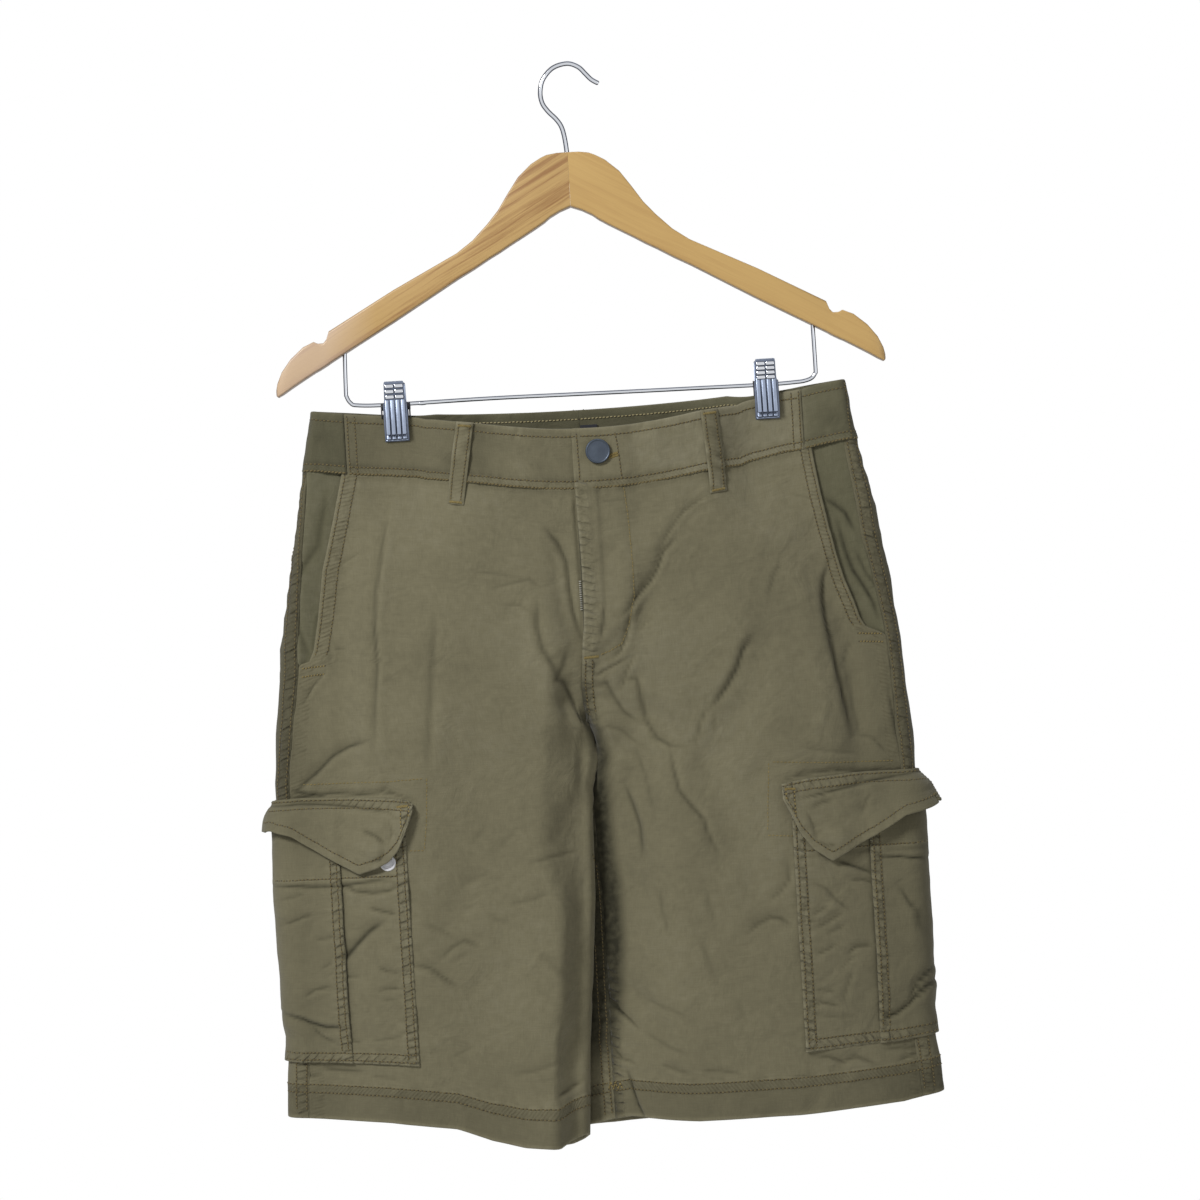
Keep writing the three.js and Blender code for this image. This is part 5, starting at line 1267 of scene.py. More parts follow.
def cargoPocket(side):
    low = pockets[side]["low"]
    levels = spread([(pockets["topZ"], 6), (-556, 96), (low + 8, 6), (low + 0.6, 0)])
    foldRows = [(low + 0.18, -0.18), (low, -0.6), (low + 0.18, -1.0), (low + 0.6, -1.15),
                (low + 8, -1.15)]
    rowLift = np.array([0.0] * len(levels) + [h for _, h in foldRows])
    levels = np.concatenate([levels, [z for z, _ in foldRows]])
    kept = {}

    def columns(z):
        k = pocketMarks(side, z)
        under, a, b = pleatFold["under"], k["pleatFrom"], k["pleatTo"]
        start = spread([(k["from"], 5), (k["from"] + 8, 24), (a - 1, 3), (a + under, 0)])
        crease1 = [a + under + 0.4, a + under + 0.4]
        over1 = spread([(a + under, 3), (a + 1, 1), (a - 0.1, 0)])
        lip1 = [a - 0.5, a - 0.5, a - 0.1]
        top = spread([(a + 1, 18), (k["sideStart"], 10), (k["sideEnd"], 18), (b - 1, 0)])
        lip2 = [b + 0.1, b + 0.5, b + 0.5, b + 0.1]
        over2 = spread([(b - 1, 3), (b - under, 0)])
        crease2 = [b - under - 0.4, b - under - 0.4]
        end = spread([(b - under, 3), (b + 1, 18), (k["to"] - 8, 5), (k["to"], 0)])
        # columns, height of the layer, whether it is the pleat
        steps = [(start, 0, 0), (crease1, 0.3, 0), (over1, 0.8, 0), (lip1, 1.2, 1),
                 (top, 1.9, 1), (lip2, 1.6, 1), (over2, 0.8, 0), (crease2, 0.4, 0), (end, 0, 0)]
        s, turned = withTurned(np.concatenate([values for values, _, _ in steps]), True, True)
        turnedIn = np.zeros(len(turnedEdge) - 1)
        for key, column in (("layers", 1), ("pleats", 2)):
            parts = [np.full(len(step[0]), float(step[column])) for step in steps]
            kept[key] = np.concatenate([turnedIn, *parts, turnedIn])
        kept["turned"] = turned * 0.95
        return s

    grid = layGrid(side, levels, columns)
    m = [pocketMarks(side, z) for z in levels]
    fromEdge = grid["s"] - np.array([k["from"] for k in m])[:, None]
    toEdge = np.array([k["to"] for k in m])[:, None] - grid["s"]
    pleatEdge = np.minimum(*(np.abs(grid["s"] - np.array([k[end] for k in m])[:, None])
                             for end in ("pleatFrom", "pleatTo")))
    edge = np.maximum(np.minimum(fromEdge, toEdge), 0)
    level = grid["level"]
    lift = pocketLift(side, level, edge, 0)
    opened = smooth((level - low - 4) / 30) * smooth((-560 - level) / 30)
    layers = kept["layers"] * (0.75 + 0.35 * opened)
    raised = kept["pleats"] * pleatFold["gape"] * opened * np.exp(-pleatEdge / 11)
    z = grid["p"][..., 2]
    seed = 501 if side == "right" else 531
    wrinkles, shade = creaseLines(pocketWrinkles[side], grid["p"][..., 0], z)
    fade = smooth((edge - 1) / 6)
    fromPleat = np.where(kept["pleats"] > 0, pleatEdge, 99)
    edgeTucks = tucks(edge, level, 1.4, 7.5, 4, 6.6, seed, 0.2)
    lowTucks = tucks(level - low, grid["s"], 0.9, 8, 6, 7.4, seed + 1, 0.4)
    pleatTucks = tucks(fromPleat, level, 1.2, 7, 4, 6.8, seed + 2, 0.2)
    hemTuck = tucks(np.abs(level + 582), grid["s"], 0.5, 1, 6, 7, seed + 3, 0.4)
    wave = edgeTucks + lowTucks + pleatTucks + hemTuck
    height = lift + layers + raised + wrinkles * fade + wave + 1.1 * softness(grid, seed + 4)
    height = height + kept["turned"] + rowLift[:, None]
    points = grid["p"] + grid["n"] * height[..., None]
    # painted highlight on the fold of the top hem and painted shadow under it
    hem = np.exp(-((level + 580.5) / 1.3) ** 2) - 1.6 * np.exp(-((level + 583.6) / 1.3) ** 2)
    # painted light on the tucks' tops and raised creases, painted shade between the tucks and in the creases;
    # the edges, the pleats' folds and the foot are paler where rubbed
    wearAndShade = 0.3 * wave + 0.05 * wrinkles * fade - 0.18 * shade * fade + 0.1 * np.exp(-edge / 1.2) \
        + 0.12 * np.exp(-fromPleat / 1.0) + 0.12 * np.exp(-((level - low) / 1.4) ** 2) + 0.16 * hem
    # painted shade round the side
    wearAndShade += 1.1 * paintedSideShade(grid["p"][..., 0])
    # painted shadow beside the pleats where they stand open
    beside = np.where(kept["pleats"] > 0, 0, np.exp(-(pleatEdge / 2.6) ** 2))
    wearAndShade -= 0.3 * beside * opened
    strips = np.maximum(smooth((8 - edge) / 1.5), smooth((7.5 - fromPleat) / 1.5))
    flat = smooth((8 - level + low) / 1.5)
    marks = np.where(flat > strips, -0.7 * flat, strips)
    uv = np.stack([grid["s"], level], -1)
    piece = sheetFrom("cargoPocket" + side.capitalize(), points, uv, wearAndShade, pockets["wall"], twill,
                      0.15 * marks, marks)
    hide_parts(f"cargo_pocket_{side}")
    return piece


# Share of the way to the side, upper edge, lower edge.
flapEdges = {
    "right": np.array([
        (0, -529, -532), (0.03, -526, -543), (0.1, -524.8, -561.5), (0.17, -524, -569.5),
        (0.25, -523.4, -573.8), (0.37, -522.6, -577.5), (0.53, -521.8, -568), (0.77, -521, -553.5),
        (0.93, -521.5, -543.5), (1, -522.5, -545),
    ]),
    "left": np.array([
        (0, -531, -541), (0.045, -530, -552), (0.1, -529, -567), (0.18, -528, -579),
        (0.3, -527.3, -588.5), (0.47, -526.5, -579), (0.72, -526.5, -566), (1, -527, -551),
    ]),
}
flapShape = {
    "wall": 1.7, "halfLength": 101, "flare": {"left": 9.0, "right": 1.5},
    "snapUnder": {"right": (-170, -561), "left": (160, -572)},
}
flapCreases = {
    "right": [
        ([(-250, -527), (-225, -526), (-200, -527.5), (-178, -531), (-160, -534), (-154, -539)],
         1.8, 2.0, 0.5),
        ([(-179, -546), (-169, -551), (-163, -557)], 2.5, 1.8, 0.4),
        ([(-164, -561), (-167, -567), (-176, -569)], 1.9, 1.1, 0.4),
        ([(-160, -540), (-157, -548), (-160, -556)], 1.9, 1.0, -0.4),
    ],
    "left": [
        ([(130, -543), (150, -540), (170, -536.5), (190, -533.5), (222, -530)], 1.8, 2.1, 0.5),
        ([(142, -549), (150, -546), (157, -545)], 2.4, 1.4, 0.4),
        ([(177, -556), (182, -546), (186, -541)], 2.4, 1.1, 0.4),
        ([(144, -574), (150, -577), (157, -577)], 1.8, 1.5, 0.4),
        ([(138, -552), (142, -562), (143, -572)], 1.9, 1.1, 0.4),
    ],
}


# Surface points and directions where every point has a level of its own.
def scattered(side, z, s, step=2.0):
    points, normals = np.zeros((len(z), 3)), np.zeros((len(z), 3))
    low = np.floor(z / step) * step
    for level in np.unique(low):
        on = low == level
        share = ((z[on] - level) / step)[:, None]
        points[on] = mix(surfaceAt(side, level, s[on])[0],
                         surfaceAt(side, level + step, s[on])[0], share)
        normals[on] = mix(facingAt(side, level, s[on]), facingAt(side, level + step, s[on]), share)
    return points, normals / np.linalg.norm(normals, axis=1)[:, None]


# The flap's grid: its level, its place along the section and its height off the leg.
def flapGrid(side, at, down, onBack):
    top = look(flapEdges[side], at, 1)
    z = mix(top, look(flapEdges[side], at, 2), down)
    levels = np.arange(-600.0, -510.0, 2.0)
    marks = [pocketMarks(side, level) for level in levels]
    k = {key: np.interp(z, levels, [m[key] for m in marks])
         for key in ("from", "to", "side", "pleatFrom", "pleatTo")}
    flapStart = pockets[side]["flapStart"]
    startFront = np.interp(z, levels, [float(alongFront(m["section"], flapStart)) for m in marks])
    startBack = np.interp(z, levels, [float(alongBack(m["section"], flapStart)) for m in marks])
    s = mix(np.where(onBack, startBack, startFront), k["side"], at)
    edge = np.maximum(np.minimum(s - k["from"], k["to"] - s), 0)
    pleat = smooth((np.minimum(s - k["pleatFrom"], k["pleatTo"] - s) + 8) / 10)
    over = pocketLift(side, np.minimum(z, pockets["topZ"]), edge, pleat) + 2.2
    free = smooth((top - z) / (top - pockets["topZ"]))
    out = 2.4 * smooth(down / 0.5) \
        + flapShape["flare"][side] * down ** 1.6 * smooth((at - 0.35) / 0.65)
    return z, s, mix(2.3, over, free) + out


def cargoFlap(side):
    downs = np.concatenate([[0, 0.012], np.linspace(0.04, 0.96, 32), [0.985, 1]])
    shares = np.concatenate([[0, 0.006], np.linspace(0.018, 1, 66)])
    seed = 601 if side == "right" else 631
    at = np.concatenate([shares, shares[-2::-1]])
    onBack = np.arange(len(at)) >= len(shares)
    shape = (len(downs), len(at))
    at, down = np.broadcast_to(at, shape), np.broadcast_to(downs[:, None], shape)
    z, s, lift = flapGrid(side, at, down, np.broadcast_to(onBack, shape))
    points, normals = (v.reshape(*shape, 3) for v in scattered(side, z.ravel(), s.ravel()))
    long = look(flapEdges[side], at, 1) - look(flapEdges[side], at, 2)
    fromLow = (1 - down) * long
    fromTop = down * long
    grid = {"s": s, "level": z}
    fromEnd = at * flapShape["halfLength"]
    x, flatZ = points[..., 0], points[..., 2]
    crease, shade = creaseLines(flapCreases[side], x, flatZ)
    fade = smooth((np.minimum(fromLow, fromEnd) - 0.5) / 3)
    wave = tucks(fromTop, s, 0.8, 8, 4, 6.2, seed, 0.3) * smooth((60 - fromEnd) / 40) \
        + tucks(fromEnd, z, 1.4, 7.5, 4, 5.8, seed + 1, 0.3) * smooth((fromTop - 3) / 5) \
        + tucks(fromLow, s, 0.5, 6, 6, 8, seed + 2, 0.4)
    wave = wave * smooth((1 - at) / 0.3)
    spot = flapShape["snapUnder"][side]
    bump = 2.4 * np.exp(-(((x - spot[0]) ** 2 + (flatZ - spot[1]) ** 2) / 55))
    height = lift + wave + crease * fade + 1.2 * softness(grid, seed + 4) + bump
    points = points + normals * height[..., None]
    # painted light on the tucks' tops, the raised creases and the stud's bump, and painted shade between the
    # tucks and in the creases
    wearAndShade = 0.3 * wave + 0.05 * crease * fade - 0.2 * shade * fade + 0.03 * bump
    wearAndShade += 0.14 * np.exp(-fromLow / 1.1) + 0.1 * np.exp(-fromTop / 1.1) + 0.12 * np.exp(-fromEnd / 1.1)
    # painted shade round the side
    wearAndShade += 0.8 * paintedSideShade(x)
    upright = smooth((8 - fromEnd) / 1.5) * smooth((fromLow - 3) / 4)
    levelled = smooth((8.5 - fromTop) / 1.5) * smooth((70 - fromEnd) / 30)
    marks = np.where(levelled > upright, -0.5 * levelled, upright)
    uv = np.stack([s, z], -1)
    piece = sheetFrom("cargoFlap" + side.capitalize(), points, uv, wearAndShade, flapShape["wall"], twill,
                      0.2 * marks, marks)
    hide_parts(f"cargo_flap_{side}")
    return piece


for side in ("right", "left"):
    cloths["pocket", side] = cargoPocket(side)
    cloths["flap", side] = cargoFlap(side)
print("pockets and flaps made")

# The pieces' surfaces, to cast rays at.
def surfaceTree(pieces):
    verts, faces = [], []
    for piece in pieces:
        mesh = piece.data
        co = np.empty(len(mesh.vertices) * 3)
        mesh.vertices.foreach_get("co", co)
        index = np.empty(len(mesh.loops), int)
        mesh.loops.foreach_get("vertex_index", index)
        start = len(verts)
        verts += (co.reshape(-1, 3) / mm).tolist()
        faces += (index.reshape(-1, 4) + start).tolist()
    return BVHTree.FromPolygons(verts, faces)


# Evenly spaced points on a line of points, a pitch apart.
def stepsAlong(points, pitch):
    points = np.array(points, float)
    run = np.concatenate([[0], np.cumsum(np.linalg.norm(np.diff(points, axis=0), axis=1))])
    at = np.arange(0, run[-1], pitch)
    return np.stack([np.interp(at, run, points[:, c]) for c in range(points.shape[1])], 1)


# Where a row of stitches given by x and z meets the cloth, seen from the front (or the back).
def fromFront(points, pitch, tree, back=False):
    y, way = (120.0, -1) if back else (-120.0, 1)
    return [tree.ray_cast(Vector((x, y, z)), Vector((0, way, 0)))[:2]
            for x, z in stepsAlong(points, pitch / 2)]


# The same for a row given by side, level and distance along the section. It is seen from reach
# outside the form, or from inside it where reach is below zero.
def fromForm(side, points, pitch, tree, reach=14):
    steps = stepsAlong(points, pitch / 2)
    places, normals = scattered(side, steps[:, 0], steps[:, 1])
    return [tree.ray_cast(Vector(p + abs(reach) * n), Vector(-n))[:2]
            for p, n in zip(places, normals * np.sign(reach))]


# The same hits at even steps where the cloth stands far off the form.
def evened(hits, step):
    kept = [hits[0]]
    for hit in hits[1:]:
        if hit[0] is None or kept[-1][0] is None or (hit[0] - kept[-1][0]).length >= step:
            kept.append(hit)
    return kept


# A stitch is a short round strand with its ends in the cloth.
def stitchForm(long, wide, high, sides=5):
    rings = [(-0.5, 0.3, -0.9), (-0.28, 0.95, 0.2), (0.28, 0.95, 0.2), (0.5, 0.3, -0.9)]
    turns = np.arange(sides) * 2 * math.pi / sides
    verts = [(x * long, wide / 2 * r * math.cos(a), high / 2 * (r * math.sin(a) + lift))
             for x, r, lift in rings for a in turns]
    faces = [(r * sides + k, r * sides + (k + 1) % sides, (r + 1) * sides + (k + 1) % sides,
              (r + 1) * sides + k) for r in range(len(rings) - 1) for k in range(sides)]
    last = (len(rings) - 1) * sides
    return verts, faces + [tuple(range(sides))[::-1], tuple(last + k for k in range(sides))]


# A dark disc at the end of each stitch: painted shadow where the thread sinks into the cloth.
holeShadowForm = ([(0.75 * math.cos(a), 0.5 * math.sin(a), 0.0) for a in np.arange(6) * math.pi / 3],
            [tuple(range(6))])


class Thread:
    def __init__(self, name, material):
        self.name, self.material, self.count = name, material, 0
        self.verts, self.faces = [], []
        self.rng = np.random.default_rng(len(name) * 7 + 5)

    def add(self, place, along, normal, form):
        along = (along - normal * along.dot(normal)).normalized()
        axes = np.array([along, normal.cross(along), normal])
        verts, faces = form
        self.verts.append(np.array(verts) @ axes + np.array(place))
        self.faces += [tuple(i + self.count for i in face) for face in faces]
        self.count += len(verts)

    # hits alternate between the needle's holes and the middles of the stitches
    def row(self, hits, long=2.1, wide=0.9, high=0.7, lift=0.14, lean=0.12, holeShadows=True):
        for k in range(1, len(hits) - 1, 2):
            (a, na), (place, normal), (b, _) = hits[k - 1], hits[k], hits[k + 1]
            if None in (a, place, b) or (b - a).length > 6 or (b - a).length < 0.4:
                continue
            across = normal.cross(b - a).normalized()
            slant = (b - a).normalized() + across * float(self.rng.normal(lean, 0.08))
            drift = across * float(self.rng.uniform(-0.14, 0.14))
            size = float(self.rng.uniform(0.9, 1.1))
            self.add(place + normal * lift + drift, slant, normal, stitchForm(long * size, wide, high))
            if holeShadows:
                needleHoles.add(a + na * 0.1 + drift, b - a, na, holeShadowForm)

    # a dense bar of short threads laid across it
    def bar(self, hits, wide=2.0):
        for k in range(1, len(hits) - 1):
            (a, _), (place, normal), (b, _) = hits[k - 1], hits[k], hits[k + 1]
            if None in (a, place, b):
                continue
            lean = (b - a).normalized() * (0.25 if k % 2 else -0.25)
            across = normal.cross((b - a).normalized()) + lean
            self.add(place + normal * 0.24, across, normal, stitchForm(wide, 0.62, 0.5))

    def finish(self, slotName="cloth"):
        mesh = bpy.data.meshes.new(self.name)
        mesh.from_pydata((np.concatenate(self.verts) * mm).tolist(), [], self.faces)
        mesh.polygons.foreach_set("use_smooth", np.ones(len(mesh.polygons), bool))
        piece = bpy.data.objects.new(self.name, mesh)
        bpy.context.collection.objects.link(piece)
        return finishPiece(piece, self.material)


needleHoles = Thread("needleHoles", holeShadowThread)
stitch = {
    "pitch": 2.9, "bandPitch": 2.7, "barPitch": 1.1,
    # the two rows of each seam: distances in from its edge, or levels
    "mouth": {"right": (2.3, 10.4), "left": (2.3, 7.8)}, "sideSeam": (2.2, 9.4), "inseam": (-2.4, -8.0),
    "hem": (-741.7, -748.2), "pocket": (1.8, 7.2), "pocketLow": (2.0, 8.2), "pleat": (1.6, 6.8),
    "loop": (-3.6, 3.6), "flapTop": (1.8, 7.6), "flapLow": 6.8, "pocketHem": -580,
}


# A row at a distance from one of the marks, over a range of levels.
def besideMark(marksOf, side, key, inset, first, last, count):
    return [(z, marksOf(side, z)[key] + inset) for z in np.linspace(first, last, count)]


# A row on one level between two distances along the section.
def onLevel(level, start, end, count):
    return [(level, s) for s in np.linspace(start, end, count)]


# Rows at distances x out from the middle of the front.
def atFrontX(side, places):
    return [(z, float(alongFront(sectionAt(side, z), x))) for z, x in places]


def sewWaistband():
    thread = Thread("waistbandStitching", oliveThread)
    tree = surfaceTree([cloths["band", k] for k in ("right", "left", "back")])
    bandEnds = np.linspace(-242.5, -283, 6)
    for side in ("right", "left"):
        seam = band["seam" + side.capitalize()]
        start = 4.0 if side == "right" else 0.6
        for level, pitch, looks in ((-246.4, 2.9, {"wide": 1.1}), (-278.8, 2.9, {"wide": 1.1}),
                                    (-283.7, 2.6, {"long": 2.8, "wide": 1.3, "lean": 0.4})):
            rows = atFrontX(side, [(level, x) for x in (start, 40, 80, 120, 150, seam - 0.5)])
            thread.row(fromForm(side, rows, pitch, tree), **looks)
            m = marksAt(side, level)
            rows = atFrontX(side, [(level, seam + 1)]) + [(level, m["side"]), (level, m["last"] - 1)]
            thread.row(fromForm(side, rows, pitch, tree), **looks)
        upright = [[(z, seam - inset) for z in bandEnds] for inset in (2.2, 7.6)]
        if side == "left":
            upright.append([(z, 193.5 + 0.08 * (-240 - z)) for z in bandEnds])
        for places in upright:
            thread.row(fromForm(side, atFrontX(side, places), stitch["bandPitch"], tree))
    thread.row(fromFront([(18.6, -271), (20.4, -287), (21.6, -305)], 2.8, tree))
    thread.row(fromFront([(-9.4, -270), (-9.2, -288), (-9, -305)], 2.8, tree))
    thread.finish()
    inner = Thread("insideBandStitching", paleThread)
    for side in ("right", "left"):
        last = marksAt(side, -246.5)["last"]
        hits = fromForm(side, [(-246.8, last - 0.5), (-246.8, last - 172)], stitch["bandPitch"], tree,
                        reach=-2.4)
        inner.row(hits, long=2.2, wide=1.0, high=0.8, lift=0.2)
    inner.finish()


# Rows given by x and z as seen from the front
topRows = {
    "right": [[(-224, -511.5), (-160, -512), (-133, -511)], [(-132, -511), (-134, -540), (-137, -563)],
              [(-137, -562.8), (-150, -562.5)]],
    "left": [[(206, -520), (160, -518), (115, -514.5)], [(114.5, -515), (112, -545), (110.5, -566)],
             [(110.5, -567), (130, -569)]],
}
crotchRows = [[(-12.6, -434), (-14.0, -450), (-13.2, -465), (-11.4, -476)],
              [(-7.8, -434), (-9.0, -450), (-8.4, -465), (-7.4, -474)]]


def sewPanels():
    tree = surfaceTree([cloths[k] for k in cloths if k[0] in ("front", "back", "facing")])
    thread = Thread("panelStitching", oliveThread)
    bars = Thread("barTacks", ochreThread)
    for side in ("right", "left"):
        # two rows beside the pocket mouth, and a double bar at its foot
        edge = atFrontX(side, [(z, float(look(mouthEdge[side], z, 1)))
                               for z in np.linspace(-285.5, -421, 26)])
        for inset in stitch["mouth"][side]:
            thread.row(fromForm(side, [(z, s - inset) for z, s in edge], stitch["pitch"], tree))
        for z in (-427.5, -433.5):
            s = marksAt(side, z)["sideSeam"]
            bars.row(fromForm(side, [(z + 1.4, s - 20), (z, s - 1)], 2.2, tree), long=1.8, lean=0.5)
        # the side seam, the hem, then the inseam with the seat
        rows = [besideMark(marksAt, side, "sideSeam", inset, -286, -765, 40)
                for inset in stitch["sideSeam"]]
        for level in stitch["hem"]:
            m = marksAt(side, level)
            rows.append(onLevel(level, m["first"] + 1.5, m["last"] - 1.5, 50))
        rows += [besideMark(marksAt, side, "last", inset, -286, -765, 40) for inset in stitch["inseam"]]
        for row in rows:
            thread.row(fromForm(side, row, stitch["pitch"], tree))
        for line in topRows[side]:
            bars.row(fromFront(line, 2.7, tree), wide=0.6, high=0.5, holeShadows=False)
    # the fly's curved row and its bar, and the rows either side of the crotch seam
    bars.row(fromFront(jStitch, 2.7, tree), long=2.4, wide=0.62, high=0.5, holeShadows=False)
    bars.bar(fromFront([(-14, -431.6), (-3, -431)], stitch["barPitch"], tree), 2.2)
    bars.bar(fromFront([(21.4, -304), (21.7, -310)], stitch["barPitch"], tree), 1.6)
    for line in crotchRows:
        thread.row(fromFront(line, 2.7, tree))
    # a pale tack in zigzags where the hem crosses the inseam
    zigzag = [(-15 + 1.7 * k, -742 if k % 2 else -747) for k in range(7)]
    bars.row(fromFront(zigzag, 2.4, tree), long=2.2)
    thread.finish()
    return bars


def sewLoops(bars):
    thread = Thread("loopStitching", oliveThread)
    for number, (x, lean, onBack) in enumerate(beltLoops["places"], 1):
        tree = surfaceTree([cloths["loop", number]])
        side = "left" if x > 0 or number == 4 else "right"
        along = alongBack if onBack else alongFront

        def place(z, dx):
            return z, float(along(sectionAt(side, z), loopCentre(x, lean, z) + dx))

        for dx in stitch["loop"]:
            if x == 0:
                out = shorts["centreX"] + dx
                hits = fromFront([(out, -240), (out, -306)], stitch["bandPitch"], tree, back=True)
            else:
                rows = [place(z, dx) for z in np.linspace(-242.5, -300.5, 8)]
                hits = fromForm(side, rows, stitch["bandPitch"], tree)
            thread.row(hits)
        for z in (-243.2, -299.9) if x != 0 else ():
            rows = [place(z, -4.8), place(z, 4.8)]
            bars.bar(fromForm(side, rows, stitch["barPitch"], tree), 1.9)
    thread.finish()


def sewPockets(bars):
    thread = Thread("pocketStitching", oliveThread)
    for side in ("right", "left"):
        low = pockets[side]["low"]
        tree = surfaceTree([cloths["pocket", side]])
        rows = [besideMark(pocketMarks, side, end, sign * inset, -556, low + 2, 20)
                for inset in stitch["pocket"] for end, sign in (("from", 1), ("to", -1))]
        for up in stitch["pocketLow"]:
            k = pocketMarks(side, low + up)
            rows.append(onLevel(low + up, k["from"] + 2, k["to"] - 2, 40))
        rows += [besideMark(pocketMarks, side, end, sign * inset, -565, low + 9, 20)
                 for end, sign in (("pleatFrom", 1), ("pleatTo", -1)) for inset in stitch["pleat"]]
        k = pocketMarks(side, stitch["pocketHem"])
        rows.append(onLevel(stitch["pocketHem"], k["from"] + 8, k["to"] - 8, 30))
        for row in rows:
            thread.row(fromForm(side, row, stitch["pitch"], tree))
        # the flap: two rows under its top edge, one along its lower edge
        tree = surfaceTree([cloths["flap", side]])
        at = np.concatenate([np.linspace(0.01, 0.97, 60), np.linspace(0.97, 0.01, 60)])
        onBack = np.arange(120) >= 60
        depth = look(flapEdges[side], at, 1) - look(flapEdges[side], at, 2)
        rows = [(drop / np.maximum(depth, 3), drop + 3) for drop in stitch["flapTop"]]
        rows.append((1 - stitch["flapLow"] / np.maximum(depth, 3), 12))
        for down, least in rows:
            z, s, _ = flapGrid(side, at, np.clip(down, 0, 1), onBack)
            keep = depth > least
            hits = fromForm(side, list(zip(z[keep], s[keep])), stitch["pitch"] / 4, tree, reach=30)
            thread.row(evened(hits, stitch["pitch"] / 2))
        # its bars, down the front end and at the top corner
        for share in (0.022, 0.074):
            down = np.linspace(0.2, 0.86, 12)
            z, s, _ = flapGrid(side, np.full(12, share), down, np.full(12, False))
            bars.row(fromForm(side, list(zip(z, s)), stitch["pitch"], tree, reach=30))
        top = float(look(flapEdges[side], 0.03, 1))
        (_, start), = atFrontX(side, [(top, pockets[side]["flapStart"])])
        rows = [(top - 4, start + 2.5), (top - 4.5, start + 11)]
        bars.bar(fromForm(side, rows, stitch["barPitch"], tree), 2.2)
    thread.finish()


sewWaistband()
bars = sewPanels()
sewLoops(bars)
sewPockets(bars)
bars.finish()
needleHoles.finish()
print("stitching made")


# Only a short run of teeth is left showing beside the lap
zipper = {"top": -300.0, "low": -412.0, "tapeWide": 5.4, "tape": 0.7, "pitch": 2.0, "toothAt": 6.4,
          "tooth": (1.7, 1.0, 0.8), "firstTooth": -362.0, "lastTooth": -389.0}


def makeZip():
    levels = np.arange(zipper["top"], zipper["low"], -2.0)
    right = layGrid("right", levels, lambda z: alongFront(sectionAt("right", z),
                                                           np.linspace(zipper["tapeWide"], 0.2, 7)))
    left = layGrid("left", levels, lambda z: alongFront(sectionAt("left", z), np.linspace(1.0, 6, 4)))
    grid = {k: np.concatenate([right[k], left[k]], 1) for k in right}
    points = grid["p"] + grid["n"] * 1.45
    uv = np.stack([grid["x"], grid["level"]], -1)
    piece = sheetFrom("zipTape", points, uv, np.zeros(grid["x"].shape), zipper["tape"], zipTapeCloth)
    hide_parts("fly_zip")
    # one tooth, copied down the tape
    deselectAll()
    bpy.ops.mesh.primitive_cube_add(size=1 * mm)
    tooth = bpy.context.object
    tooth.scale = zipper["tooth"]
    bpy.ops.object.transform_apply(scale=True)
    bpy.ops.object.mode_set(mode="EDIT")
    bpy.ops.mesh.select_all(action="SELECT")
    bpy.ops.mesh.bevel(offset=0.16 * mm, segments=1)
    bpy.ops.object.mode_set(mode="OBJECT")
    parts = []
    for z in np.arange(zipper["firstTooth"], zipper["lastTooth"], -zipper["pitch"]):
        s = np.array([float(alongFront(sectionAt("right", round(z)), zipper["toothAt"]))])
        x, y, z = surfaceAt("right", z, s)[0][0]
        copy = tooth.copy()
        copy.data = tooth.data.copy()
        bpy.context.collection.objects.link(copy)
        copy.location = Vector((x, y - 1.5, z)) * mm
        parts.append(copy)
    bpy.data.objects.remove(tooth)
    makeActive(parts[0])
    for part in parts:
        part.select_set(True)
    bpy.ops.object.join()
    bpy.ops.object.transform_apply(location=True, rotation=True, scale=True)
    teeth = bpy.context.object
    teeth.name = "zipTeeth"
    finishPiece(teeth, zipMetal)


def makeScuffs():
    tree, gin, gout = addGroup(
        "fineScuffs",
        [("Vector", "Vector", None), ("Scale", "Float", 300.0),
         ("Low", "Float", 0.1), ("High", "Float", 0.3)],
        [("Roughness", "Float"), ("Height", "Float")])
    cloud = node(tree, "TexNoise", {"Vector": gin.outputs["Vector"], "Scale": gin.outputs["Scale"],
                                    "Detail": 4.0, "Roughness": 0.65})
    worn = node(tree, "MapRange", {0: cloud.outputs[0], 1: 0.3, 2: 0.7, 3: gin.outputs["Low"],
                                   4: gin.outputs["High"]})
    feed(tree, gout, {"Roughness": worn.outputs[0], "Height": cloud.outputs[0]})
    return tree


scuffGroup = makeScuffs()


# rim is a painted reflection: a dark colour painted where the surface turns away
def hardMaterial(name, colour, deep, metallic, low, high, scale=260.0, bump=0.1, rim=None):
    material, tree, shader = newMaterial(name)
    place = node(tree, "TexCoord")
    scuffs = node(tree, "Group", node_tree=scuffGroup)
    feed(tree, scuffs, {"Vector": place.outputs["Object"], "Scale": scale, "Low": low, "High": high})
    cloud = node(tree, "TexNoise", {"Vector": place.outputs["Object"], "Scale": scale / 6,
                                    "Detail": 3.0})
    mottled = blend(tree, cloud.outputs[0], (*deep, 1), (*colour, 1))
    if rim:
        facing = node(tree, "LayerWeight", {"Blend": 0.5})
        turnedAway = node(tree, "MapRange", {0: facing.outputs["Facing"], 1: 0.05, 2: 0.26})
        mottled = blend(tree, turnedAway.outputs[0], mottled, (*rim, 1))
    raised = node(tree, "Bump", {"Strength": bump, "Distance": 0.0002,
                                 "Height": scuffs.outputs["Height"]})
    feed(tree, shader, {"Base Color": mottled, "Roughness": scuffs.outputs["Roughness"],
                        "Normal": raised.outputs[0], "Metallic": metallic})
    return material


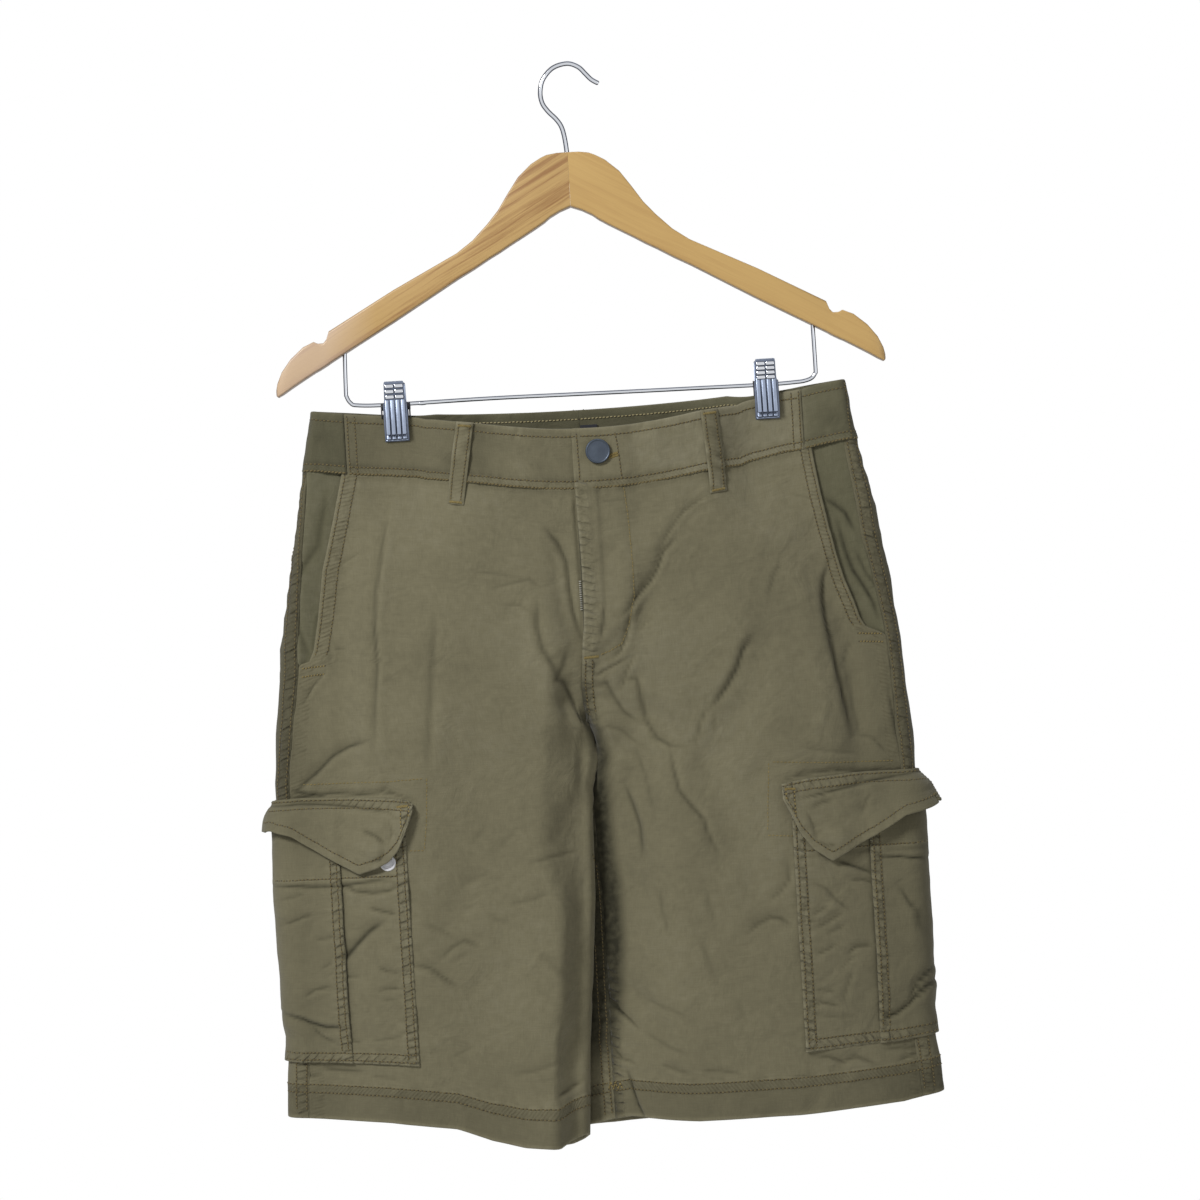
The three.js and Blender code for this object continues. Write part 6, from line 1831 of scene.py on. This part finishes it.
# Both chromes get a painted dark reflection at their turned-away edges. The front plate is a darker copy of
# the clip steel: painted shade between the flutes.
chrome = hardMaterial("chromedWire", (0.86, 0.88, 0.92), (0.66, 0.69, 0.75), 1.0, 0.08, 0.16, bump=0.0,
                      rim=(0.035, 0.045, 0.07))
clipChrome = hardMaterial("brushedClipSteel", (0.4, 0.46, 0.58), (0.27, 0.32, 0.43), 0.9, 0.3, 0.44,
                          rim=(0.05, 0.06, 0.09))
clipPlateShaded = hardMaterial("shadedClipSteel", (0.2, 0.23, 0.3), (0.1, 0.12, 0.17), 0.9, 0.35, 0.5)
springSteel = hardMaterial("springSteel", (0.06, 0.06, 0.065), (0.025, 0.025, 0.03), 0.8, 0.3, 0.5)
gunmetal = hardMaterial("gunmetal", (0.085, 0.105, 0.135), (0.05, 0.062, 0.082), 0.75, 0.34, 0.5, 900.0)
snapPlastic = hardMaterial("snapPlastic", (0.82, 0.82, 0.84), (0.7, 0.7, 0.73), 0.0, 0.25, 0.4)
zipMetal = hardMaterial("zipMetal", (0.5, 0.49, 0.43), (0.3, 0.29, 0.25), 0.4, 0.3, 0.5, 700.0)
zipTapeCloth = clothMaterial("zipTape", (0.075, 0.07, 0.045), (0.14, 0.13, 0.09), pitch=0.0012)
labelCloth = hardMaterial("labelSatin", (0.022, 0.024, 0.032), (0.014, 0.015, 0.02), 0.0, 0.35, 0.55, 800.0)


# Grain that runs along X, with dark streaks, wide bands and pores.
def makeGrain():
    tree, gin, gout = addGroup(
        "woodGrain",
        [("Vector", "Vector", None), ("Streaks", "Float", 0.5),
         ("Light", "Color", (0.8, 0.5, 0.2, 1)), ("Deep", "Color", (0.5, 0.25, 0.1, 1))],
        [("Color", "Color"), ("Height", "Float")])
    vector = gin.outputs["Vector"]
    bent = node(tree, "TexNoise", {"Vector": vector, "Scale": 5.0, "Detail": 2.0})
    wander = node(tree, "VectorMath", {0: bent.outputs[1], 3: 0.012}, operation="SCALE")
    moved = node(tree, "VectorMath", {0: vector, 1: wander.outputs[0]}, operation="ADD")
    long = node(tree, "Mapping", {0: moved.outputs[0], "Scale": (6.0, 60.0, 250.0)})
    streak = node(tree, "TexNoise", {"Vector": long.outputs[0], "Scale": 1.0, "Detail": 6.0,
                                     "Roughness": 0.72})
    finer = node(tree, "Mapping", {0: vector, "Scale": (30.0, 600.0, 900.0)})
    pores = node(tree, "TexNoise", {"Vector": finer.outputs[0], "Scale": 1.0, "Detail": 3.0})
    wide = node(tree, "Mapping", {0: moved.outputs[0], "Scale": (2.5, 20.0, 42.0)})
    rings = node(tree, "TexNoise", {"Vector": wide.outputs[0], "Scale": 1.0, "Detail": 2.0})
    sharpened = node(tree, "MapRange", {0: streak.outputs[0], 1: 0.48, 2: 0.62, 3: 0.0, 4: 1.0})
    deeper = sums(tree, "MULTIPLY", sharpened.outputs[0], gin.outputs["Streaks"])
    deeper = sums(tree, "ADD", deeper, sums(tree, "MULTIPLY_ADD", rings.outputs[0], 0.55, -0.2))
    poreMask = sums(tree, "MULTIPLY_ADD", pores.outputs[0], 0.5, -0.25)
    deeper = sums(tree, "ADD", deeper, poreMask, clamp=True)
    feed(tree, gout, {"Color": blend(tree, deeper, gin.outputs["Light"], gin.outputs["Deep"]),
                      "Height": sums(tree, "SUBTRACT", 1.0, deeper)})
    return tree


grainGroup = makeGrain()


# The grain is turned by the arm's slope. paleFrom is where, going out along x, the arm starts
# to turn pale and pinkish.
def woodMaterial(name, light, deep, streaks, slope, shift, paleFrom=None):
    material, tree, shader = newMaterial(name)
    place = node(tree, "TexCoord")
    turned = node(tree, "Mapping", {0: place.outputs["Object"], "Location": shift,
                                    "Rotation": (0, math.radians(slope), 0)})
    grain = node(tree, "Group", node_tree=grainGroup)
    feed(tree, grain, {"Vector": turned.outputs[0], "Streaks": streaks, "Light": (*light, 1),
                       "Deep": (*deep, 1)})
    colour = grain.outputs["Color"]
    if paleFrom:
        axes = node(tree, "SeparateXYZ", {0: place.outputs["Object"]})
        pale = node(tree, "MapRange", {0: axes.outputs[0], 1: paleFrom, 2: paleFrom - 0.04,
                                       3: 0.0, 4: 0.6})
        colour = blend(tree, pale.outputs[0], colour, (0.66, 0.5, 0.38, 1))
    # painted shade: the colour darkens towards brown where the rounded arm turns away from view
    facing = node(tree, "LayerWeight", {"Blend": 0.5})
    rounded = node(tree, "MapRange", {0: facing.outputs["Facing"], 1: 0.3, 2: 0.75, 3: 0.0, 4: 0.8})
    smears = node(tree, "TexNoise", {"Vector": place.outputs["Object"], "Scale": 40.0, "Detail": 3.0})
    gloss = node(tree, "MapRange", {0: smears.outputs[0], 3: 0.32, 4: 0.5})
    bump = node(tree, "Bump", {"Strength": 0.12, "Distance": 0.0002, "Height": grain.outputs["Height"]})
    feed(tree, shader, {
        "Base Color": blend(tree, rounded.outputs[0], colour, (0.17, 0.085, 0.03, 1)),
        "Roughness": gloss.outputs[0], "Normal": bump.outputs[0], "Coat Weight": 0.15,
        "Coat Roughness": 0.25})
    return material


woodRight = woodMaterial("figuredBeech", (0.56, 0.36, 0.135), (0.3, 0.14, 0.045), 0.8, 29, (0.3, 0.1, 0.2),
                         paleFrom=-0.15)
woodLeft = woodMaterial("plainBeech", (0.6, 0.385, 0.135), (0.42, 0.23, 0.075), 0.25, -29, (0.9, 0.5, 0.4))

makeZip()

hanger = {"joinX": -3.6, "halfThick": 6.0, "round": 3.4, "wire": 1.75, "bar": 1.5}
# Distance out from where the arms meet, upper edge, lower edge
armEdges = [
    (0.04, -63.4, -103), (8, -63.5, -106), (15.5, -64.6, -110), (20, -66.5, -113.5),
    (27, -70.5, -117.8), (37, -79.4, -123.5), (45, -90.6, -128), (53, -102.6, -132.8),
    (61.5, -112.3, -137.4), (73, -123.6, -144.2), (85, -132.1, -150.6), (133, -156.2, -178.7),
    (181.5, -183.2, -206), (183.6, -189, -207.4), (186, -191.6, -208.8), (190, -191.6, -211),
    (193, -190.2, -212.4), (201, -193.7, -217), (210.5, -201.9, -222.6), (217.5, -211, -227),
    (221.2, -219, -229), (222.6, -224, -228.5),
]


# Selects the edges whose two ends pass the test.
def selectEdges(mesh, test):
    mesh.update()
    for part in (*mesh.vertices, *mesh.polygons):
        part.select = False
    for edge in mesh.edges:
        edge.select = test(*(mesh.vertices[i].co for i in edge.vertices))


# An arm is a plate end, extruded from station to station, its long edges rounded over.
def makeArm(name, sign, material, replaced):
    x0, top, low = armEdges[0]
    deselectAll()
    bpy.ops.mesh.primitive_plane_add(size=1, rotation=(0, math.pi / 2, 0))
    arm = bpy.context.object
    arm.name = name
    bpy.ops.object.transform_apply(rotation=True)
    arm.scale = (1, 2 * hanger["halfThick"] * mm, (top - low) * mm)
    arm.location = ((hanger["joinX"] + sign * x0) * mm, 0, (top + low) / 2 * mm)
    bpy.ops.object.transform_apply(location=True, rotation=True, scale=True)
    bpy.ops.object.mode_set(mode="EDIT")
    bpy.ops.mesh.select_all(action="SELECT")
    centre, tall = (top + low) / 2, top - low
    # the last two stations are also thinner than the one before
    thinning = [1] * (len(armEdges) - 3) + [0.82, 0.6]
    for (x, top, low), thin in zip(armEdges[1:], thinning):
        newCentre = (top + low) / 2
        move = (sign * (x - x0) * mm, 0, (newCentre - centre) * mm)
        bpy.ops.mesh.extrude_region_move(TRANSFORM_OT_translate={"value": move})
        bpy.ops.transform.resize(value=(1, thin, (top - low) / tall),
                                 center_override=((hanger["joinX"] + sign * x) * mm, 0, newCentre * mm))
        x0, centre, tall = x, newCentre, top - low
    bpy.ops.mesh.select_all(action="SELECT")
    bpy.ops.mesh.normals_make_consistent(inside=False)
    bpy.ops.mesh.select_mode(type="EDGE")
    bpy.ops.mesh.select_all(action="DESELECT")
    bpy.ops.object.mode_set(mode="OBJECT")
    tip = (hanger["joinX"] + sign * armEdges[-1][0]) * mm
    selectEdges(arm.data, lambda a, b: abs(a.x - b.x) > 1e-5
                or min(abs(a.x - tip), abs(b.x - tip)) < 1e-5)
    bpy.ops.object.mode_set(mode="EDIT")
    bpy.ops.mesh.bevel(offset=hanger["round"] * mm, segments=5, clamp_overlap=True)
    bpy.ops.object.mode_set(mode="OBJECT")
    bpy.ops.object.shade_smooth_by_angle(angle=math.radians(42))
    return finishPiece(arm, material, [replaced])


# A smooth line through points, with a number of steps between each two.
def catmullRom(points, steps):
    points = [np.array(p, float) for p in points]
    points = [2 * points[0] - points[1]] + points + [2 * points[-1] - points[-2]]
    out = []
    for p0, p1, p2, p3 in zip(points, points[1:], points[2:], points[3:]):
        for t in np.arange(steps) / steps:
            out.append(0.5 * (2 * p1 + (p2 - p0) * t + (2 * p0 - 5 * p1 + 4 * p2 - p3) * t * t
                              + (3 * p1 - p0 - 3 * p2 + p3) * t ** 3))
    return np.array(out + [points[-2]])


# A round wire along points of (x, z), narrower at its two ends.
def makeWire(name, points, radius, replaced):
    curve = bpy.data.curves.new(name, "CURVE")
    curve.dimensions = "3D"
    curve.bevel_depth, curve.bevel_resolution, curve.use_fill_caps = radius * mm, 4, True
    spline = curve.splines.new("POLY")
    path = catmullRom(points, 6)
    spline.points.add(len(path) - 1)
    for point, (x, z) in zip(spline.points, path):
        point.co = (x * mm, 0, z * mm, 1)
    spline.points[0].radius = spline.points[-1].radius = 0.72
    piece = bpy.data.objects.new(name, curve)
    bpy.context.collection.objects.link(piece)
    makeActive(piece)
    bpy.ops.object.convert(target="MESH")
    piece = bpy.context.object
    bpy.ops.object.shade_smooth_by_angle(angle=math.radians(50))
    return finishPiece(piece, chrome, [replaced])


makeArm("hangerArmRight", -1, woodRight, "hanger_arm_right")
makeArm("hangerArmLeft", 1, woodLeft, "hanger_arm_left")
hookPath = [
    (22.2, -14.2), (17, -10.9), (12.9, -6.4), (8, -1.2), (0, 1.75), (-10.6, -0.9), (-18.2, -8.8),
    (-20.7, -18), (-19.7, -26), (-15.8, -32.3), (-10.4, -38.2), (-6.9, -43.9), (-5.1, -51.5),
    (-4, -62.5), (-3.6, -74), (-3.6, -86),
]
barPath = [
    (-174.6, -193), (-175.6, -226), (-175.2, -231.5), (-172.6, -236), (-167.6, -238), (-144, -239),
    (-70, -238.8), (-5, -239.6), (65, -240.4), (130.8, -241), (153, -240.5), (159.4, -239.9),
    (164.4, -238.2), (167, -235), (167.6, -231), (167.4, -194),
]
makeWire("hangerHook", hookPath, hanger["wire"], "hanger_hook")
makeWire("hangerBar", barPath, hanger["bar"], "hanger_bar")
# the bar is crimped beside one clip
deselectAll()
bpy.ops.mesh.primitive_uv_sphere_add(segments=20, ring_count=12, radius=mm)
crimp = bpy.context.object
crimp.name, crimp.scale = "barCrimp", (4.6, 1.7, 1.6)
crimp.location = Vector((-120.5, 0, -239.2)) * mm
bpy.ops.object.transform_apply(location=True, rotation=True, scale=True)
bpy.ops.object.shade_smooth()
finishPiece(crimp, chrome)

# z, distance of a jaw's plate from the middle, half its width
jawStations = [
    (-222.9, 8.6, 6.6), (-223.4, 9.5, 7.1), (-225, 9.5, 7.3), (-230, 8.7, 7.4), (-236, 7.8, 7.6),
    (-238.0, 7.5, 7.9), (-239.4, 7.4, 8.6), (-246, 7.4, 8.7), (-254, 6.6, 8.75), (-260, 5.3, 8.8),
    (-264.6, 4.1, 8.8), (-266.2, 3.3, 8.7),
]
clips = {"right": -133.0, "left": 137.5, "plate": 0.9, "ribs": {"right": 3, "left": 4}, "flutes": 4,
         "fluteStep": 3.9,
         "coil": {"right": 21.5, "left": 18.5}}


# A bar with rounded edges, leaning back by its tilt.
def addBar(parts, x, y, z, wide, deep, tall, tilt, bevel):
    deselectAll()
    bpy.ops.mesh.primitive_cube_add(size=1)
    bar = bpy.context.object
    bar.scale = (wide * mm, deep * mm, tall * mm)
    bpy.ops.object.transform_apply(scale=True)
    bpy.ops.object.mode_set(mode="EDIT")
    bpy.ops.mesh.select_all(action="SELECT")
    bpy.ops.mesh.bevel(offset=bevel * mm, segments=3, clamp_overlap=True)
    bpy.ops.object.mode_set(mode="OBJECT")
    bar.rotation_euler = (tilt, 0, 0)
    bar.location = (x * mm, y * mm, z * mm)
    bpy.ops.object.transform_apply(location=True, rotation=True, scale=True)
    parts.append(bar)


def joined(parts, name):
    makeActive(parts[0])
    for part in parts:
        part.select_set(True)
    bpy.ops.object.join()
    bpy.ops.object.shade_smooth_by_angle(angle=math.radians(38))
    parts[0].name = name
    return parts[0]


def jawOut(z):
    return float(np.interp(-z, [-s[0] for s in jawStations], [s[1] for s in jawStations]))


# A jaw is a bent plate. The front one has ribs for the fingers above and flutes below.
def makeJaw(side, face):
    sign = -1 if face == "front" else 1
    x = shorts["centreX"] + clips[side]
    rows = []
    shares = (-1, -0.82, -0.4, 0, 0.4, 0.82, 1)
    for z, out, half in jawStations:
        for share in shares:
            edge = 0.9 * max(0, abs(share) - 0.8) / 0.2 * float(smooth((-238 - z) / 3))
            rows.append((x + share * half, sign * (out - edge), z))
    deselectAll()
    bpy.ops.mesh.primitive_grid_add(x_subdivisions=len(shares) - 1,
                                    y_subdivisions=len(jawStations) - 1, size=1)
    jaw = bpy.context.object
    order = sorted(range(len(jaw.data.vertices)),
                   key=lambda i: (-round(jaw.data.vertices[i].co.y, 4), jaw.data.vertices[i].co.x))
    for i, place in zip(order, rows):
        jaw.data.vertices[i].co = Vector(place) * mm
    wall = jaw.modifiers.new("plate", "SOLIDIFY")
    wall.thickness, wall.offset = clips["plate"] * mm, 0
    bpy.ops.object.modifier_apply(modifier="plate")
    edge = jaw.modifiers.new("edge", "BEVEL")
    edge.width, edge.segments = 0.22 * mm, 2
    edge.limit_method, edge.angle_limit = "ANGLE", math.radians(50)
    bpy.ops.object.modifier_apply(modifier="edge")
    jaw.name = "clip" + side.capitalize() + face.capitalize()
    finishPiece(jaw, clipPlateShaded if face == "front" else clipChrome, [f"clip_{side}_{face}"])
    if face == "back":
        return
    parts = []
    ribs = clips["ribs"][side]
    for k in range(ribs):
        z = -226.2 - k * clips["fluteStep"] * (3 / ribs) ** 0.6
        for dx in (-3.5, 3.5):
            addBar(parts, x + dx, -(jawOut(z) + 0.55), z, 6.6, 1.7, 3.0, -0.13, 0.75)
    finishPiece(joined(parts, "fingerRibs" + side.capitalize()), chrome)
    parts = []
    for k in range(clips["flutes"]):
        dx = (k - 1.5) * clips["fluteStep"]
        addBar(parts, x + dx, -(jawOut(-248) + 0.75), -248.6, 3.4, 2.0, 26.5, -0.06, 0.8)
        addBar(parts, x + dx, -(jawOut(-262) + 0.45), -262.2, 3.3, 1.5, 5.5, -0.26, 0.6)
    addBar(parts, x, -(jawOut(-265.6) + 0.5), -265.3, 16.6, 1.5, 1.4, -0.3, 0.5)
    finishPiece(joined(parts, "clipFlutes" + side.capitalize()), clipChrome)


# The coil that closes a clip shows black at both its sides.
def makeSpring(side):
    x = shorts["centreX"] + clips[side]
    wide = clips["coil"][side]
    deselectAll()
    bpy.ops.mesh.primitive_cylinder_add(vertices=24, radius=2.7 * mm, depth=wide * mm,
                                        location=(x * mm, 0, -240.5 * mm), rotation=(0, math.pi / 2, 0))
    bpy.ops.object.transform_apply(location=True, rotation=True, scale=True)
    parts = [bpy.context.object]
    for dx in (0.5 - wide / 2, wide / 2 - 0.5):
        addBar(parts, x + dx, -2.5, -244.5, 1.1, 1.2, 9.5, -0.1, 0.3)
    finishPiece(joined(parts, "clipCoil" + side.capitalize()), springSteel, [f"clip_{side}_spring"])


for side in ("right", "left"):
    for face in ("front", "back"):
        makeJaw(side, face)
    makeSpring(side)
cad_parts["waist_label"].material_slots[0].material = labelCloth
print("hanger made")


# A disc drawn out ring by ring: each ring holds its rise and its radius.
def turnedDisc(name, sides, radius, rings, facing, place):
    deselectAll()
    bpy.ops.mesh.primitive_circle_add(vertices=sides, radius=radius * mm, fill_type="NGON")
    disc = bpy.context.object
    disc.name = name
    bpy.ops.object.mode_set(mode="EDIT")
    bpy.ops.mesh.select_all(action="SELECT")
    for rise, target in rings:
        bpy.ops.mesh.extrude_region_move(TRANSFORM_OT_translate={"value": (0, 0, rise * mm)})
        bpy.ops.transform.resize(value=(target / radius, target / radius, 1))
        radius = target
    bpy.ops.mesh.select_all(action="SELECT")
    bpy.ops.mesh.normals_make_consistent(inside=False)
    bpy.ops.object.mode_set(mode="OBJECT")
    bpy.ops.object.shade_smooth_by_angle(angle=math.radians(40))
    disc.rotation_euler = Vector(facing).to_track_quat("Z", "Y").to_euler()
    disc.location = Vector(place) * mm
    bpy.ops.object.transform_apply(location=True, rotation=True, scale=True)
    return disc


# The button's rings run from the shank side up, over its rim and into the dish.
waistButton = {
    "x": 12.2, "z": -286.3, "back": 7.2, "lift": 1.85,
    "rings": ((0.5, 8.6), (0.5, 9.0), (1.0, 9.0), (0.5, 8.7), (0.25, 8.2), (-0.1, 7.8),
              (-0.45, 7.4), (-0.05, 7.0), (0.12, 4.5), (0.1, 2.0), (0.04, 0.3)),
}


def makeButton():
    level = waistButton["z"] + shorts["backSag"] + shorts["frontSag"]
    s = np.array([float(alongFront(sectionAt("left", level), waistButton["x"]))])
    p = surfaceAt("left", level, s)[0][0]
    n = facingAt("left", level, s)[0]
    button = turnedDisc("waistButton", 48, waistButton["back"], waistButton["rings"], n,
                        p + n * (fly["raise"] + waistButton["lift"]))
    finishPiece(button, gunmetal, ["waist_button"])


makeButton()


def sewButtonhole():
    thread = Thread("buttonholeStitching", ochreThread)
    tree = surfaceTree([cloths["band", "left"]])
    for dz in (-0.9, 0.9):
        hits = fromFront([(12.6, -287.6 + dz), (20.0, -285.8 + dz)], 1.0, tree)
        for k in range(1, len(hits) - 1):
            (a, _), (place, normal), (b, _) = hits[k - 1], hits[k], hits[k + 1]
            thread.add(place + normal * 0.2, normal.cross(b - a), normal, stitchForm(1.9, 0.55, 0.5))
    thread.finish()


sewButtonhole()


# Press studs on the pockets, under the tips of the flaps: a rim round a sunken middle.
studs = {
    "right": (-163.9, -570.2), "left": (157.0, -574.0), "radius": 6.0,
    "rings": ((0.6, 6.0), (0.35, 5.6), (0.0, 4.4), (-0.5, 4.0), (0.0, 1.8), (0.7, 1.5), (0.0, 0.2)),
}


def makeStud(side):
    tree = surfaceTree([cloths["pocket", side]])
    x, z = studs[side]
    place, normal = tree.ray_cast(Vector((x, -120, z)), Vector((0, 1, 0)))[:2]
    stud = turnedDisc("pressStud" + side.capitalize(), 36, studs["radius"], studs["rings"], normal,
                      place - normal * 0.25)
    finishPiece(stud, snapPlastic, [f"snap_{side}"])


for side in ("right", "left"):
    makeStud(side)


def makeFloor():
    deselectAll()
    bpy.ops.mesh.primitive_plane_add(size=2.4, location=(0, 0, -1.15))
    floor = bpy.context.object
    floor.name = "floor"
    bpy.ops.object.transform_apply(location=True)
    material, tree, shader = newMaterial("paleFloor")
    place = node(tree, "TexCoord")
    cloud = node(tree, "TexNoise", {"Vector": place.outputs["Object"], "Scale": 3.0, "Detail": 4.0})
    tone = blend(tree, cloud.outputs[0], (0.84, 0.84, 0.83, 1), (0.88, 0.88, 0.87, 1))
    feed(tree, shader, {"Base Color": tone, "Roughness": 0.7})
    floor.data.materials.append(material)


makeFloor()


def softLight(name, place, aim, size, power):
    data = bpy.data.lights.new(name, "AREA")
    data.shape, data.size, data.energy = "DISK", size, power
    lamp = bpy.data.objects.new(name, data)
    lamp.location = place
    lamp.rotation_euler = (Vector(aim) - Vector(place)).to_track_quat("-Z", "Y").to_euler()
    bpy.context.collection.objects.link(lamp)


studio = {"keyPower": 56.0, "fillPower": 4.5, "topPower": 8.0, "air": 0.26}
softLight("keyLight", (-1.45, -1.9, 1.1), (0, 0, -0.45), 0.75, studio["keyPower"])
softLight("fillLight", (1.7, -1.9, -0.2), (0, 0, -0.45), 1.6, studio["fillPower"])
softLight("topLight", (0.3, 0.7, 1.3), (0, 0, -0.3), 1.2, studio["topPower"])

world = bpy.data.worlds.new("studioAir")
bpy.context.scene.world = world
world.use_nodes = True
air = world.node_tree
background = next(n for n in air.nodes if n.type == "BACKGROUND")
background.inputs[0].default_value = (1, 1, 1, 1)
seen = node(air, "LightPath")
open_ = sums(air, "MAXIMUM", seen.outputs["Is Camera Ray"],
             sums(air, "MULTIPLY", seen.outputs["Is Glossy Ray"], 0.75))
strength = sums(air, "MULTIPLY_ADD", open_, 1 - studio["air"], studio["air"])
air.links.new(strength, background.inputs["Strength"])

lens = {"across": 0.876, "away": 2.2, "aimX": 0.00025, "aimZ": -0.3906, "roll": 3.5}
camera = bpy.data.cameras.new("camera")
camera.sensor_width = 36
camera.lens = 36 * lens["away"] / lens["across"]
view = bpy.data.objects.new("camera", camera)
view.location = (lens["aimX"], -lens["away"], lens["aimZ"])
upright = Matrix.Rotation(math.radians(90), 4, "X")
view.rotation_euler = (upright @ Matrix.Rotation(math.radians(-lens["roll"]), 4, "Z")).to_euler()
bpy.context.collection.objects.link(view)
scene = bpy.context.scene
scene.camera = view
scene.view_settings.view_transform = "Standard"
